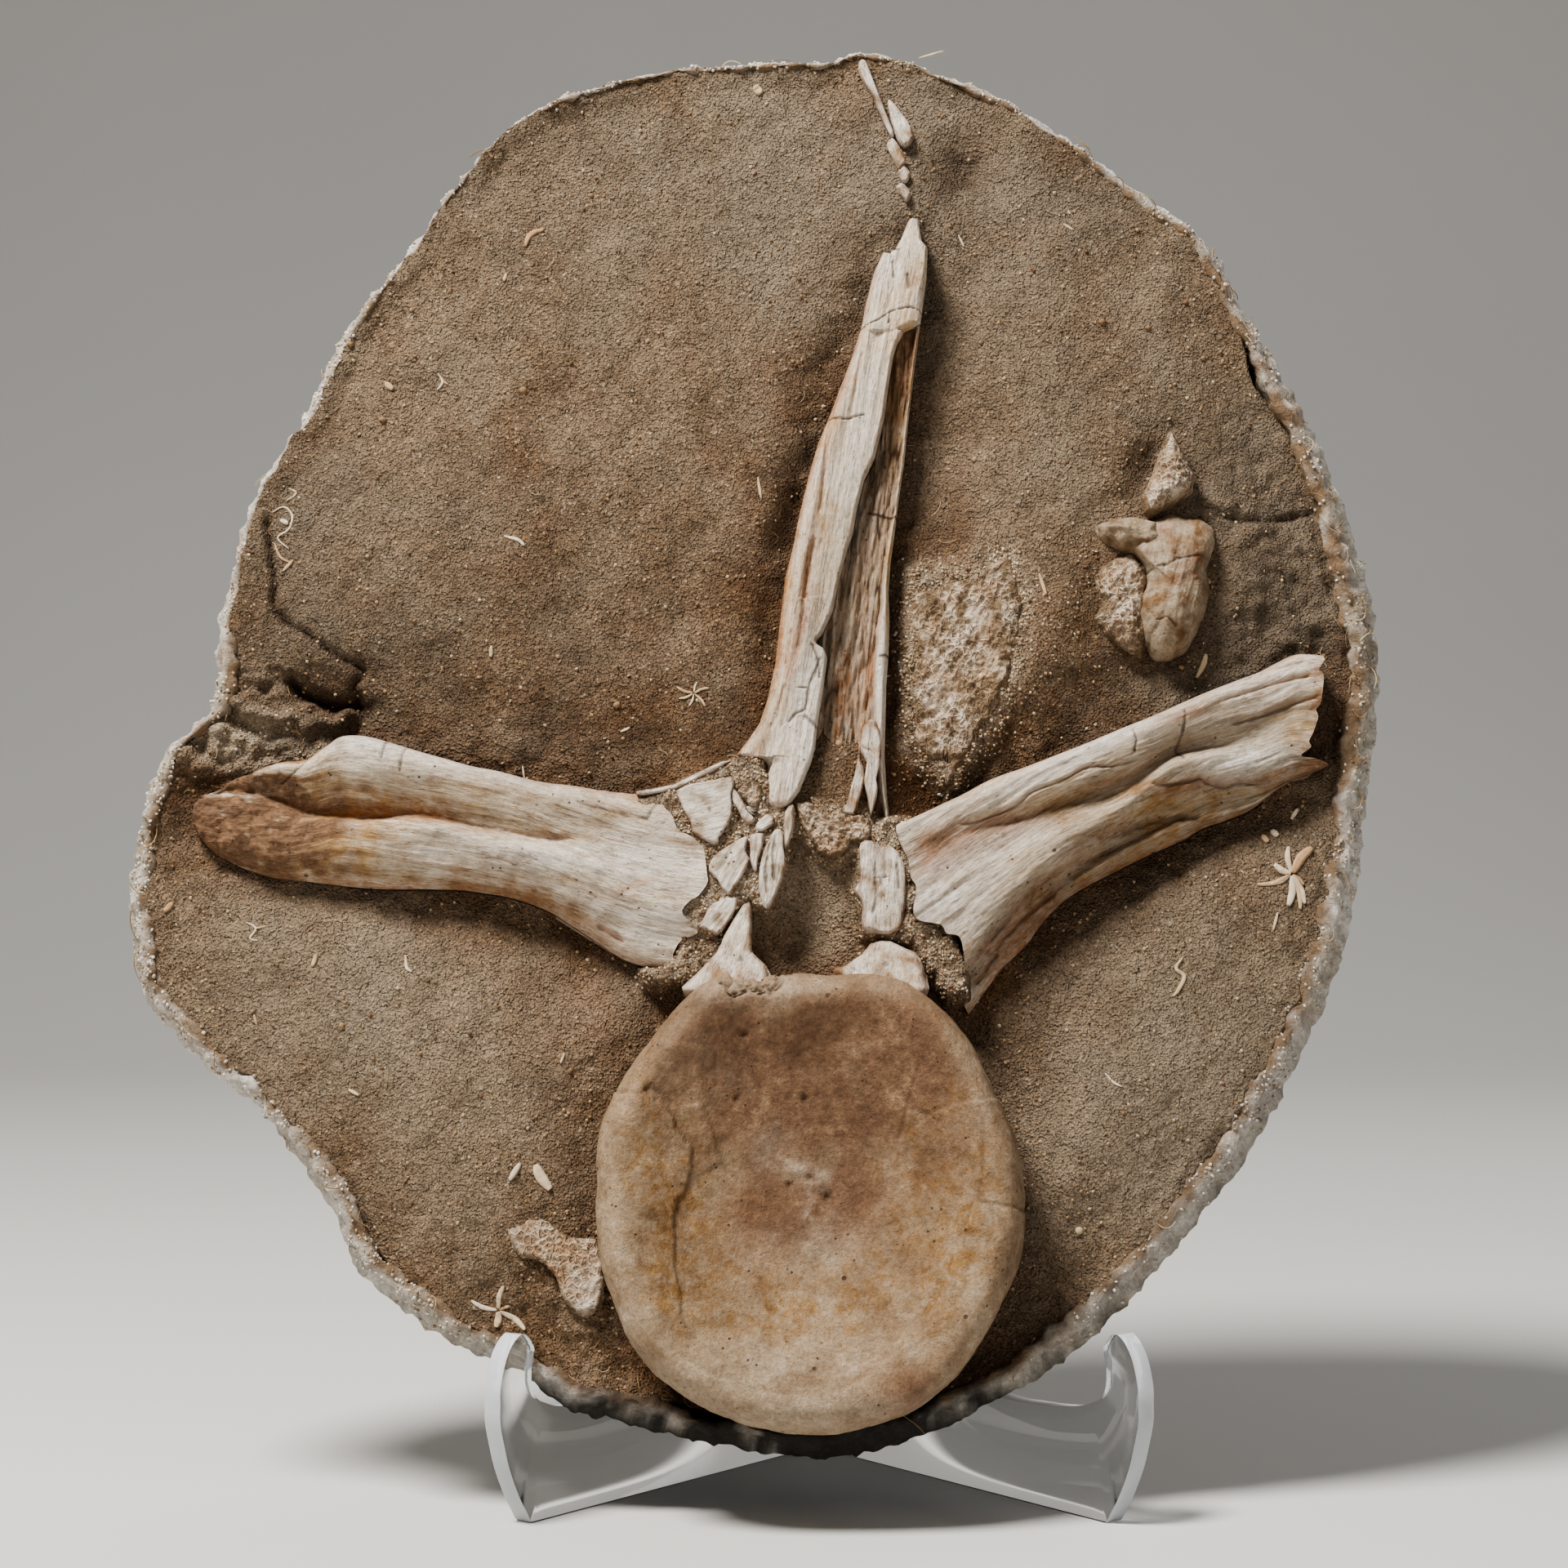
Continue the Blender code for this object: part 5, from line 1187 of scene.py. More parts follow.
processRight = {
    "top": [
        (127.2, 135.6), (121.8, 135.8), (117.6, 133.9), (112.9, 131.5), (105.9, 128.7), (98.9, 125.9),
        (92.0, 122.9), (85.0, 119.8), (77.7, 116.8), (69.9, 113.4), (62.1, 110.4), (54.4, 107.3),
        (46.1, 104.3), (38.9, 100.5), (31.1, 96.3), (25.0, 92.8)],
    "bottom": [
        (120.6, 104.6), (116.4, 101.6), (111.2, 97.4), (106.1, 95.0), (98.7, 92.4), (94.0, 89.6),
        (88.4, 87.0), (82.7, 84.4), (77.5, 81.8), (69.7, 77.8), (64.5, 74.6), (60.4, 71.0), (57.3, 67.4),
        (54.1, 62.9), (49.6, 58.6), (46.9, 55.7), (43.8, 51.4), (39.6, 45.6)],
    "start": [
        (120.6, 104.6), (124.6, 105.4), (129.2, 107.2), (126, 108.6), (122.2, 109.2), (124.6, 111.2),
        (124.2, 112.8), (125.4, 115.2), (126.7, 118.9), (126.2, 120.8), (127.4, 122.7), (128.1, 129.2),
        (126.9, 130.6), (128.6, 133.5), (127.2, 135.6)],
    "end": [
        (39.6, 45.6), (37.6, 50.4), (38.4, 55.5), (37.9, 60.6), (36.9, 63.9), (33.9, 64.6), (32.9, 66.4),
        (31.3, 67.0), (26.0, 68.8), (26.4, 76.0), (25.2, 78.6), (24.4, 83.2), (22.0, 88.4), (21.8, 91.5),
        (25.0, 92.8)],
    "along": [0, 0.07, 0.14, 0.21, 0.28, 0.35, 0.43, 0.5, 0.58, 0.65, 0.73, 0.8, 0.88, 1],
    "knots": [
        ([0] * 14, [2.4, 0.4, -0.6, -0.6, -0.6, -0.6, -0.6, -0.6, -0.6, -0.6, -0.6, -0.6, -0.4, 0]),
        ([0.06, 0.06, 0.07, 0.08, 0.1, 0.13, 0.14, 0.1, 0.09, 0.08, 0.13, 0.12, 0.1, 0.08],
         [3.0, 2.8, 2.8, 3.0, 3.4, 3.8, 4.2, 4.0, 3.6, 3.4, 3.4, 3.2, 3.0, 2.6]),
        ([0.12, 0.12, 0.14, 0.15, 0.18, 0.2, 0.2, 0.17, 0.15, 0.14, 0.19, 0.18, 0.16, 0.14],
         [3.4, 3.0, 3.0, 3.2, 3.4, 3.6, 3.6, 3.6, 4.0, 4.2, 4.4, 4.6, 4.6, 4.6]),
        ([0.19, 0.19, 0.24, 0.28, 0.38, 0.42, 0.34, 0.28, 0.25, 0.24, 0.27, 0.27, 0.25, 0.22],
         [6.8, 7.0, 7.2, 7.6, 8.4, 8.8, 8.4, 8.2, 8.2, 8.4, 8.8, 9.0, 9.0, 8.8]),
        ([0.44, 0.42, 0.42, 0.46, 0.52, 0.54, 0.46, 0.40, 0.37, 0.36, 0.38, 0.39, 0.40, 0.42],
         [9.4, 9.8, 10.2, 10.6, 11.0, 11.4, 11.4, 11.4, 11.4, 11.4, 11.2, 11.0, 10.8, 10.4]),
        ([0.56, 0.56, 0.57, 0.58, 0.62, 0.66, 0.60, 0.57, 0.62, 0.66, 0.69, 0.71, 0.74, 0.76],
         [8.6, 8.4, 8.0, 7.4, 6.8, 6.4, 6.2, 6.2, 6.6, 7.2, 7.8, 8.6, 9.4, 9.8]),
        ([0.70, 0.70, 0.70, 0.70, 0.72, 0.75, 0.71, 0.69, 0.74, 0.77, 0.79, 0.80, 0.84, 0.86],
         [9.8, 10.0, 10.2, 10.4, 10.4, 10.6, 10.6, 10.6, 11.0, 11.0, 11.0, 11.0, 10.8, 10.4]),
        ([0.86, 0.86, 0.87, 0.87, 0.88, 0.88, 0.87, 0.87, 0.89, 0.90, 0.90, 0.90, 0.92, 0.93],
         [10.8, 11.4, 12.0, 12.4, 12.8, 12.8, 12.8, 12.6, 12.4, 12.2, 12.0, 11.8, 11.4, 10.8]),
        ([0.96] * 14, [9.0, 9.6, 10.0, 10.2, 10.4, 10.4, 10.4, 10.2, 10.0, 9.8, 9.8, 9.6, 9.4, 9.2]),
        ([1] * 14, [3.2, 3.2, 3.2, 3.2, 3.2, 3.2, 3.2, 3.2, 3.4, 3.6, 3.8, 4.0, 4.2, 4.6])],
    "creases": [
        ([(38, 89.6), (46, 92.0), (54.1, 93.9), (60.9, 97.0), (67.0, 98.6), (72, 102.0), (77.9, 103.6),
            (83.9, 106.7), (90.5, 110.0), (96.9, 110.9), (103.4, 112.0), (108.9, 113.4)], 1.0, -0.9),
        ([(79.9, 101.4), (90.4, 102.4), (96.9, 103.8), (99.1, 102.9), (102.8, 102.1), (107.4, 102.9),
            (111.9, 102.9), (118.8, 104.2)], 0.7, -1.4),
        ([(40.6, 58.4), (44.7, 63.5), (50.9, 71.3), (57.1, 77.5), (63, 81.4)], 0.8, -1.5),
        ([(43.7, 59.4), (49.9, 66.1), (56.1, 71.8), (62, 76)], 0.7, -1.3),
        ([(41, 53), (44, 57), (47, 61)], 0.6, -1.2),
        ([(70.9, 88.2), (77.8, 91.0), (84.7, 93.3), (91.6, 94.6), (98.5, 94.6)], 0.9, -1.6),
        ([(64.2, 80.3), (72.0, 84.6), (79.7, 88.0), (88, 92.2), (98, 98)], 0.8, -1.3),
        ([(56.0, 70.6), (64.2, 76.0), (71, 81.4), (77.8, 85.4), (84.8, 88.6), (90.3, 91.2)], 1.3, 1.5),
        ([(36, 91.8), (41.1, 92.6), (50.8, 96.2), (55.5, 99.8), (62.1, 102.4), (69.4, 106), (75.0, 106.2),
            (84, 109)], 0.45, -1.1), ([(101, 122), (110, 125), (118, 127.6), (126, 129.6)], 0.6, -0.9),
        ([(104, 117), (112, 119), (120, 122), (127, 124)], 0.6, -1.1),
        ([(108, 127.6), (116, 130.6), (124, 132.4)], 0.5, -0.6)],
    "cracks": [([(93.2, 119.8), (93.2, 117.8), (92.7, 114.6), (91.3, 110.9), (93.0, 108.5)], 0.35),
               ([(80.6, 110), (81.2, 112.6), (80.2, 115.4)], 0.25)],
    "stains": {
        "earth": [(127.5, 108, 3, 4, 0, 1.6), (128, 124, 1.6, 12, 0, 0.8), (118, 103, 8, 2, 10, 0.7)],
        "ochre": [
            (62, 97.4, 9, 2, 10, 1.0), (98, 121, 12, 3, 24, 0.6), (122, 116, 6, 4, 10, 0.8),
            (100, 101, 12, 1.6, 0, 0.9), (48, 102, 16, 2, 28, 0.4), (40, 78, 12, 6, 0, 0.5),
            (112, 131, 10, 2, 22, 0.6), (88, 88, 10, 2, 24, 0.6), (82, 90, 30, 8, 26, 0.8),
            (60, 90, 8, 3, 30, 0.4)],
        "rust": [
            (36, 86, 8, 3.4, 24, 1.1), (47, 91, 7, 2, 16, 0.9), (30, 80, 3, 6, 0, 0.7),
            (93, 102, 10, 1.2, 8, 0.9), (120, 126, 8, 1.6, 20, 0.9), (127.4, 121, 2, 10, 0, 1.0),
            (58, 76, 14, 2, 44, 0.7), (94, 119, 5, 1, 16, 0.9), (50, 62, 8, 2, 52, 0.7)],
        # Most of these grey blobs lie on the lower face that turns away from the light and darken it:
        # painted shade, strongest in the two of weight 1.8
        "grey": [
            (72, 93, 16, 4, 34, 0.9), (104, 113, 14, 3.4, 14, 0.8), (54, 70, 10, 3, 48, 0.9),
            (88, 98, 14, 4, 14, 0.7), (84, 108, 12, 3, 20, 0.9), (110, 118, 10, 2.4, 14, 0.6),
            (80, 86, 14, 3, 26, 0.9), (36, 70, 10, 14, 0, 0.8), (80, 92, 34, 9, 26, 1.8),
            (52, 72, 18, 6, 48, 1.8), (112, 108, 16, 10, 10, 0.8), (30, 76, 8, 12, 0, 0.6)],
        "pale": [
            (34, 72, 8, 5, 0, 0.9), (48, 84, 12, 5, 20, 0.5), (108, 108, 8, 3, 10, 0.9),
            (70, 111, 20, 2.4, 26, 0.7), (112, 128, 10, 3, 22, 0.6)],
    },
    "fibre": 1.0, "roughStart": 0.3, "seed": 261,
}


def evenSteps(path, count):
    dense = softCurve(path, 10)
    lengths = runLengths(dense)
    steps = np.linspace(0, lengths[-1], count)
    return np.stack([np.interp(steps, lengths, dense[:, axis]) for axis in range(2)], axis=1)


def edgePatch(shape, stations, shares):
    # Points between four edges: the broken ends pull on the surface only close to them
    bottom, top = evenSteps(shape["bottom"], stations)[:, None], evenSteps(shape["top"], stations)[:, None]
    share = np.linspace(0, 1, shares)[None, :, None]
    along = np.linspace(0, 1, stations)[:, None, None]
    start, end = evenSteps(shape["start"], shares)[None], evenSteps(shape["end"], shares)[None]
    spots = bottom + (top - bottom) * share
    return spots + (start - spots[:1]) * (1 - along) ** 7 + (end - spots[-1:]) * along ** 7


def smoothProfile(knotShare, knotHeight, share):
    # Heights between the knots of each station, without overshoot
    step = np.diff(knotShare, axis=1)
    slope = np.diff(knotHeight, axis=1) / step
    before, after = slope[:, :-1], slope[:, 1:]
    joint = np.where(before * after > 0,
            2 * before * after / np.where(before + after == 0, 1, before + after), 0)
    tangent = np.concatenate([slope[:, :1] * 1.5, joint, slope[:, -1:] * 1.5], axis=1)
    index = np.clip((knotShare[:, None] <= share[None, :, None] + 1e-9).sum(axis=2) - 1, 0,
            step.shape[1] - 1)
    pick = lambda values, offset=0: np.take_along_axis(values, index + offset, axis=1)
    width = pick(step)
    t = np.clip((share[None] - pick(knotShare)) / width, 0, 1)
    return ((2 * t ** 3 - 3 * t ** 2 + 1) * pick(knotHeight) + (t ** 3 - 2 * t ** 2 + t) * width
            * pick(tangent) + (3 * t ** 2 - 2 * t ** 3) * pick(knotHeight, 1) + (t ** 3 - t ** 2) * width
            * pick(tangent, 1))


def tableHeights(shape, stations, shares):
    table = np.column_stack([shape["along"]]
            + [np.array(part, float) for knot in shape["knots"] for part in knot])
    dense = softCurve(table, 12)
    steps = np.linspace(0, 1, stations)
    columns = np.stack([np.interp(steps, dense[:, 0], dense[:, 1 + index])
              for index in range(table.shape[1] - 1)], axis=1)
    knotShare = columns[:, 0::2] + np.arange(len(shape["knots"])) * 1e-6
    return smoothProfile(knotShare, columns[:, 1::2], np.linspace(0, 1, shares))


def cutLines(spots, proud, creases, cracks):
    # Raised or sunken lines change the height, cracks are narrow and are also kept for the colour
    waver = layeredNoise(spots, 3, 911, 3) * 0.5
    valley, crack = np.zeros(len(spots)), np.zeros(len(spots))
    for path, half, rise in creases:
        reach, along, _ = pathReach(spots, softCurve(path, 4))
        ends = easeStep(along, 0, 0.12) * easeStep(-along, -1, -0.88)
        line = bell(reach + waver * half * 0.5, half) * ends
        proud = proud + rise * line
        valley = np.maximum(valley, line * (rise < 0))
    for path, half in cracks:
        reach = pathReach(spots, path)[0]
        line = bell(reach + waver * 0.35, half)
        proud = proud - 0.45 * line
        crack = np.maximum(crack, 0.7 * line)
    return proud, valley, crack


def closePatch(spots, proud, floor=-5.0):
    # A skirt down into the sand on all four sides, and a floor under it
    stations, shares = spots.shape[:2]
    index = np.arange(stations * shares).reshape(stations, shares)
    quads = stacked(index[:-1, :-1], index[1:, :-1], index[1:, 1:], index[:-1, 1:]).reshape(-1, 4)
    edge = np.concatenate([index[0, :-1], index[:-1, -1], index[-1, :0:-1], index[:0:-1, 0]])
    flat = spots.reshape(-1, 2)
    ring = stations * shares + np.arange(len(edge))
    walls = stacked(np.roll(edge, -1), edge, ring, np.roll(ring, -1))
    hub = stations * shares + len(edge)
    fan = stacked(np.roll(ring, -1), ring, np.full(len(edge), hub))
    middle = flat[edge].mean(axis=0)
    coords = np.vstack([np.column_stack([flat, proud.ravel()]),
              np.column_stack([flat[edge], np.full(len(edge), floor)]), [[*middle, floor]]])
    return coords, [np.vstack([quads, walls]).astype(int), fan.astype(int)]


def makeProcess(name, shape, stations=400, shares=118):
    seed = shape["seed"]
    spots = edgePatch(shape, stations, shares)
    flat = spots.reshape(-1, 2)
    proud = tableHeights(shape, stations, shares).ravel()
    middle = spots[:, shares // 2]
    length = runLengths(middle)[:, None]
    width = np.linalg.norm(spots[:, -1] - spots[:, 0], axis=1)[:, None]
    across = np.linspace(-0.5, 0.5, shares)[None] * width
    flow = stacked(length + 0 * across, across, proud.reshape(stations, shares)).reshape(-1, 3)
    grain = flow * np.array([0.08, 1.0, 0.5])
    proud, valley, crack = cutLines(flat, proud, shape["creases"], shape["cracks"])
    proud += shape["fibre"] * (layeredNoise(grain, 3.0, seed, 3) * 0.42
            + layeredNoise(grain, 1.0, seed + 5, 2) * 0.24)
    proud += layeredNoise(flat, 13, seed + 9, 3) * 0.45 + layeredNoise(flat, 4, seed + 11, 3) * 0.12
    startRough = bell(length, 24) * np.ones((1, shares))
    proud += layeredNoise(flat, 4.5, seed + 13, 3) * shape["roughStart"] * startRough.ravel()
    coords, faces = closePatch(spots, proud)

    rim = np.linspace(0, 1, shares)[None] * width
    rim = np.minimum(rim, width - rim).ravel()
    fields = {"flow": padded(flow, len(coords)), "crack": padded(crack, len(coords))}
    cloud, mist = layeredNoise(grain, 4.0, seed + 17, 4), layeredNoise(flat, 6, seed + 19, 4)
    for key, listed in shape["stains"].items():
        value = blobs(flat, listed) * (0.9 + 0.7 * cloud + 0.3 * mist)
        if key == "rust":
            value += 0.45 * valley + 0.6 * bell(rim, 1.6) + 0.2 * bell(rim, 5) * (0.7 + mist)
        if key == "earth":
            value = easeStep(value + 0.35 * mist + 0.35 * cloud, -0.1, 1.5)
        fields[key] = padded(np.clip(value, 0, 1), len(coords))
    return addPiece(name, coords, faces, looks["bone"], fields, [name], "bone")


leftProcess = makeProcess("process_left", processLeft)
rightProcess = makeProcess("process_right", processRight)
print("transverse processes made")


spine = {
    "left": [
        (25.9, 250), (25.7, 249.4), (23.6, 244.0), (22.0, 240.9), (19.0, 240.2), (16.8, 235.1),
        (15.0, 228.0), (13.9, 222.1), (11.0, 212.6), (8.4, 205.8), (6.0, 199.4), (2.5, 190.4), (0.2, 182.2),
        (-2.2, 171.8), (-4.0, 162.8), (-5.7, 156.0), (-6.4, 149.9), (-7.2, 143.1), (-8.2, 133.9),
        (-10.2, 124.6), (-12.2, 118.5), (-15.2, 113.9), (-18.0, 110.2), (-17.0, 109.2), (-13.6, 109.4),
        (-11.2, 108.4), (-10.4, 107.6), (-10.8, 103.9), (-11.1, 99.3), (-10.4, 96.4), (-9.4, 95.2)],
    "right": [
        (28.6, 250), (28.8, 247.6), (29.4, 243.2), (30.8, 241.4), (30.4, 233.6), (29.3, 225.3),
        (27.5, 211.8), (25.7, 197.1), (24.5, 185.4), (23.0, 175.5), (22.0, 167.0), (21.0, 160),
        (20.4, 152.2), (20.6, 144.4), (20.3, 135.6), (19.7, 127.9), (19.5, 120.2), (19.2, 110.0),
        (19.8, 99.8), (20.8, 92.0)],
    "troughLeft": [
        (28.4, 221.5), (27.0, 220.6), (24.6, 219.4), (22.8, 216), (21.7, 212.3), (20.6, 205.3),
        (19.4, 196.5), (17.1, 186.6), (14.2, 180.2), (12.5, 173.3), (11.4, 166.8), (10.0, 162.6),
        (8.5, 156.9), (6.4, 147.0), (5.4, 144.5), (3.9, 141.1), (2.2, 139.0), (2.4, 137.8), (4.2, 136.6),
        (4.9, 134.7), (4.2, 129.3), (3.6, 124.9), (2.6, 119.3), (1.8, 112.0), (0.8, 108.1), (-2.2, 100.7),
        (-4.7, 97.2), (-8.0, 95.2)],
    "wall": [
        (28.0, 221), (27.4, 211.5), (26.0, 202.7), (24.4, 191.0), (22.8, 176.4), (20.8, 168), (19.2, 158.7),
        (18.4, 149.3), (17.6, 143.1), (16.8, 133.9), (16.4, 126.2), (16.6, 118), (17.0, 108), (18.2, 99),
        (19.4, 92)],
    "plateCells": (520, 84), "plateEnds": (249.6, 95.3), "forkHeight": 221.4,
    "troughCells": (420, 76), "troughEnds": (222.0, 92.4),
    "wallCracks": [([(18.0, 135.2), (20.5, 135.2)], 0.35), ([(15.6, 172.6), (20, 171.4), (23, 171)], 0.35)],
    "plateProud": 8.4, "floorProud": 2.6, "wallProud": 6.6,
    "creases": [
        ([(1.9, 166.2), (0.4, 158.9), (-0.6, 152.2), (-1.1, 144.4), (-3.1, 133.1)], 0.7, -0.9),
        ([(7.6, 205.8), (5.3, 193.9), (4.1, 182.2), (3.0, 170.6)], 0.6, -0.7),
        ([(14, 214), (12, 204), (10.4, 194)], 0.5, -0.5), ([(20.4, 239.6), (20.9, 241)], 0.9, -4.0),
        ([(-5.6, 128), (-7.6, 121), (-9.4, 116)], 0.6, -0.7), ([(-4.2, 142), (-5.6, 132)], 0.5, -0.5)],
    "step": [
        (3.9, 166), (1.9, 155.3), (0.4, 148.1), (-0.6, 139.8), (-2.1, 133.7), (-3.7, 130.6), (-4.7, 122.4),
        (-6.7, 115.2), (-9.2, 107.1)],
    "cracks": [
        ([(13.2, 220.0), (17.8, 221.7), (21.2, 224.1), (25.8, 225.2), (29.6, 224.2)], 0.2),
        ([(20.8, 224), (20.6, 221)], 0.25), ([(25.5, 233.8), (25.8, 230.3)], 0.5),
        ([(2.9, 133.7), (1.9, 130.6), (0.4, 127.5), (-0.4, 122.4), (-0.9, 120.9), (-3.2, 119.8),
            (-4.7, 117.8)], 0.35), ([(-0.6, 119), (1.8, 116.8)], 0.5),
        ([(1.1, 137.5), (2.6, 133), (2.9, 129)], 0.3), ([(4, 196.5), (9, 196), (14, 197)], 0.22),
        ([(21.6, 237), (22, 233)], 0.3), ([(-3, 126.6), (0, 126.4)], 0.2)],
    "plateStains": {
        "rust": [
            (25.8, 232, 0.9, 3, 0, 1.0), (20, 200, 2, 16, -10, 0.5), (2, 186, 2, 14, -6, 0.5),
            (0, 155, 1.6, 12, -6, 0.7), (-4, 133, 2, 5, 0, 0.6), (-7, 148, 1.4, 20, -6, 0.5),
            (-6, 98, 2, 3, 0, 0.7), (-16, 111, 5, 2, 0, 0.6), (9, 205, 1.6, 12, -10, 0.6)],
        "ochre": [
            (26, 230, 3, 14, -6, 0.9), (-7, 152, 2.4, 26, -8, 0.9), (10, 204, 3, 16, -12, 0.6),
            (5, 164, 3, 12, -6, 0.5), (-6, 118, 4, 8, 0, 0.5), (4, 180, 2, 12, 0, 0.6),
            (-5, 102, 4, 6, 0, 0.3), (18, 210, 3, 12, -10, 0.4)],
        "grey": [
            (8, 172, 4, 20, -10, 0.9), (3, 150, 3, 12, -8, 0.8), (-4, 124, 1.6, 7, -24, 1.2),
            (1, 132, 2, 10, -4, 0.6), (14, 196, 3, 14, -12, 0.5), (-11, 116, 2, 3, 0, 0.8)],
        "pale": [
            (-4, 108, 5, 10, -10, 0.8), (0, 126, 3, 8, 0, 0.6), (24, 238, 4, 8, 0, 0.5),
            (12, 192, 4, 20, -12, 0.5)],
    },
    "floorDips": [
        (15.6, 181, 1.3, 7, -18, 1.9), (3.2, 131, 1.0, 12, 4, 1.2), (12, 128, 3, 12, -4, 0.8),
        (2.6, 110, 1.2, 8, 0, 1.0)],
    "troughStains": {
        "rust": [(12, 112, 4, 10, 0, 0.7), (16, 128, 1.4, 10, 0, 0.9), (10, 124, 3, 10, 0, 0.4)],
        "ochre": [(24, 205, 3, 12, -6, 0.8), (22, 190, 3, 8, -6, 0.5), (19.8, 150, 1.4, 24, 0, 0.6)],
        "grey": [
            (14, 160, 4, 18, -8, 1.0), (8, 140, 3, 16, -4, 0.9), (5, 120, 3, 14, 0, 0.8),
            (21, 190, 4, 26, -8, 0.7)],
        "pale": [(19, 112, 2, 16, 0, 0.6), (18.6, 130, 1.6, 10, 0, 0.7)],
    },
}


def readEdge(listed, heights):
    # Where an edge lies across, at each height up the spine
    ordered = np.array(listed, float)[::-1]
    return np.interp(heights, ordered[:, 1], ordered[:, 0])


def makeSpinePlate():
    stations, shares = spine["plateCells"]
    top, foot = spine["plateEnds"]
    heights = np.linspace(top, foot, stations)
    left, right = readEdge(spine["left"], heights), readEdge(spine["right"], heights)
    right = np.where(heights < spine["forkHeight"], readEdge(spine["troughLeft"], heights), right)
    share = np.linspace(0, 1, shares)[None]
    width = np.maximum(right - left, 0.6)[:, None]
    spots = stacked(left[:, None] + width * share, heights[:, None] + 0 * share)
    flat = spots.reshape(-1, 2)
    leftReach, rightReach = (width * share).ravel(), (width * (1 - share)).ravel()
    ends = easeStep(top - heights, -1, 9) * 0.25 + 0.75
    ends *= easeStep(heights - foot, -0.6, 3) * 0.35 + 0.65
    crown = spine["plateProud"] * np.repeat(ends, shares)
    rounding = np.repeat(4.5 - 3.1 * easeStep(heights, 224, 238), shares)
    roundLeft = rounded(leftReach, rounding)
    inTrough = np.repeat(heights < 219, shares)
    rounding = np.where(inTrough, 1.0, np.repeat(3.4 - 2.2 * easeStep(heights, 224, 238), shares))
    roundRight = rounded(rightReach, rounding)
    proud = crown * (0.30 + 0.70 * roundLeft) * (0.55 + 0.45 * roundRight)
    ahead = leftReach / width.repeat(shares, axis=1).ravel()
    proud -= 1.1 * bell(ahead - 0.42, 0.2) * inTrough * (flat[:, 1] > 150)
    reach, along, side = pathReach(flat, softCurve(spine["step"], 4))
    stepDown = easeStep(reach * side + layeredNoise(flat, 3, 331, 2) * 0.4, 0.4, -0.4)
    proud -= stepDown * easeStep(reach, 9, 5) * easeStep(along, 0, 0.1) * (flat[:, 1] < 166)
    flow = stacked(249 - flat[:, 1], flat[:, 0] + (249 - flat[:, 1]) * 0.16, proud)
    grain = flow * np.array([0.06, 1.0, 0.5])
    proud, valley, crack = cutLines(flat, proud, spine["creases"], spine["cracks"])
    proud += layeredNoise(grain, 2.4, 301, 3) * 0.28 + layeredNoise(grain, 0.9, 305, 2) * 0.13
    proud += layeredNoise(flat, 16, 313, 2) * 0.35 + layeredNoise(flat, 3, 315, 2) * 0.06
    coords, faces = closePatch(spots, proud.reshape(stations, shares))
    cloud, mist = layeredNoise(grain, 3.0, 321, 4), layeredNoise(flat, 12, 325, 4)
    listed = spine["plateStains"]
    stains = {
        "rust": blobs(flat, listed["rust"]) * (0.9 + 0.9 * cloud) + 0.5 * valley + 0.75 * bell(leftReach,
            1.1),
        "ochre": blobs(flat, listed["ochre"]) * (0.9 + 0.7 * mist),
        "grey": blobs(flat, listed["grey"]) * (0.9 + 0.5 * cloud),
        "pale": blobs(flat, listed["pale"]),
    }
    fields = {key: padded(np.clip(value, 0, 1), len(coords)) for key, value in stains.items()}
    fields.update(flow=padded(flow, len(coords)), crack=padded(crack, len(coords)))
    return addPiece("neural_spine", coords, faces, looks["bone"], fields, ["neural_spine"], "bone")


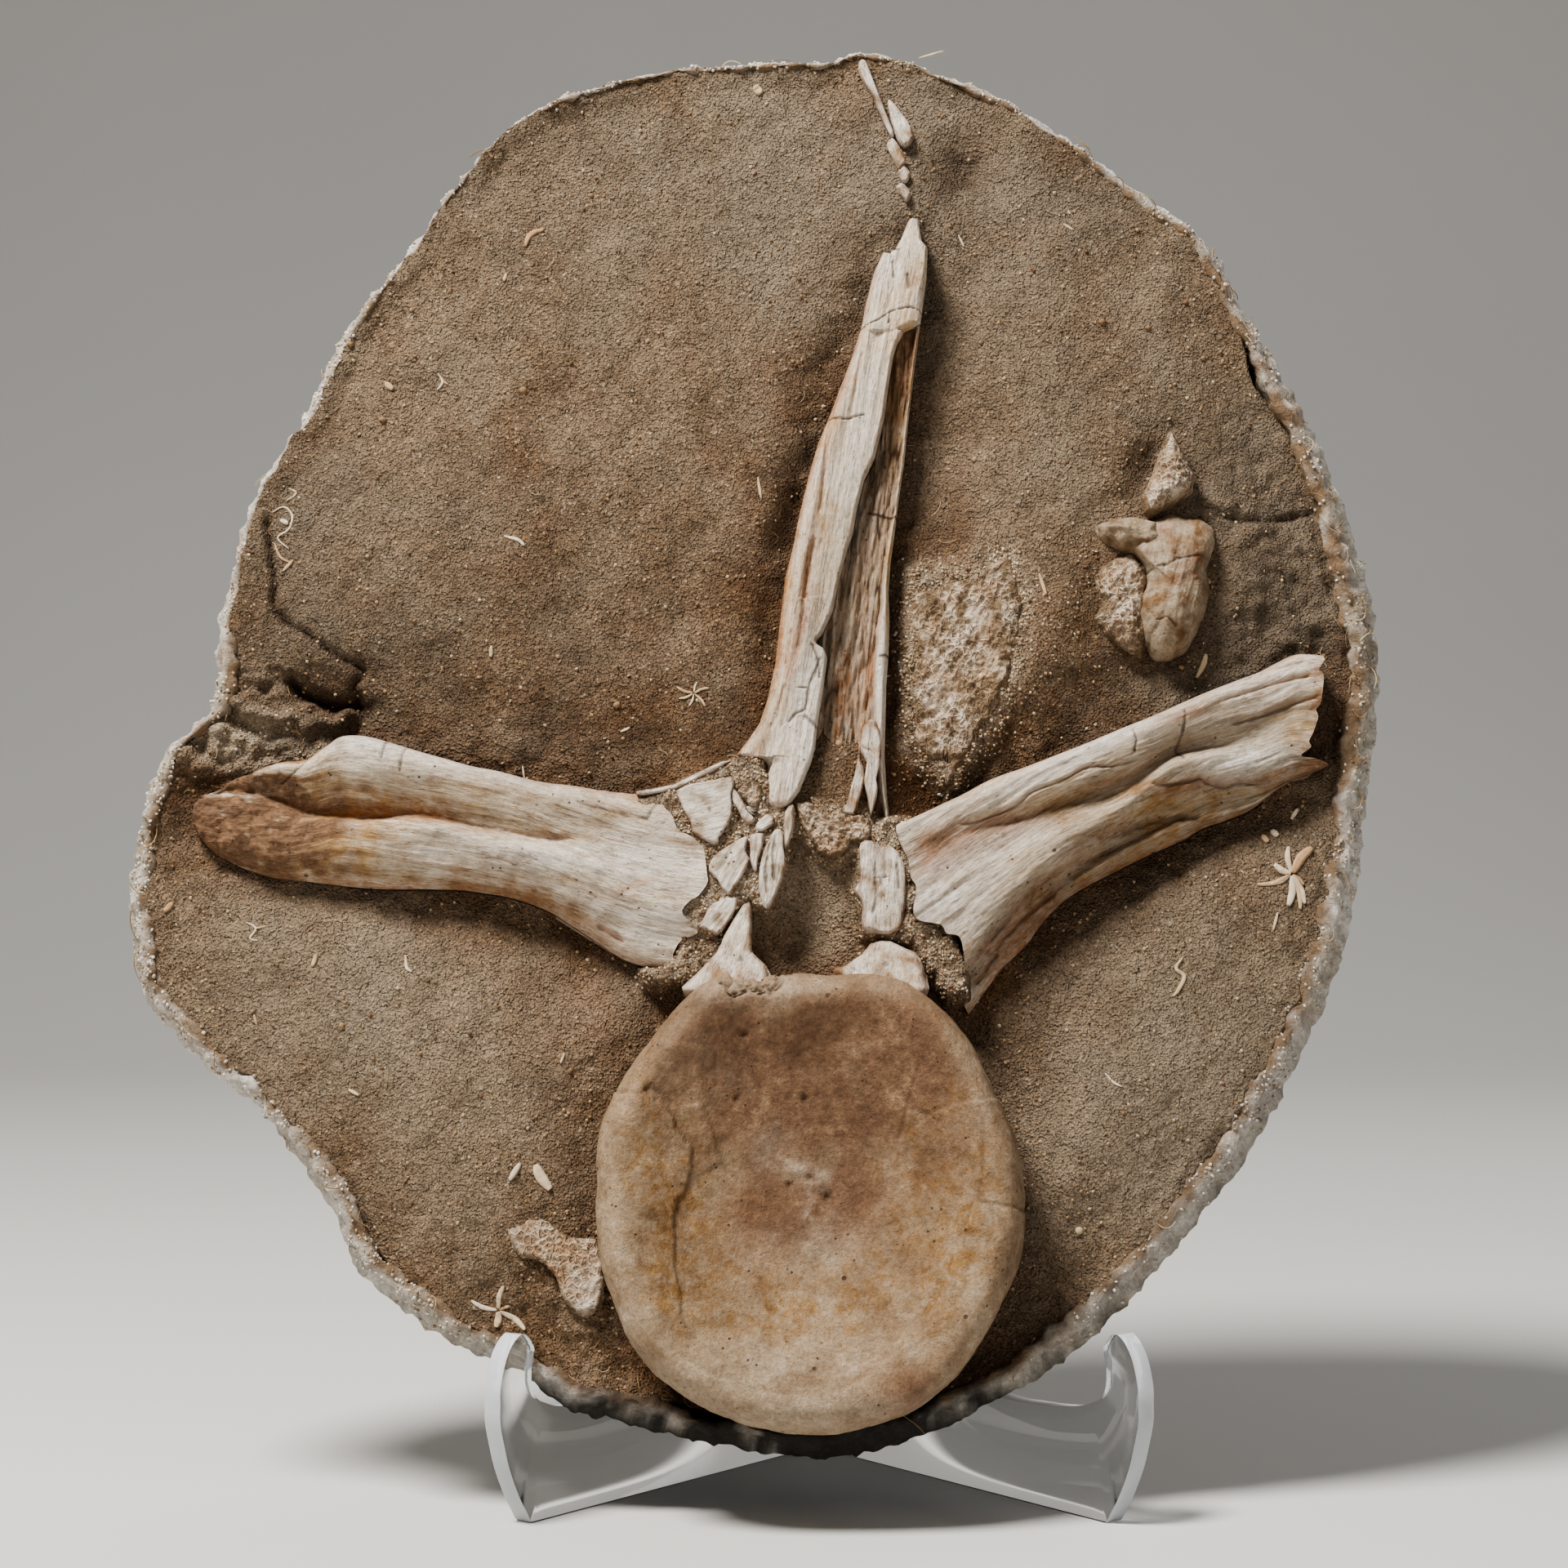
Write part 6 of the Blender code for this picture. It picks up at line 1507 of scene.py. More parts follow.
def makeSpineTrough():
    # The torn floor of the trough and the thin wall on its right
    stations, shares = spine["troughCells"]
    heights = np.linspace(*spine["troughEnds"], stations)
    left = readEdge(spine["troughLeft"], heights) - 1.6
    left = np.where(heights < 101, np.maximum(left, -3.2), left)
    right, wall = readEdge(spine["right"], heights) - 0.05, readEdge(spine["wall"], heights)
    share = np.linspace(0, 1, shares)[None] ** 0.85
    width = np.maximum(right - left, 0.6)[:, None]
    spots = stacked(left[:, None] + width * share, heights[:, None] + 0 * share)
    flat = spots.reshape(-1, 2)
    up = flat[:, 1]
    rightReach = (width * (1 - share)).ravel()
    wallWidth = np.repeat(np.maximum(right - wall, 0.8), shares)
    wavy = layeredNoise(stacked(up, up * 0), 5, 341, 3) * 0.3
    inWall = easeStep(wallWidth - rightReach + wavy, -0.5, 0.5)
    floor = spine["floorProud"] + 2.6 * easeStep(up, 196, 216) + 0.9 * bell(up - 160, 20)
    floor -= blobs(flat, spine["floorDips"])
    arc = np.sin(np.clip(rightReach / np.maximum(wallWidth, 1), 0, 1) * math.pi)
    crest = spine["wallProud"] * (0.75 + 0.25 * arc) - 1.2 * easeStep(up, 112, 96)
    proud = floor * (1 - inWall) + crest * inWall
    proud -= 2.4 * bell(rightReach, 0.5)
    flow = stacked(249 - up, flat[:, 0] + (249 - up) * 0.1, proud)
    grain = flow * np.array([0.10, 1.0, 0.4])
    torn = layeredNoise(grain, 1.7, 345, 3)
    shreds = cellNoise(flow[:, :2] * np.array([0.22, 1.0]), 1.5, 349)
    proud += (torn * 0.9 + (0.5 - shreds) * 1.5) * (1 - inWall)
    proud += layeredNoise(grain, 1.2, 353, 2) * 0.16 * inWall
    crack = np.zeros(len(flat))
    for path, half in spine["wallCracks"]:
        crack = np.maximum(crack, bell(pathReach(flat, path)[0], half))
    coords, faces = closePatch(spots, proud.reshape(stations, shares))
    cloud = layeredNoise(grain, 2.2, 357, 4)
    hollow = easeStep(0.4 - torn - (0.5 - shreds), 0.2, 1.0)
    listed = spine["troughStains"]
    rust = (1 - inWall) * (0.04 + 0.4 * cloud + 0.3 * hollow) + blobs(flat, listed["rust"]) * (0.9 + cloud)
    dust = easeStep(up, 194, 210) + 0.5 * easeStep(0.3 - cloud, 0, 0.6) + 0.5 * easeStep(up, 112, 100)
    stains = {
        "rust": rust + 0.4 * easeStep(up, 190, 205),
        "ochre": 0.35 * inWall + blobs(flat, listed["ochre"]) * (0.9 + cloud),
        "grey": (blobs(flat, listed["grey"]) * (0.9 + 0.5 * cloud) + 0.2) * (1 - inWall),
        "pale": blobs(flat, listed["pale"]) * inWall,
        "earth": (1 - inWall) * dust,
    }
    crack = np.maximum(crack, (1 - inWall) * easeStep(shreds, 0.62, 0.95) * 0.9)
    fields = {key: padded(np.clip(value, 0, 1), len(coords)) for key, value in stains.items()}
    fields.update(flow=padded(flow, len(coords)), crack=padded(np.clip(crack, 0, 1), len(coords)))
    return addPiece("spineTrough", coords, faces, looks["bone"], fields, (), "bone")


spinePlate, spineTrough = makeSpinePlate(), makeSpineTrough()
print("neural spine made")


# Broken plates and loose pieces, each from its outline; the ones with a node's name replace it
chips = {
    "arch_plate_upper": dict(
        outline=[(-32.4, 100.8), (-28.1, 102.4), (-25.3, 102.9), (-18.9, 104.0), (-18.4, 101.8),
          (-19.1, 99.5), (-18.8, 96.6), (-19.1, 93.7), (-20.7, 90.8), (-22.1, 88.5), (-22.3, 87),
          (-25.2, 87.9), (-28.7, 90.2), (-29.2, 92.6), (-31.0, 96.0), (-31.8, 98.3)], proud=8.5, grain=16),
    "arch_plate_middle": dict(
        outline=[(-21.5, 85.6), (-18.4, 87.6), (-15.2, 89.0), (-15.5, 85.6), (-14.6, 82.8), (-16.7, 78.7),
          (-19.5, 74.6), (-21.2, 75.9), (-22.3, 78.2), (-24.6, 80.5), (-24.1, 82.8), (-22.9, 84.5)],
        proud=8.5, grain=60),
    "arch_plate_lower": dict(
        outline=[(-24.0, 71.9), (-21.6, 73.2), (-19.5, 73.9), (-17.6, 73.6), (-17.9, 71.3), (-20.0, 67.3),
          (-22.3, 64.8), (-24.6, 65.6), (-26.4, 66.8), (-25.7, 69.0)], proud=8.0, grain=50),
    "arch_plate_small": dict(
        outline=[(-18.7, 101.3), (-17.3, 99.8), (-15.8, 97.0), (-15.0, 95.4), (-12.4, 95.6), (-12.8, 93.2),
          (-15.0, 92.1), (-16.4, 93.8), (-17.3, 95.5), (-18.8, 97.9), (-19.0, 99.6)], proud=8.1, grain=70),
    "arch_strip": dict(
        outline=[(-10.6, 86.6), (-8.3, 90.6), (-6.2, 90.2), (-6.1, 85.7), (-5.5, 82.2), (-6.4, 78.8),
          (-8.1, 74.7), (-9.8, 71.4), (-11.3, 72.4), (-12.2, 76.5), (-12.0, 81.1), (-11.3, 84.5)],
        proud=8.5, grain=80, cracks=[([(-8, 90), (-8.8, 84), (-8.4, 78)], 0.25),
          ([(-9.6, 87), (-10.6, 80), (-10.2, 75)], 0.3)]),
    "archChipOuter": dict(
        outline=[(-17.2, 101.0), (-14.4, 103.4), (-11.7, 101.9), (-11.5, 98.4), (-12.9, 96.2),
          (-14.4, 96.5), (-15.9, 98.2), (-17.0, 99.9)], proud=8.0, grain=70, rough=0.5, look="spongy"),
    "archChipUpper": dict(
        outline=[(-13.0, 92.1), (-10.5, 94.6), (-8.3, 94.2), (-8.8, 92.2), (-11.3, 90.5), (-12.7, 90.7)],
        proud=8.1, grain=30),
    "archChipMiddle": dict(
        outline=[(-14.3, 89.2), (-11.2, 89.8), (-11.4, 86.3), (-12.4, 83.4), (-12.9, 80.4), (-14.2, 82.8),
          (-14.4, 86.3)], proud=8.2, grain=84),
    "archChipInner": dict(
        outline=[(-5.6, 95.5), (-3.7, 97.0), (-3.4, 92.6), (-4.7, 88.0), (-5.8, 85.9), (-6.0, 90.3)],
        proud=8.0, grain=84),
    "archSliver": dict(
        outline=[(-42.5, 100.6), (-37.3, 101.6), (-33.3, 102.3), (-27.6, 105.2), (-20.6, 108.4),
          (-20.0, 107.6), (-27.0, 103.9), (-33.0, 101.2), (-37.0, 100.2), (-42, 99.6)], proud=7.4, grain=22,
        rounding=0.5, middle=(-31.5, 102.4)),
    "arch_right": dict(
        outline=[(12.6, 85.8), (13.4, 87.6), (15.6, 87.9), (17.0, 86.0), (19.2, 86.8), (21.2, 86.0),
          (23.1, 83.2), (24.2, 78.6), (23.8, 72.8), (23.0, 66.6), (21.4, 65.4), (18.8, 64.8), (13.9, 66.0),
          (13.1, 72.8), (11.5, 75.7), (13.0, 78.6)], proud=9.0, grain=86,
        cracks=[([(16.8, 85.6), (16.4, 81), (16.9, 74), (16, 70)], 0.3),
          ([(16.4, 78.5), (20.4, 78.8)], 0.22), ([(21.8, 82), (22.4, 76)], 0.25)]),
    "archRightStrip": dict(
        outline=[(19.8, 91), (21.2, 89.4), (23.4, 84.3), (25.2, 78.2), (24.8, 72.6), (24.2, 73.4),
          (24.5, 78.2), (22.9, 83.6), (20.4, 87.8)], proud=7.4, grain=-72, rounding=0.4,
        middle=(24.0, 79.6)),
    "spinePlateLower": dict(
        outline=[(14.0, 117.4), (16.0, 118.4), (17.2, 117.0), (18.2, 112.3), (17.8, 107.6), (16.9, 103.6),
          (17.2, 100.7), (16.0, 95.7), (15.4, 94.2), (14.7, 99.5), (13.9, 103.0), (14.6, 108.2),
          (13.2, 111.1)], proud=8.2, grain=86, cracks=[([(15.4, 117), (15.8, 112.6), (16.2, 111)], 0.25),
          ([(13.6, 111.4), (16, 110.4)], 0.22)]),
    "spinePlateInner": dict(
        outline=[(12.5, 109.8), (13.9, 105.5), (14.0, 103.7), (12.6, 98.5), (11.5, 94.7), (9.0, 95.2),
          (10.2, 99.7), (11.7, 105.5)], proud=6.8, grain=84),
    "pedicle_left": dict(
        outline=[(-16.2, 72.4), (-14.1, 73.4), (-13.9, 66), (-13.7, 60.2), (-10.4, 56.6), (-9, 50),
          (-22, 47), (-31, 50.4), (-27.4, 54.6), (-22.6, 60.2), (-20.2, 65.4), (-18.6, 68.6)], proud=10.6,
        grain=72, slope=(0, -0.26, 60), rounding=1.6, deep=6, middle=(-16.6, 58.4), tan=0.5),
    "pedicle_right": dict(
        outline=[(9.6, 57.2), (13.2, 59.8), (15.2, 62.4), (18, 63.4), (20.4, 63.2), (23.0, 61.8),
          (26.1, 60.2), (28.4, 56), (29, 50), (24, 47), (12, 49), (6, 55.6)], proud=10.6, grain=88,
        slope=(0, -0.42, 58), rounding=1.6, deep=6, tan=0.6),
    "loose_cone": dict(
        outline=[(91.8, 194.0), (93.6, 191.6), (94.8, 188.4), (96.6, 185.0), (98.1, 181.7), (97.4, 178.6),
          (96.9, 177.4), (94.0, 175.5), (91.2, 173.5), (88.4, 172.0), (86.3, 171.0), (85.0, 172.6),
          (84.6, 175.9), (85.2, 178.3), (86.9, 181.7), (88.5, 186.5), (90.1, 190.8)], proud=10.6, grain=80,
        look="spongy", rounding=5.0, sides=200, rings=60, rough=0.7, slot="spongy_bone", sandy=0.25),
    "loose_round_bone": dict(
        outline=[(80.4, 169.0), (84, 170.4), (88.9, 171.4), (92, 172.6), (95.7, 171.6), (98.9, 171.5),
          (101.6, 169.4), (103, 165.6), (102, 161.8), (100.8, 158), (101.2, 152.3), (99.9, 146.6),
          (97.4, 141.0), (94.6, 137.2), (91.2, 134.9), (87.8, 135.2), (85.2, 138), (83.4, 142), (82.6, 146),
          (83.6, 150), (85.0, 154), (84.6, 158), (82.6, 161.4), (80.2, 164.6)], proud=12.0, grain=74,
        rounding=9.0, sides=260, rings=80, rough=0.2, cap=True, look="centrum", middle=(91.5, 152),
        stains=dict(rust=[(94, 155, 4, 1.6, 50, 1.3), (88, 167, 2, 1.4, 0, 1.0), (91, 167, 1.2, 3, 0, 0.8)],
          ochre=[(95, 155, 8, 3, 46, 0.9), (99, 150, 1.6, 8, 0, 0.6), (90, 164, 8, 4, 0, 0.5),
            (101, 165, 1.6, 5, 0, 0.8)]), cracks=[([(84.6, 156.2), (87.5, 156.9), (89.8, 157.2),
              (92.2, 158.7), (95.4, 159.4), (98.4, 159.9), (101.6, 160)], 0.3),
          ([(87, 143.6), (89.5, 144.0), (91.7, 142.0)], 0.2)]),
    "looseHorn": dict(
        outline=[(72.8, 169.1), (77.2, 170.9), (82.4, 171.2), (88, 170), (90, 165), (87, 160.4),
          (82.6, 161.4), (78, 163.0), (74, 166)], proud=10.4, grain=-10, rounding=5.0, sides=120, rings=30,
        rough=0.7, look="centrum", slot="spongy_bone"),
    "looseSponge": dict(
        outline=[(77, 161), (82, 162.6), (86, 158), (86, 150), (86, 143), (84, 136.4), (79.6, 137),
          (75.4, 140.4), (71.8, 145.4), (74, 149.2), (72.6, 153), (72, 156.4), (74, 158.6)], proud=7.0,
        grain=60, rounding=6.0, sides=180, rings=46, rough=0.8, ragged=0.08, look="spongy",
        slot="spongy_bone", sandy=0.8),
    "archBridge": dict(
        outline=[(-3.4, 97.9), (-0.1, 98.4), (2.7, 96.4), (5.0, 94.7), (7.3, 96.4), (9.0, 95.5),
          (13.6, 94.9), (16.4, 92.6), (15.2, 88.1), (11.3, 87.7), (9.0, 85.4), (5.5, 83.7), (2.1, 85.4),
          (0.6, 88.3), (-1.9, 92.3)], proud=6.6, grain=-30, rounding=1.2, sides=180, rings=46, rough=0.9,
        ragged=0.12, look="spongy", sandy=0.4),
    "spongy_flake_upper": dict(
        outline=[(26, 154), (31, 153), (37, 156), (44, 158.4), (51.2, 163.8), (52.2, 158), (54.4, 149),
          (53.0, 140), (51.6, 134), (50.6, 129), (46, 120), (41, 112), (37, 105.6), (34.6, 101.6),
          (32.6, 103.6), (35, 108.6), (30.6, 109.4), (26.6, 113), (25.8, 122), (26.4, 134), (25.6, 145)],
        proud=3.0, grain=62, look="spongy", ragged=0.12, rounding=2.6, sides=300, rings=84, rough=0.6,
        slot="spongy_bone", middle=(39, 133), sandy=1.1, brown=0.32),
    "spongy_flake_lower": dict(
        outline=[(-73.4, -8), (-69, -5), (-65, -4.6), (-61, -7), (-58, -9), (-52, -9.4), (-50, -13),
          (-49.6, -20), (-51, -27), (-56, -27.6), (-59.4, -25), (-62, -18), (-66, -14.6), (-70.6, -13.8)],
        proud=3.2, grain=-50, look="spongy", rounding=1.4, sides=220, rings=56, rough=0.4, ragged=0.07,
        slot="spongy_bone", sandy=0.05, brown=-0.25),
    "splinter_top": dict(
        outline=[(13.4, 293.4), (15.4, 293.4), (16.6, 289.7), (18.8, 283.9), (20.7, 278.5), (22.5, 273.7),
          (21.6, 272.7), (20.3, 275.7), (18.4, 280.5), (16.2, 285.6), (13.6, 290.1)], proud=3.0, grain=-68,
        rounding=0.6, middle=(18.2, 283.2)),
    "splinter_side": dict(
        outline=[(20.9, 283.3), (23.3, 280.8), (25.2, 278.1), (26.8, 275.1), (27.5, 272.7), (26.5, 271.1),
          (24.7, 270.1), (23.5, 271.7), (22.2, 275.7), (21.4, 279.1)], proud=3.2, grain=-65, rounding=0.7),
    "splinterMiddle": dict(
        outline=[(20.6, 270.9), (22.4, 272.3), (25.2, 266.8), (25.2, 265.9), (23.8, 264.2), (22.2, 267.1)],
        proud=2.8, grain=-60, rounding=0.5),
    "splinterUnder": dict(
        outline=[(23.5, 263.8), (25, 265.1), (26.4, 262.8), (25.6, 260.7), (24.5, 261.0)], proud=2.7,
        grain=-60, rounding=0.5),
    "splinter_lower": dict(
        outline=[(22.9, 259.2), (24.6, 260.4), (26.6, 257.5), (25.7, 255.6), (24.6, 256.6)], proud=2.8,
        grain=-60, rounding=0.6),
}


def makeChip(name, seed):
    chip = chips[name]
    outline = chip["outline"]
    middle = np.array(chip.get("middle", np.mean(softCurve(outline, 6, closed=True), axis=0)))
    table = polarTable(outline, middle, 6)
    sides, rings = chip.get("sides", 110), chip.get("rings", 22)
    rounding, rough = chip.get("rounding", 0.5), chip.get("rough", 0.14)
    angle = np.arange(sides) / sides * math.tau
    circle = stacked(np.cos(angle), np.sin(angle))
    wobble = chip.get("ragged", 0.03) * layeredNoise(circle * 10, 2.2, seed, 3)
    edge = polarReach(table, angle) * (1 + wobble)
    share = np.linspace(0, 1, rings + 1)[1:] ** 0.8
    spots = middle + circle[None] * (edge[None] * share[:, None])[..., None]
    flat = spots.reshape(-1, 2)
    inset = np.maximum(insideReach(flat, outline), 0)
    lift = rounded(inset, rounding)
    if chip.get("cap"):
        lift = np.sqrt(1 - np.repeat(share, sides) ** 2.2)
    low = max(chip["proud"] - rounding * 1.6, 0.6)
    proud = low + (chip["proud"] - low) * lift
    slopeX, slopeY, origin = chip.get("slope", (0, 0, 0))
    proud += slopeX * (flat[:, 0] - middle[0]) + slopeY * (flat[:, 1] - origin)
    turn = math.radians(chip["grain"])
    along = flat @ np.array([math.cos(turn), math.sin(turn)])
    aside = flat @ np.array([-math.sin(turn), math.cos(turn)])
    flow = stacked(along, aside, proud)
    proud += (layeredNoise(flow * np.array([0.12, 1, 0.5]), 1.6, seed + 3, 3) * 0.24
            + layeredNoise(flat, 6, seed + 5, 2) * 0.3)
    sponge = cellNoise(flat, 1.5, seed + 7) if chip.get("look") == "spongy" else np.full(len(flat), 0.45)
    proud += rough * (layeredNoise(flat, 3.4, seed + 11, 3) * 0.8 + (sponge - 0.45) * 1.1)
    crack = np.zeros(len(flat))
    for path, half in chip.get("cracks", ()):
        reach = pathReach(flat, path)[0] + layeredNoise(flat, 3, seed + 13, 2) * 0.3
        crack = np.maximum(crack, bell(reach, half))
    proud -= 0.4 * crack
    crack *= 0.6
    foot = -3.0 - chip.get("deep", 0)
    centre = np.array([[*middle, proud[:sides].mean()]])
    skirt = stacked(spots[-1][:, 0], spots[-1][:, 1], np.full(sides, foot))
    coords = np.vstack([np.column_stack([flat, proud]), skirt, centre, [[*middle, foot]]])
    index = np.arange((rings + 1) * sides).reshape(rings + 1, sides)
    after = np.roll(index, -1, axis=1)
    quads = stacked(index[:-1], index[1:], after[1:], after[:-1]).reshape(-1, 4).astype(int)
    hub = (rings + 1) * sides
    fans = np.vstack([stacked(index[0], after[0], np.full(sides, hub)),
              stacked(after[-1], index[-1], np.full(sides, hub + 1))])
    mist = layeredNoise(flat, 5, seed + 17, 3)
    dome = "cap" in chip
    spongy = chip.get("look") == "spongy"
    tan = chip.get("tan", 0)
    bareEdge = easeStep(0.9 - inset, 0, 0.9) * (not dome and not spongy)
    sandy = chip.get("brown", 0) + chip.get("sandy", 0) * (easeStep(5 - inset, 0, 5) + 1.2 * mist)
    values = {
        "crack": crack,
        "rust": 0.75 * bareEdge + 0.25 * mist + 0.6 * tan + 0.2 * dome,
        "ochre": (0.25 + 0.7 * mist) * (1.6 if dome else 0.6) + tan,
        "pale": 0.4 - 0.5 * mist,
        "sandy": easeStep(1.6 - inset, 0, 1.6) * 0.8 + sandy,
        # On the domed bone the grey grows below 150 up, towards its lower side: painted shade on the side
        # turned from the light
        "grey": easeStep(150 - flat[:, 1], 0, 12) * 0.8 + 0.3 if dome else 0.3 + mist,
    }
    for key, listed in chip.get("stains", {}).items():
        values[key] += blobs(flat, listed)
    fields = {key: padded(np.clip(value, 0, 1), len(coords), 0.4) for key, value in values.items()}
    fields["flow"] = padded(flow, len(coords))
    slot = chip.get("slot", "bone")
    return addPiece(name, coords, [quads, fans.astype(int)], looks[chip.get("look", "bone")], fields,
                    [name] if "_" in name else (), slot)


for number, chipName in enumerate(chips):
    makeChip(chipName, 400 + number * 20)
print("plates and loose bones made")


# Scattered grains, crumbs and fibres: Geometry Nodes over a copy of a finished surface, made plain meshes
# Density is per square metre where the field is 1, sizes are metres for a lump and drawn sizes for a fibre
scatters = {
    "sandGrains": dict(
        surface="sand", field="grains", density=60000, smallest=0.00022, largest=0.00062, form="lump",
        look="grain", seed=3),
    "sandPebbles": dict(
        surface="sand", field="grains", density=700, smallest=0.0006, largest=0.0012, form="lump",
        look="grain", seed=5),
    "boneRubble": dict(
        surface="sand", field="rubble", density=1000000, smallest=0.0002, largest=0.0006, form="lump",
        look="rubble", seed=13),
    "boneShreds": dict(
        surface="sand", field="rubble", density=60000, smallest=0.2, largest=0.6, form="fibre",
        look="rubble", seed=15),
    "plasterCrumbs": dict(
        surface="jacket", field="crumbs", density=700000, smallest=0.00022, largest=0.00062, form="lump",
        look="crumb", seed=7),
    "rimFibres": dict(
        surface="jacket", field="fibres", density=26000, smallest=0.5, largest=1.5, form="fibre",
        look="fibre", seed=9),
    "sandFibres": dict(
        surface="sand", field="shreds", density=16000, smallest=0.25, largest=0.8, form="fibre",
        look="fibre", seed=11),
}


def scatterTree(name, form, look):
    group = bpy.data.node_groups.new(name, "GeometryNodeTree")
    sockets = {}
    group.interface.new_socket("Geometry", in_out="OUTPUT", socket_type="NodeSocketGeometry")
    kinds = {"Geometry": "Geometry", "Density": "Float", "Smallest": "Float", "Largest": "Float",
            "Seed": "Int"}
    for label, kind in kinds.items():
        socket = group.interface.new_socket(label, in_out="INPUT", socket_type="NodeSocket" + kind)
        sockets[label] = socket.identifier
    start = group.nodes.new("NodeGroupInput").outputs

    def add(kind, settings=None, inputs=None):
        return addNode(group, kind, settings, inputs)

    density = add("GeometryNodeInputNamedAttribute", {"data_type": "FLOAT"}, {"Name": "scatter"}).outputs[0]
    density = add("ShaderNodeMath", {"operation": "MULTIPLY"}, {0: density, 1: start["Density"]}).outputs[0]
    spread = add("GeometryNodeDistributePointsOnFaces", None,
            {"Mesh": start["Geometry"], "Density": density, "Seed": start["Seed"]})
    if form == "lump":
        shape = add("GeometryNodeMeshIcoSphere", None, {"Radius": 1.0, "Subdivisions": 1}).outputs["Mesh"]
        shape = add("GeometryNodeSetShadeSmooth", None, {0: shape}).outputs[0]
        low, high = (0.0, 0.0, 0.0), (math.tau, math.tau, math.tau)
    else:
        line = add("GeometryNodeCurveQuadraticBezier", None,
                {"Resolution": 7, "Start": (-0.0030, 0.0, 0.0), "Middle": (0.0004, 0.0024, 0.0014),
                  "End": (0.0032, -0.0004, 0.0002)})
        ring = add("GeometryNodeCurvePrimitiveCircle", None, {"Resolution": 3, "Radius": 0.00011})
        shape = add("GeometryNodeCurveToMesh", None,
                {"Curve": line.outputs[0], "Profile Curve": ring.outputs[0], "Fill Caps": True}).outputs[0]
        low, high = (-0.35, -0.35, 0.0), (0.35, 0.35, math.tau)
    turn = add("FunctionNodeRandomValue", {"data_type": "FLOAT_VECTOR"},
            {0: low, 1: high, "Seed": 21}).outputs[0]
    turn = add("FunctionNodeEulerToRotation", None, {0: turn}).outputs[0]
    turn = add("FunctionNodeRotateRotation", {"rotation_space": "LOCAL"},
            {0: spread.outputs["Rotation"], 1: turn}).outputs[0]
    size = add("FunctionNodeRandomValue", {"data_type": "FLOAT_VECTOR"},
            {0: start["Smallest"], 1: start["Largest"], "Seed": 22}).outputs[0]
    placed = add("GeometryNodeInstanceOnPoints", None,
            {"Points": spread.outputs["Points"], "Instance": shape, "Rotation": turn, "Scale": size})
    store = add("GeometryNodeStoreNamedAttribute", {"data_type": "FLOAT", "domain": "INSTANCE"},
            {"Geometry": placed.outputs[0], "Name": "shade"})
    chance = add("FunctionNodeRandomValue", {"data_type": "FLOAT"}, {2: 0.0, 3: 1.0, "Seed": 23}).outputs[1]
    group.links.new(chance, next(s for s in store.inputs if s.name == "Value" and s.enabled))
    whole = add("GeometryNodeRealizeInstances", None, {0: store.outputs[0]}).outputs[0]
    last = add("GeometryNodeSetMaterial", None, {"Geometry": whole, "Material": look}).outputs[0]
    group.links.new(last, group.nodes.new("NodeGroupOutput").inputs[0])
    return group, sockets


def scatterOver(name, surface, field, density, smallest, largest, form, look, seed):
    carrier = bpy.data.objects.new(name + "Carrier",
            {"sand": sandBlock, "jacket": plasterJacket}[surface].data.copy())
    bpy.context.scene.collection.objects.link(carrier)
    values = np.zeros(len(carrier.data.vertices), np.float32)
    carrier.data.attributes[field].data.foreach_get("value", values)
    carrier.data.attributes.new("scatter", "FLOAT", "POINT").data.foreach_set("value", values)
    group, sockets = scatterTree(name, form, looks[look])
    modifier = carrier.modifiers.new("scatter", "NODES")
    modifier.node_group = group
    for label, value in (("Density", float(density)), ("Smallest", smallest), ("Largest", largest),
            ("Seed", seed)):
        modifier[sockets[label]] = value
    graph = bpy.context.evaluated_depsgraph_get()
    mesh = bpy.data.meshes.new_from_object(carrier.evaluated_get(graph), preserve_all_data_layers=True,
            depsgraph=graph)
    mesh.name = name
    bpy.data.objects.remove(carrier)
    piece = bpy.data.objects.new(name, mesh)
    bpy.context.scene.collection.objects.link(piece)
    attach(piece, "root")
    print(name, len(mesh.polygons), "faces")


for scatterName, scatter in scatters.items():
    scatterOver(scatterName, **scatter)


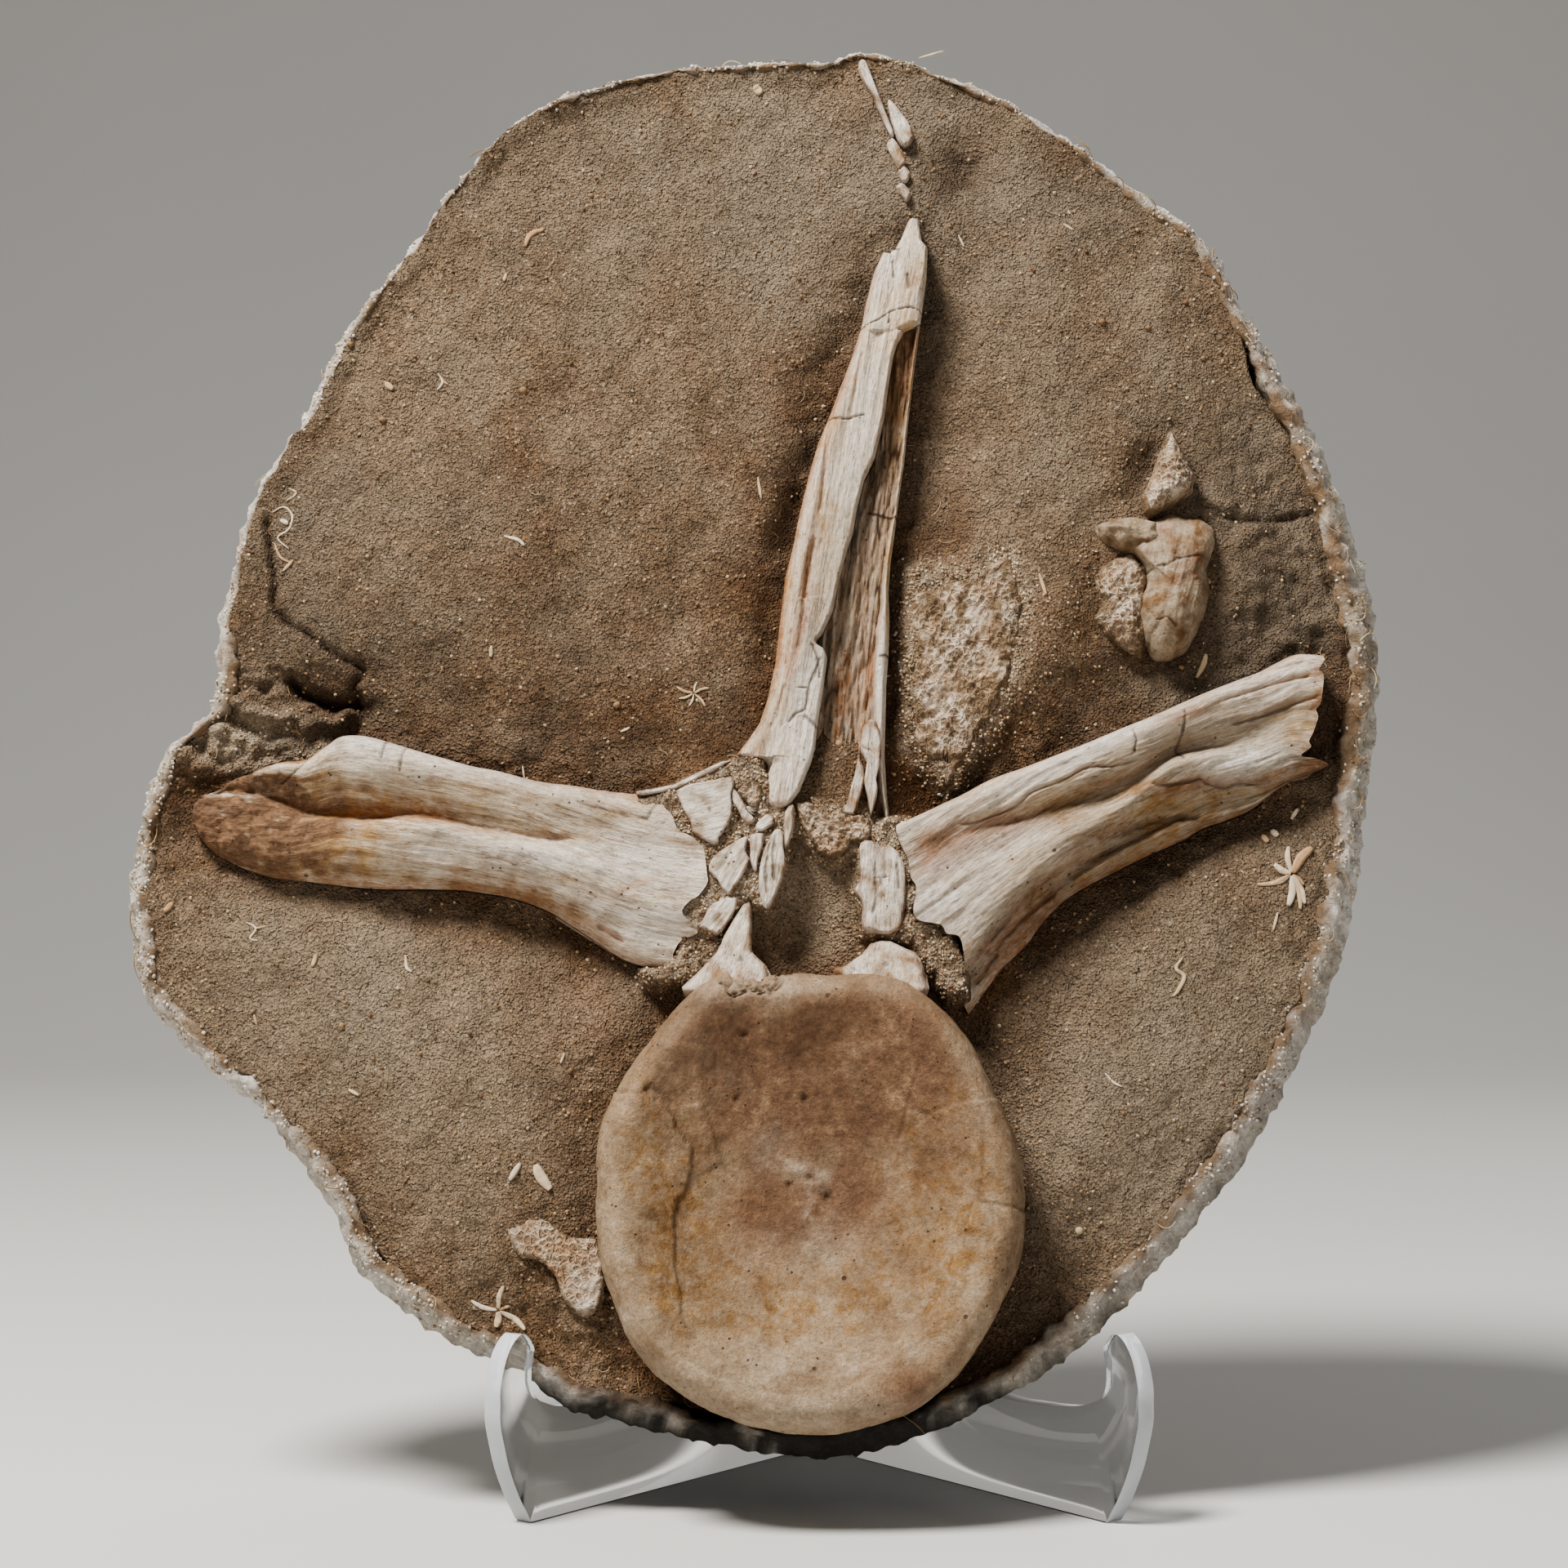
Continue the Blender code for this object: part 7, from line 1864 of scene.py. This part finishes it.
# Small fish bones, shells and chalky bits in the sand, each a low ribbon along a path
bits = {
    # Across and lift of a ribbon's section, in its half widths
    "section": [(-1, -0.5), (-0.8, 0.35), (-0.3, 0.6), (0.1, 0.45), (0.5, 0.62), (0.85, 0.3), (1, -0.5)],
    "stars": [   # across, up, petals: direction in degrees, length, half width
        (120.4, 80.7, [(95, 7, 0.8), (52, 8.5, 1.3), (62, 6, 0.6), (150, 5, 0.9), (197, 9, 0.6),
            (205, 6, 0.5), (262, 8, 1.0), (282, 9, 0.7), (292, 8, 0.8), (318, 4, 0.5)]),
        (-28.6, 126.3, [(20, 4, 0.35), (75, 3, 0.3), (160, 4.5, 0.4), (200, 4, 0.3), (250, 3.4, 0.3),
            (310, 4.4, 0.35)]),
        (-75.5, -26.7, [(78, 6, 0.7), (160, 7, 0.6), (262, 4, 1.0), (325, 8, 0.8), (20, 3, 0.4)])],
    "ribbons": [   # path and half width
        ([(-72.5, 243.6), (-71.8, 246), (-70.2, 247.6), (-67.8, 248.2)], 0.75),
        ([(-77.8, 234), (-77.2, 236)], 0.5),
        ([(-135.6, 173), (-132.6, 174.4), (-130.4, 172), (-131.2, 168.6), (-134, 166.4), (-131, 163.4)],
          0.3), ([(-134.8, 165), (-133.2, 161.4), (-130.4, 160)], 0.35),
        ([(-132, 176), (-129.6, 178), (-131.6, 179.4)], 0.3), ([(-133.4, 171), (-131.4, 170)], 0.7),
        ([(-132.6, 157.8), (-130, 160.6)], 0.45), ([(-66.9, 8.6), (-65.6, 5.8), (-63.2, 2.6)], 1.5),
        ([(-73.2, 4.8), (-70.6, 9)], 0.8),
        ([(92.6, 59.6), (91, 57), (93, 55), (91.4, 51.6), (90, 50)], 0.55),
        ([(-94.2, 209.4), (-93, 207.2), (-94.4, 205.2)], 0.35), ([(-93, 207.4), (-91.6, 206.6)], 0.3),
        ([(98, 131), (99.8, 134.4), (100.4, 137)], 0.8),
        ([(-139.4, 68.6), (-137, 67), (-138.4, 64.6), (-136.4, 64)], 0.3),
        ([(-137, 67), (-134.4, 67.6)], 0.3), ([(-79.6, 138.6), (-79.8, 135.8)], 0.55),
        ([(-76.6, 166.4), (-73.2, 165.4), (-71.4, 163.8)], 0.5), ([(-121.6, 60.6), (-122.8, 57.4)], 0.6),
        ([(-99.8, 60.4), (-99.4, 57.2), (-98, 56.2)], 0.45), ([(-160, 71.4), (-158, 73.6)], 0.8),
        ([(-12.6, 182), (-11.8, 176.4)], 0.4), ([(116.0, 92.4), (117.4, 90.6)], 0.9),
        ([(113.8, 91.2), (114.8, 89)], 0.8), ([(115.4, 66.6), (116.6, 71)], 0.4),
        ([(-71.6, 108.4), (-71, 104.6)], 0.3), ([(-107.6, 206.8), (-105.6, 205.2)], 0.9),
        ([(39, 247.6), (40.4, 244.4)], 0.3), ([(73, 31), (75, 28.6), (77, 27.6)], 0.3),
        ([(-13.6, 287.4), (-12, 285.4)], 1.3), ([(29, 294.6), (35.6, 296.6)], 0.3),
        ([(-137, 45.6), (-136.2, 43)], 0.4), ([(-60, 36), (-61, 33.4)], 0.35),
        ([(122.6, 97.6), (121, 95)], 0.6), ([(58.4, 157), (60, 151.4)], 0.5),
        ([(-113, 27), (-110.4, 25.6)], 0.45), ([(-47, 116.6), (-44.6, 117.6)], 0.35),
        ([(66, 250), (68.4, 248.2)], 0.35)],
}


def makeBits():
    front = np.empty(len(sandBlock.data.vertices) * 3)
    sandBlock.data.attributes["face"].data.foreach_get("vector", front)
    front = front.reshape(-1, 3)[:sand["cells"] ** 2]
    paths = [(np.array(path, float), half) for path, half in bits["ribbons"]]
    for x, y, petals in bits["stars"]:
        for direction, length, half in petals:
            heading = np.array([math.cos(math.radians(direction)), math.sin(math.radians(direction))])
            bend = np.array([-heading[1], heading[0]]) * length * 0.08
            petal = heading * length * np.array([[0.06], [0.55], [1.0]]) + bend * np.array([[0], [1], [0]])
            paths.append((np.array([(x, y)] * 3) + petal, half))
    coords, quads, fans, tone = [], [], [], []
    for index, (path, half) in enumerate(paths):
        line = softCurve(path, 6)
        run = np.gradient(line, axis=0)
        aside = np.stack([-run[:, 1], run[:, 0]], axis=1) / np.hypot(*run.T)[:, None]
        taper = np.sin(np.linspace(0.25, math.pi - 0.3, len(line))) ** 0.7
        nearest = ((line[:, None] - front[None, :, :2]) ** 2).sum(axis=2).argmin(axis=1)
        level = front[nearest, 2]
        thick = min(half, 0.9)
        rows = np.stack([np.column_stack([line + aside * (half * taper * s)[:, None],
                      level + 0.1 + lift * thick * 1.1]) for s, lift in bits["section"]], axis=1)
        rows[..., 2] += 0.10 * softNoise(rows.reshape(-1, 3), 0.9, 700 + index).reshape(rows.shape[:2])
        form, faces = loftForm(rows)
        offset = sum(len(part) for part in coords)
        if volumeOf(form, faces) < 0:
            faces = [group[:, ::-1] for group in faces]
        coords.append(form)
        quads.append(faces[0] + offset)
        fans.append(faces[1] + offset)
        tone.append(np.full(len(form), (index * 0.37) % 1))
    whole = np.vstack(coords)
    fields = {"shade": np.concatenate(tone)}
    return addPiece("fishBits", whole, [np.vstack(quads), np.vstack(fans)], looks["bit"], fields, (),
            "bone")


makeBits()
print("grains, fibres and small bones scattered")


# The clear stand: a folded sheet, drawn as pairs of points across its face,
# from the lower edge to the upper edge
stand = {
    "sheet": 5.0, "front": -14.5, "depth": 92.7, "halfWidth": 68.7, "across": 2.4, "foldRadius": 9.0,
    "foldTop": 104.0,
    "foldSteps": 14, "bevel": 0.45,
    "outer": [
        (-4.6, 45.9), (-6.9, 44.5), (-9.1, 41.9), (-10.6, 38.7), (-11.9, 33.8), (-12, 30), (-11.9, 25.4),
        (-10.3, 19.3), (-8.5, 13.9), (-5.3, 7.4), (-2.2, 2.6), (-0.3, 0.1), (3, 0), (9, 0), (16, 0),
        (25, 0), (34, 0), (42, 0), (50, 0), (58, 0), (66, 0), (74, 0), (82, 0), (90, 0), (98, 0)],
    "inner": [
        (-4.4, 45.9), (-2.6, 45.6), (-0.9, 44.0), (0.3, 42.2), (0.2, 40.4), (-0.5, 38.0), (-0.7, 35.6),
        (-0.5, 33.4), (0.3, 31.2), (1.4, 29.8), (2.6, 29.0), (4.2, 28.4), (7, 27.4), (12, 26.2), (18, 25.4),
        (25, 25.0), (34, 24.6), (42, 25.0), (50, 26.4), (58, 29.7), (66, 35), (74, 43.4), (82, 57),
        (90, 73.6), (98, 92)],
}


def makeStand():
    heading = np.array([stand["halfWidth"], stand["depth"]])
    length = np.hypot(*heading)
    heading = heading / length
    inward = np.array([heading[1], -heading[0]])
    straight = length - stand["foldRadius"] * stand["depth"] / stand["halfWidth"]
    outer, inner = softCurve(stand["outer"], 6), softCurve(stand["inner"], 6)
    foot = np.array([-stand["halfWidth"], 0.0])
    section = []
    for a, b in zip(outer, inner):
        if max(a[0], b[0]) < straight - 1:
            section.append((foot + heading * a[0], foot + heading * b[0], inward, max(a[1], 0), b[1]))
    upper = np.array(stand["inner"][-6:])
    lastHeight = np.interp(straight, upper[:, 0], upper[:, 1])
    centre = foot + heading * straight + inward * stand["foldRadius"]
    start = math.atan2(-inward[1], -inward[0])
    for step in range(stand["foldSteps"] + 1):
        share = step / stand["foldSteps"]
        angle = start + (math.pi / 2 - start) * share
        outward = np.array([math.cos(angle), math.sin(angle)])
        high = lastHeight + (stand["foldTop"] - lastHeight) * math.sin(share * math.pi / 2)
        spot = centre + outward * stand["foldRadius"]
        section.append((spot, spot, -outward, 0.0, high))
    flip = np.array([-1.0, 1.0])
    section += [(a * flip, b * flip, n * flip, low, high) for a, b, n, low, high in reversed(section[:-1])]
    rows = []
    for low, high, normal, base, top in section:
        row = []
        for spot, height, offset in ((low, base, 0), (high, top, 0), (high, top, 1), (low, base, 1)):
            place = spot - normal * stand["sheet"] * offset
            row.append((stand["across"] + place[0] + shiftAcross, stand["front"] + place[1] + shiftDepth,
                      height))
        rows.append(row)
    coords, faces = loftForm(np.array(rows))
    coords = coords[:-2]
    count = len(rows) * 4
    quads = np.vstack([faces[0], [[0, 1, 2, 3]], [[count - 4, count - 1, count - 2, count - 3]]])
    piece = addPiece("stand_easel", coords * mm, [quads], looks["acrylic"], None, ["stand_easel"],
            "acrylic", placed=True)
    # Marks the edge faces, which the acrylic look makes less clear as a painted highlight
    edge = np.append(np.tile([0.0, 1.0, 0.0, 1.0], len(rows) - 1), [1.0, 1.0])
    piece.data.attributes.new("edge", "FLOAT", "FACE").data.foreach_set("value", edge.astype(np.float32))
    bevel = piece.modifiers.new("polished edges", "BEVEL")
    bevel.width = stand["bevel"] * mm
    bevel.segments = 2
    bevel.limit_method = "ANGLE"
    bevel.angle_limit = math.radians(40)
    return piece


clearStand = makeStand()
print("stand made")


# Floor, light and camera
studio = {
    "floor": tint(206, 204, 200), "floorCloud": tint(190, 188, 184),
    "floorFront": -3.0, "bendStart": 1.2, "bendRadius": 1.4, "wallDepth": 2.6, "wallTop": 4.0,
    "halfWidth": 4.0,
    "lights": {
        "keyLight": dict(place=(-0.54, -0.54, 1.40), size=0.46, power=44.0, colour=(1.0, 0.98, 0.95)),
        "fillLight": dict(place=(1.2, -1.5, 0.7), size=1.6, power=3.4, colour=(0.95, 0.97, 1.0)),
        "rimLight": dict(place=(0.9, 0.8, 1.1), size=0.8, power=4.0, colour=(1, 1, 1)),
    },
    "aim": (0, 0, 0.17), "world": 0.17,
    "lens": 77.81, "filmWidth": 36, "cameraAcross": -6.0, "cameraBack": 830.0, "cameraHeight": 0.1778,
}


def makeStage():
    start, radius, side = studio["bendStart"], studio["bendRadius"], studio["halfWidth"]
    depths = [(studio["floorFront"], 0.0), (start, 0.0)]
    depths += [(start + radius * math.sin(a), radius - radius * math.cos(a))
            for a in np.linspace(0, math.pi / 2, 24)[1:]]
    depths.append((studio["wallDepth"], studio["wallTop"]))
    coords = np.array([(x, y, z) for y, z in depths for x in (-side, side)])
    faces = [(2 * i, 2 * i + 1, 2 * i + 3, 2 * i + 2) for i in range(len(depths) - 1)]
    mesh = bpy.data.meshes.new("studioFloor")
    mesh.from_pydata(coords.tolist(), [], faces)
    mesh.shade_smooth()
    paint = Paint("paleFloor", 0.7, 0.2)
    cloud = paint.mix(paint.spread(paint.noise(0.5, 3), 0.4, 0.6, 0, 0.1), studio["floor"],
            studio["floorCloud"])
    mesh.materials.append(paint.finish(cloud))
    floor = bpy.data.objects.new("studioFloor", mesh)
    bpy.context.scene.collection.objects.link(floor)


def addLight(name, place, size, power, colour):
    data = bpy.data.lights.new(name, "AREA")
    data.shape, data.size, data.energy, data.color = "DISK", size, power, colour
    lamp = bpy.data.objects.new(name, data)
    bpy.context.scene.collection.objects.link(lamp)
    lamp.location = place
    aim = Vector(studio["aim"]) - Vector(place)
    lamp.rotation_euler = aim.to_track_quat("-Z", "Y").to_euler()


makeStage()
for lightName, light in studio["lights"].items():
    addLight(lightName, **light)
bpy.context.scene.view_settings.look = "AgX - Medium High Contrast"
world = bpy.data.worlds.new("studioWorld")
bpy.context.scene.world = world
world.use_nodes = True
world.node_tree.nodes["Background"].inputs["Color"].default_value = (1, 1, 1, 1)
world.node_tree.nodes["Background"].inputs["Strength"].default_value = studio["world"]

cameraData = bpy.data.cameras.new("photoCamera")
cameraData.lens, cameraData.sensor_width = studio["lens"], studio["filmWidth"]
camera = bpy.data.objects.new("photoCamera", cameraData)
bpy.context.scene.collection.objects.link(camera)
camera.location = ((shiftAcross + studio["cameraAcross"]) * mm, (shiftDepth - studio["cameraBack"]) * mm,
                   studio["cameraHeight"])
camera.rotation_euler = (math.radians(90), 0, 0)
bpy.context.scene.camera = camera
print("floor, lights and camera made")
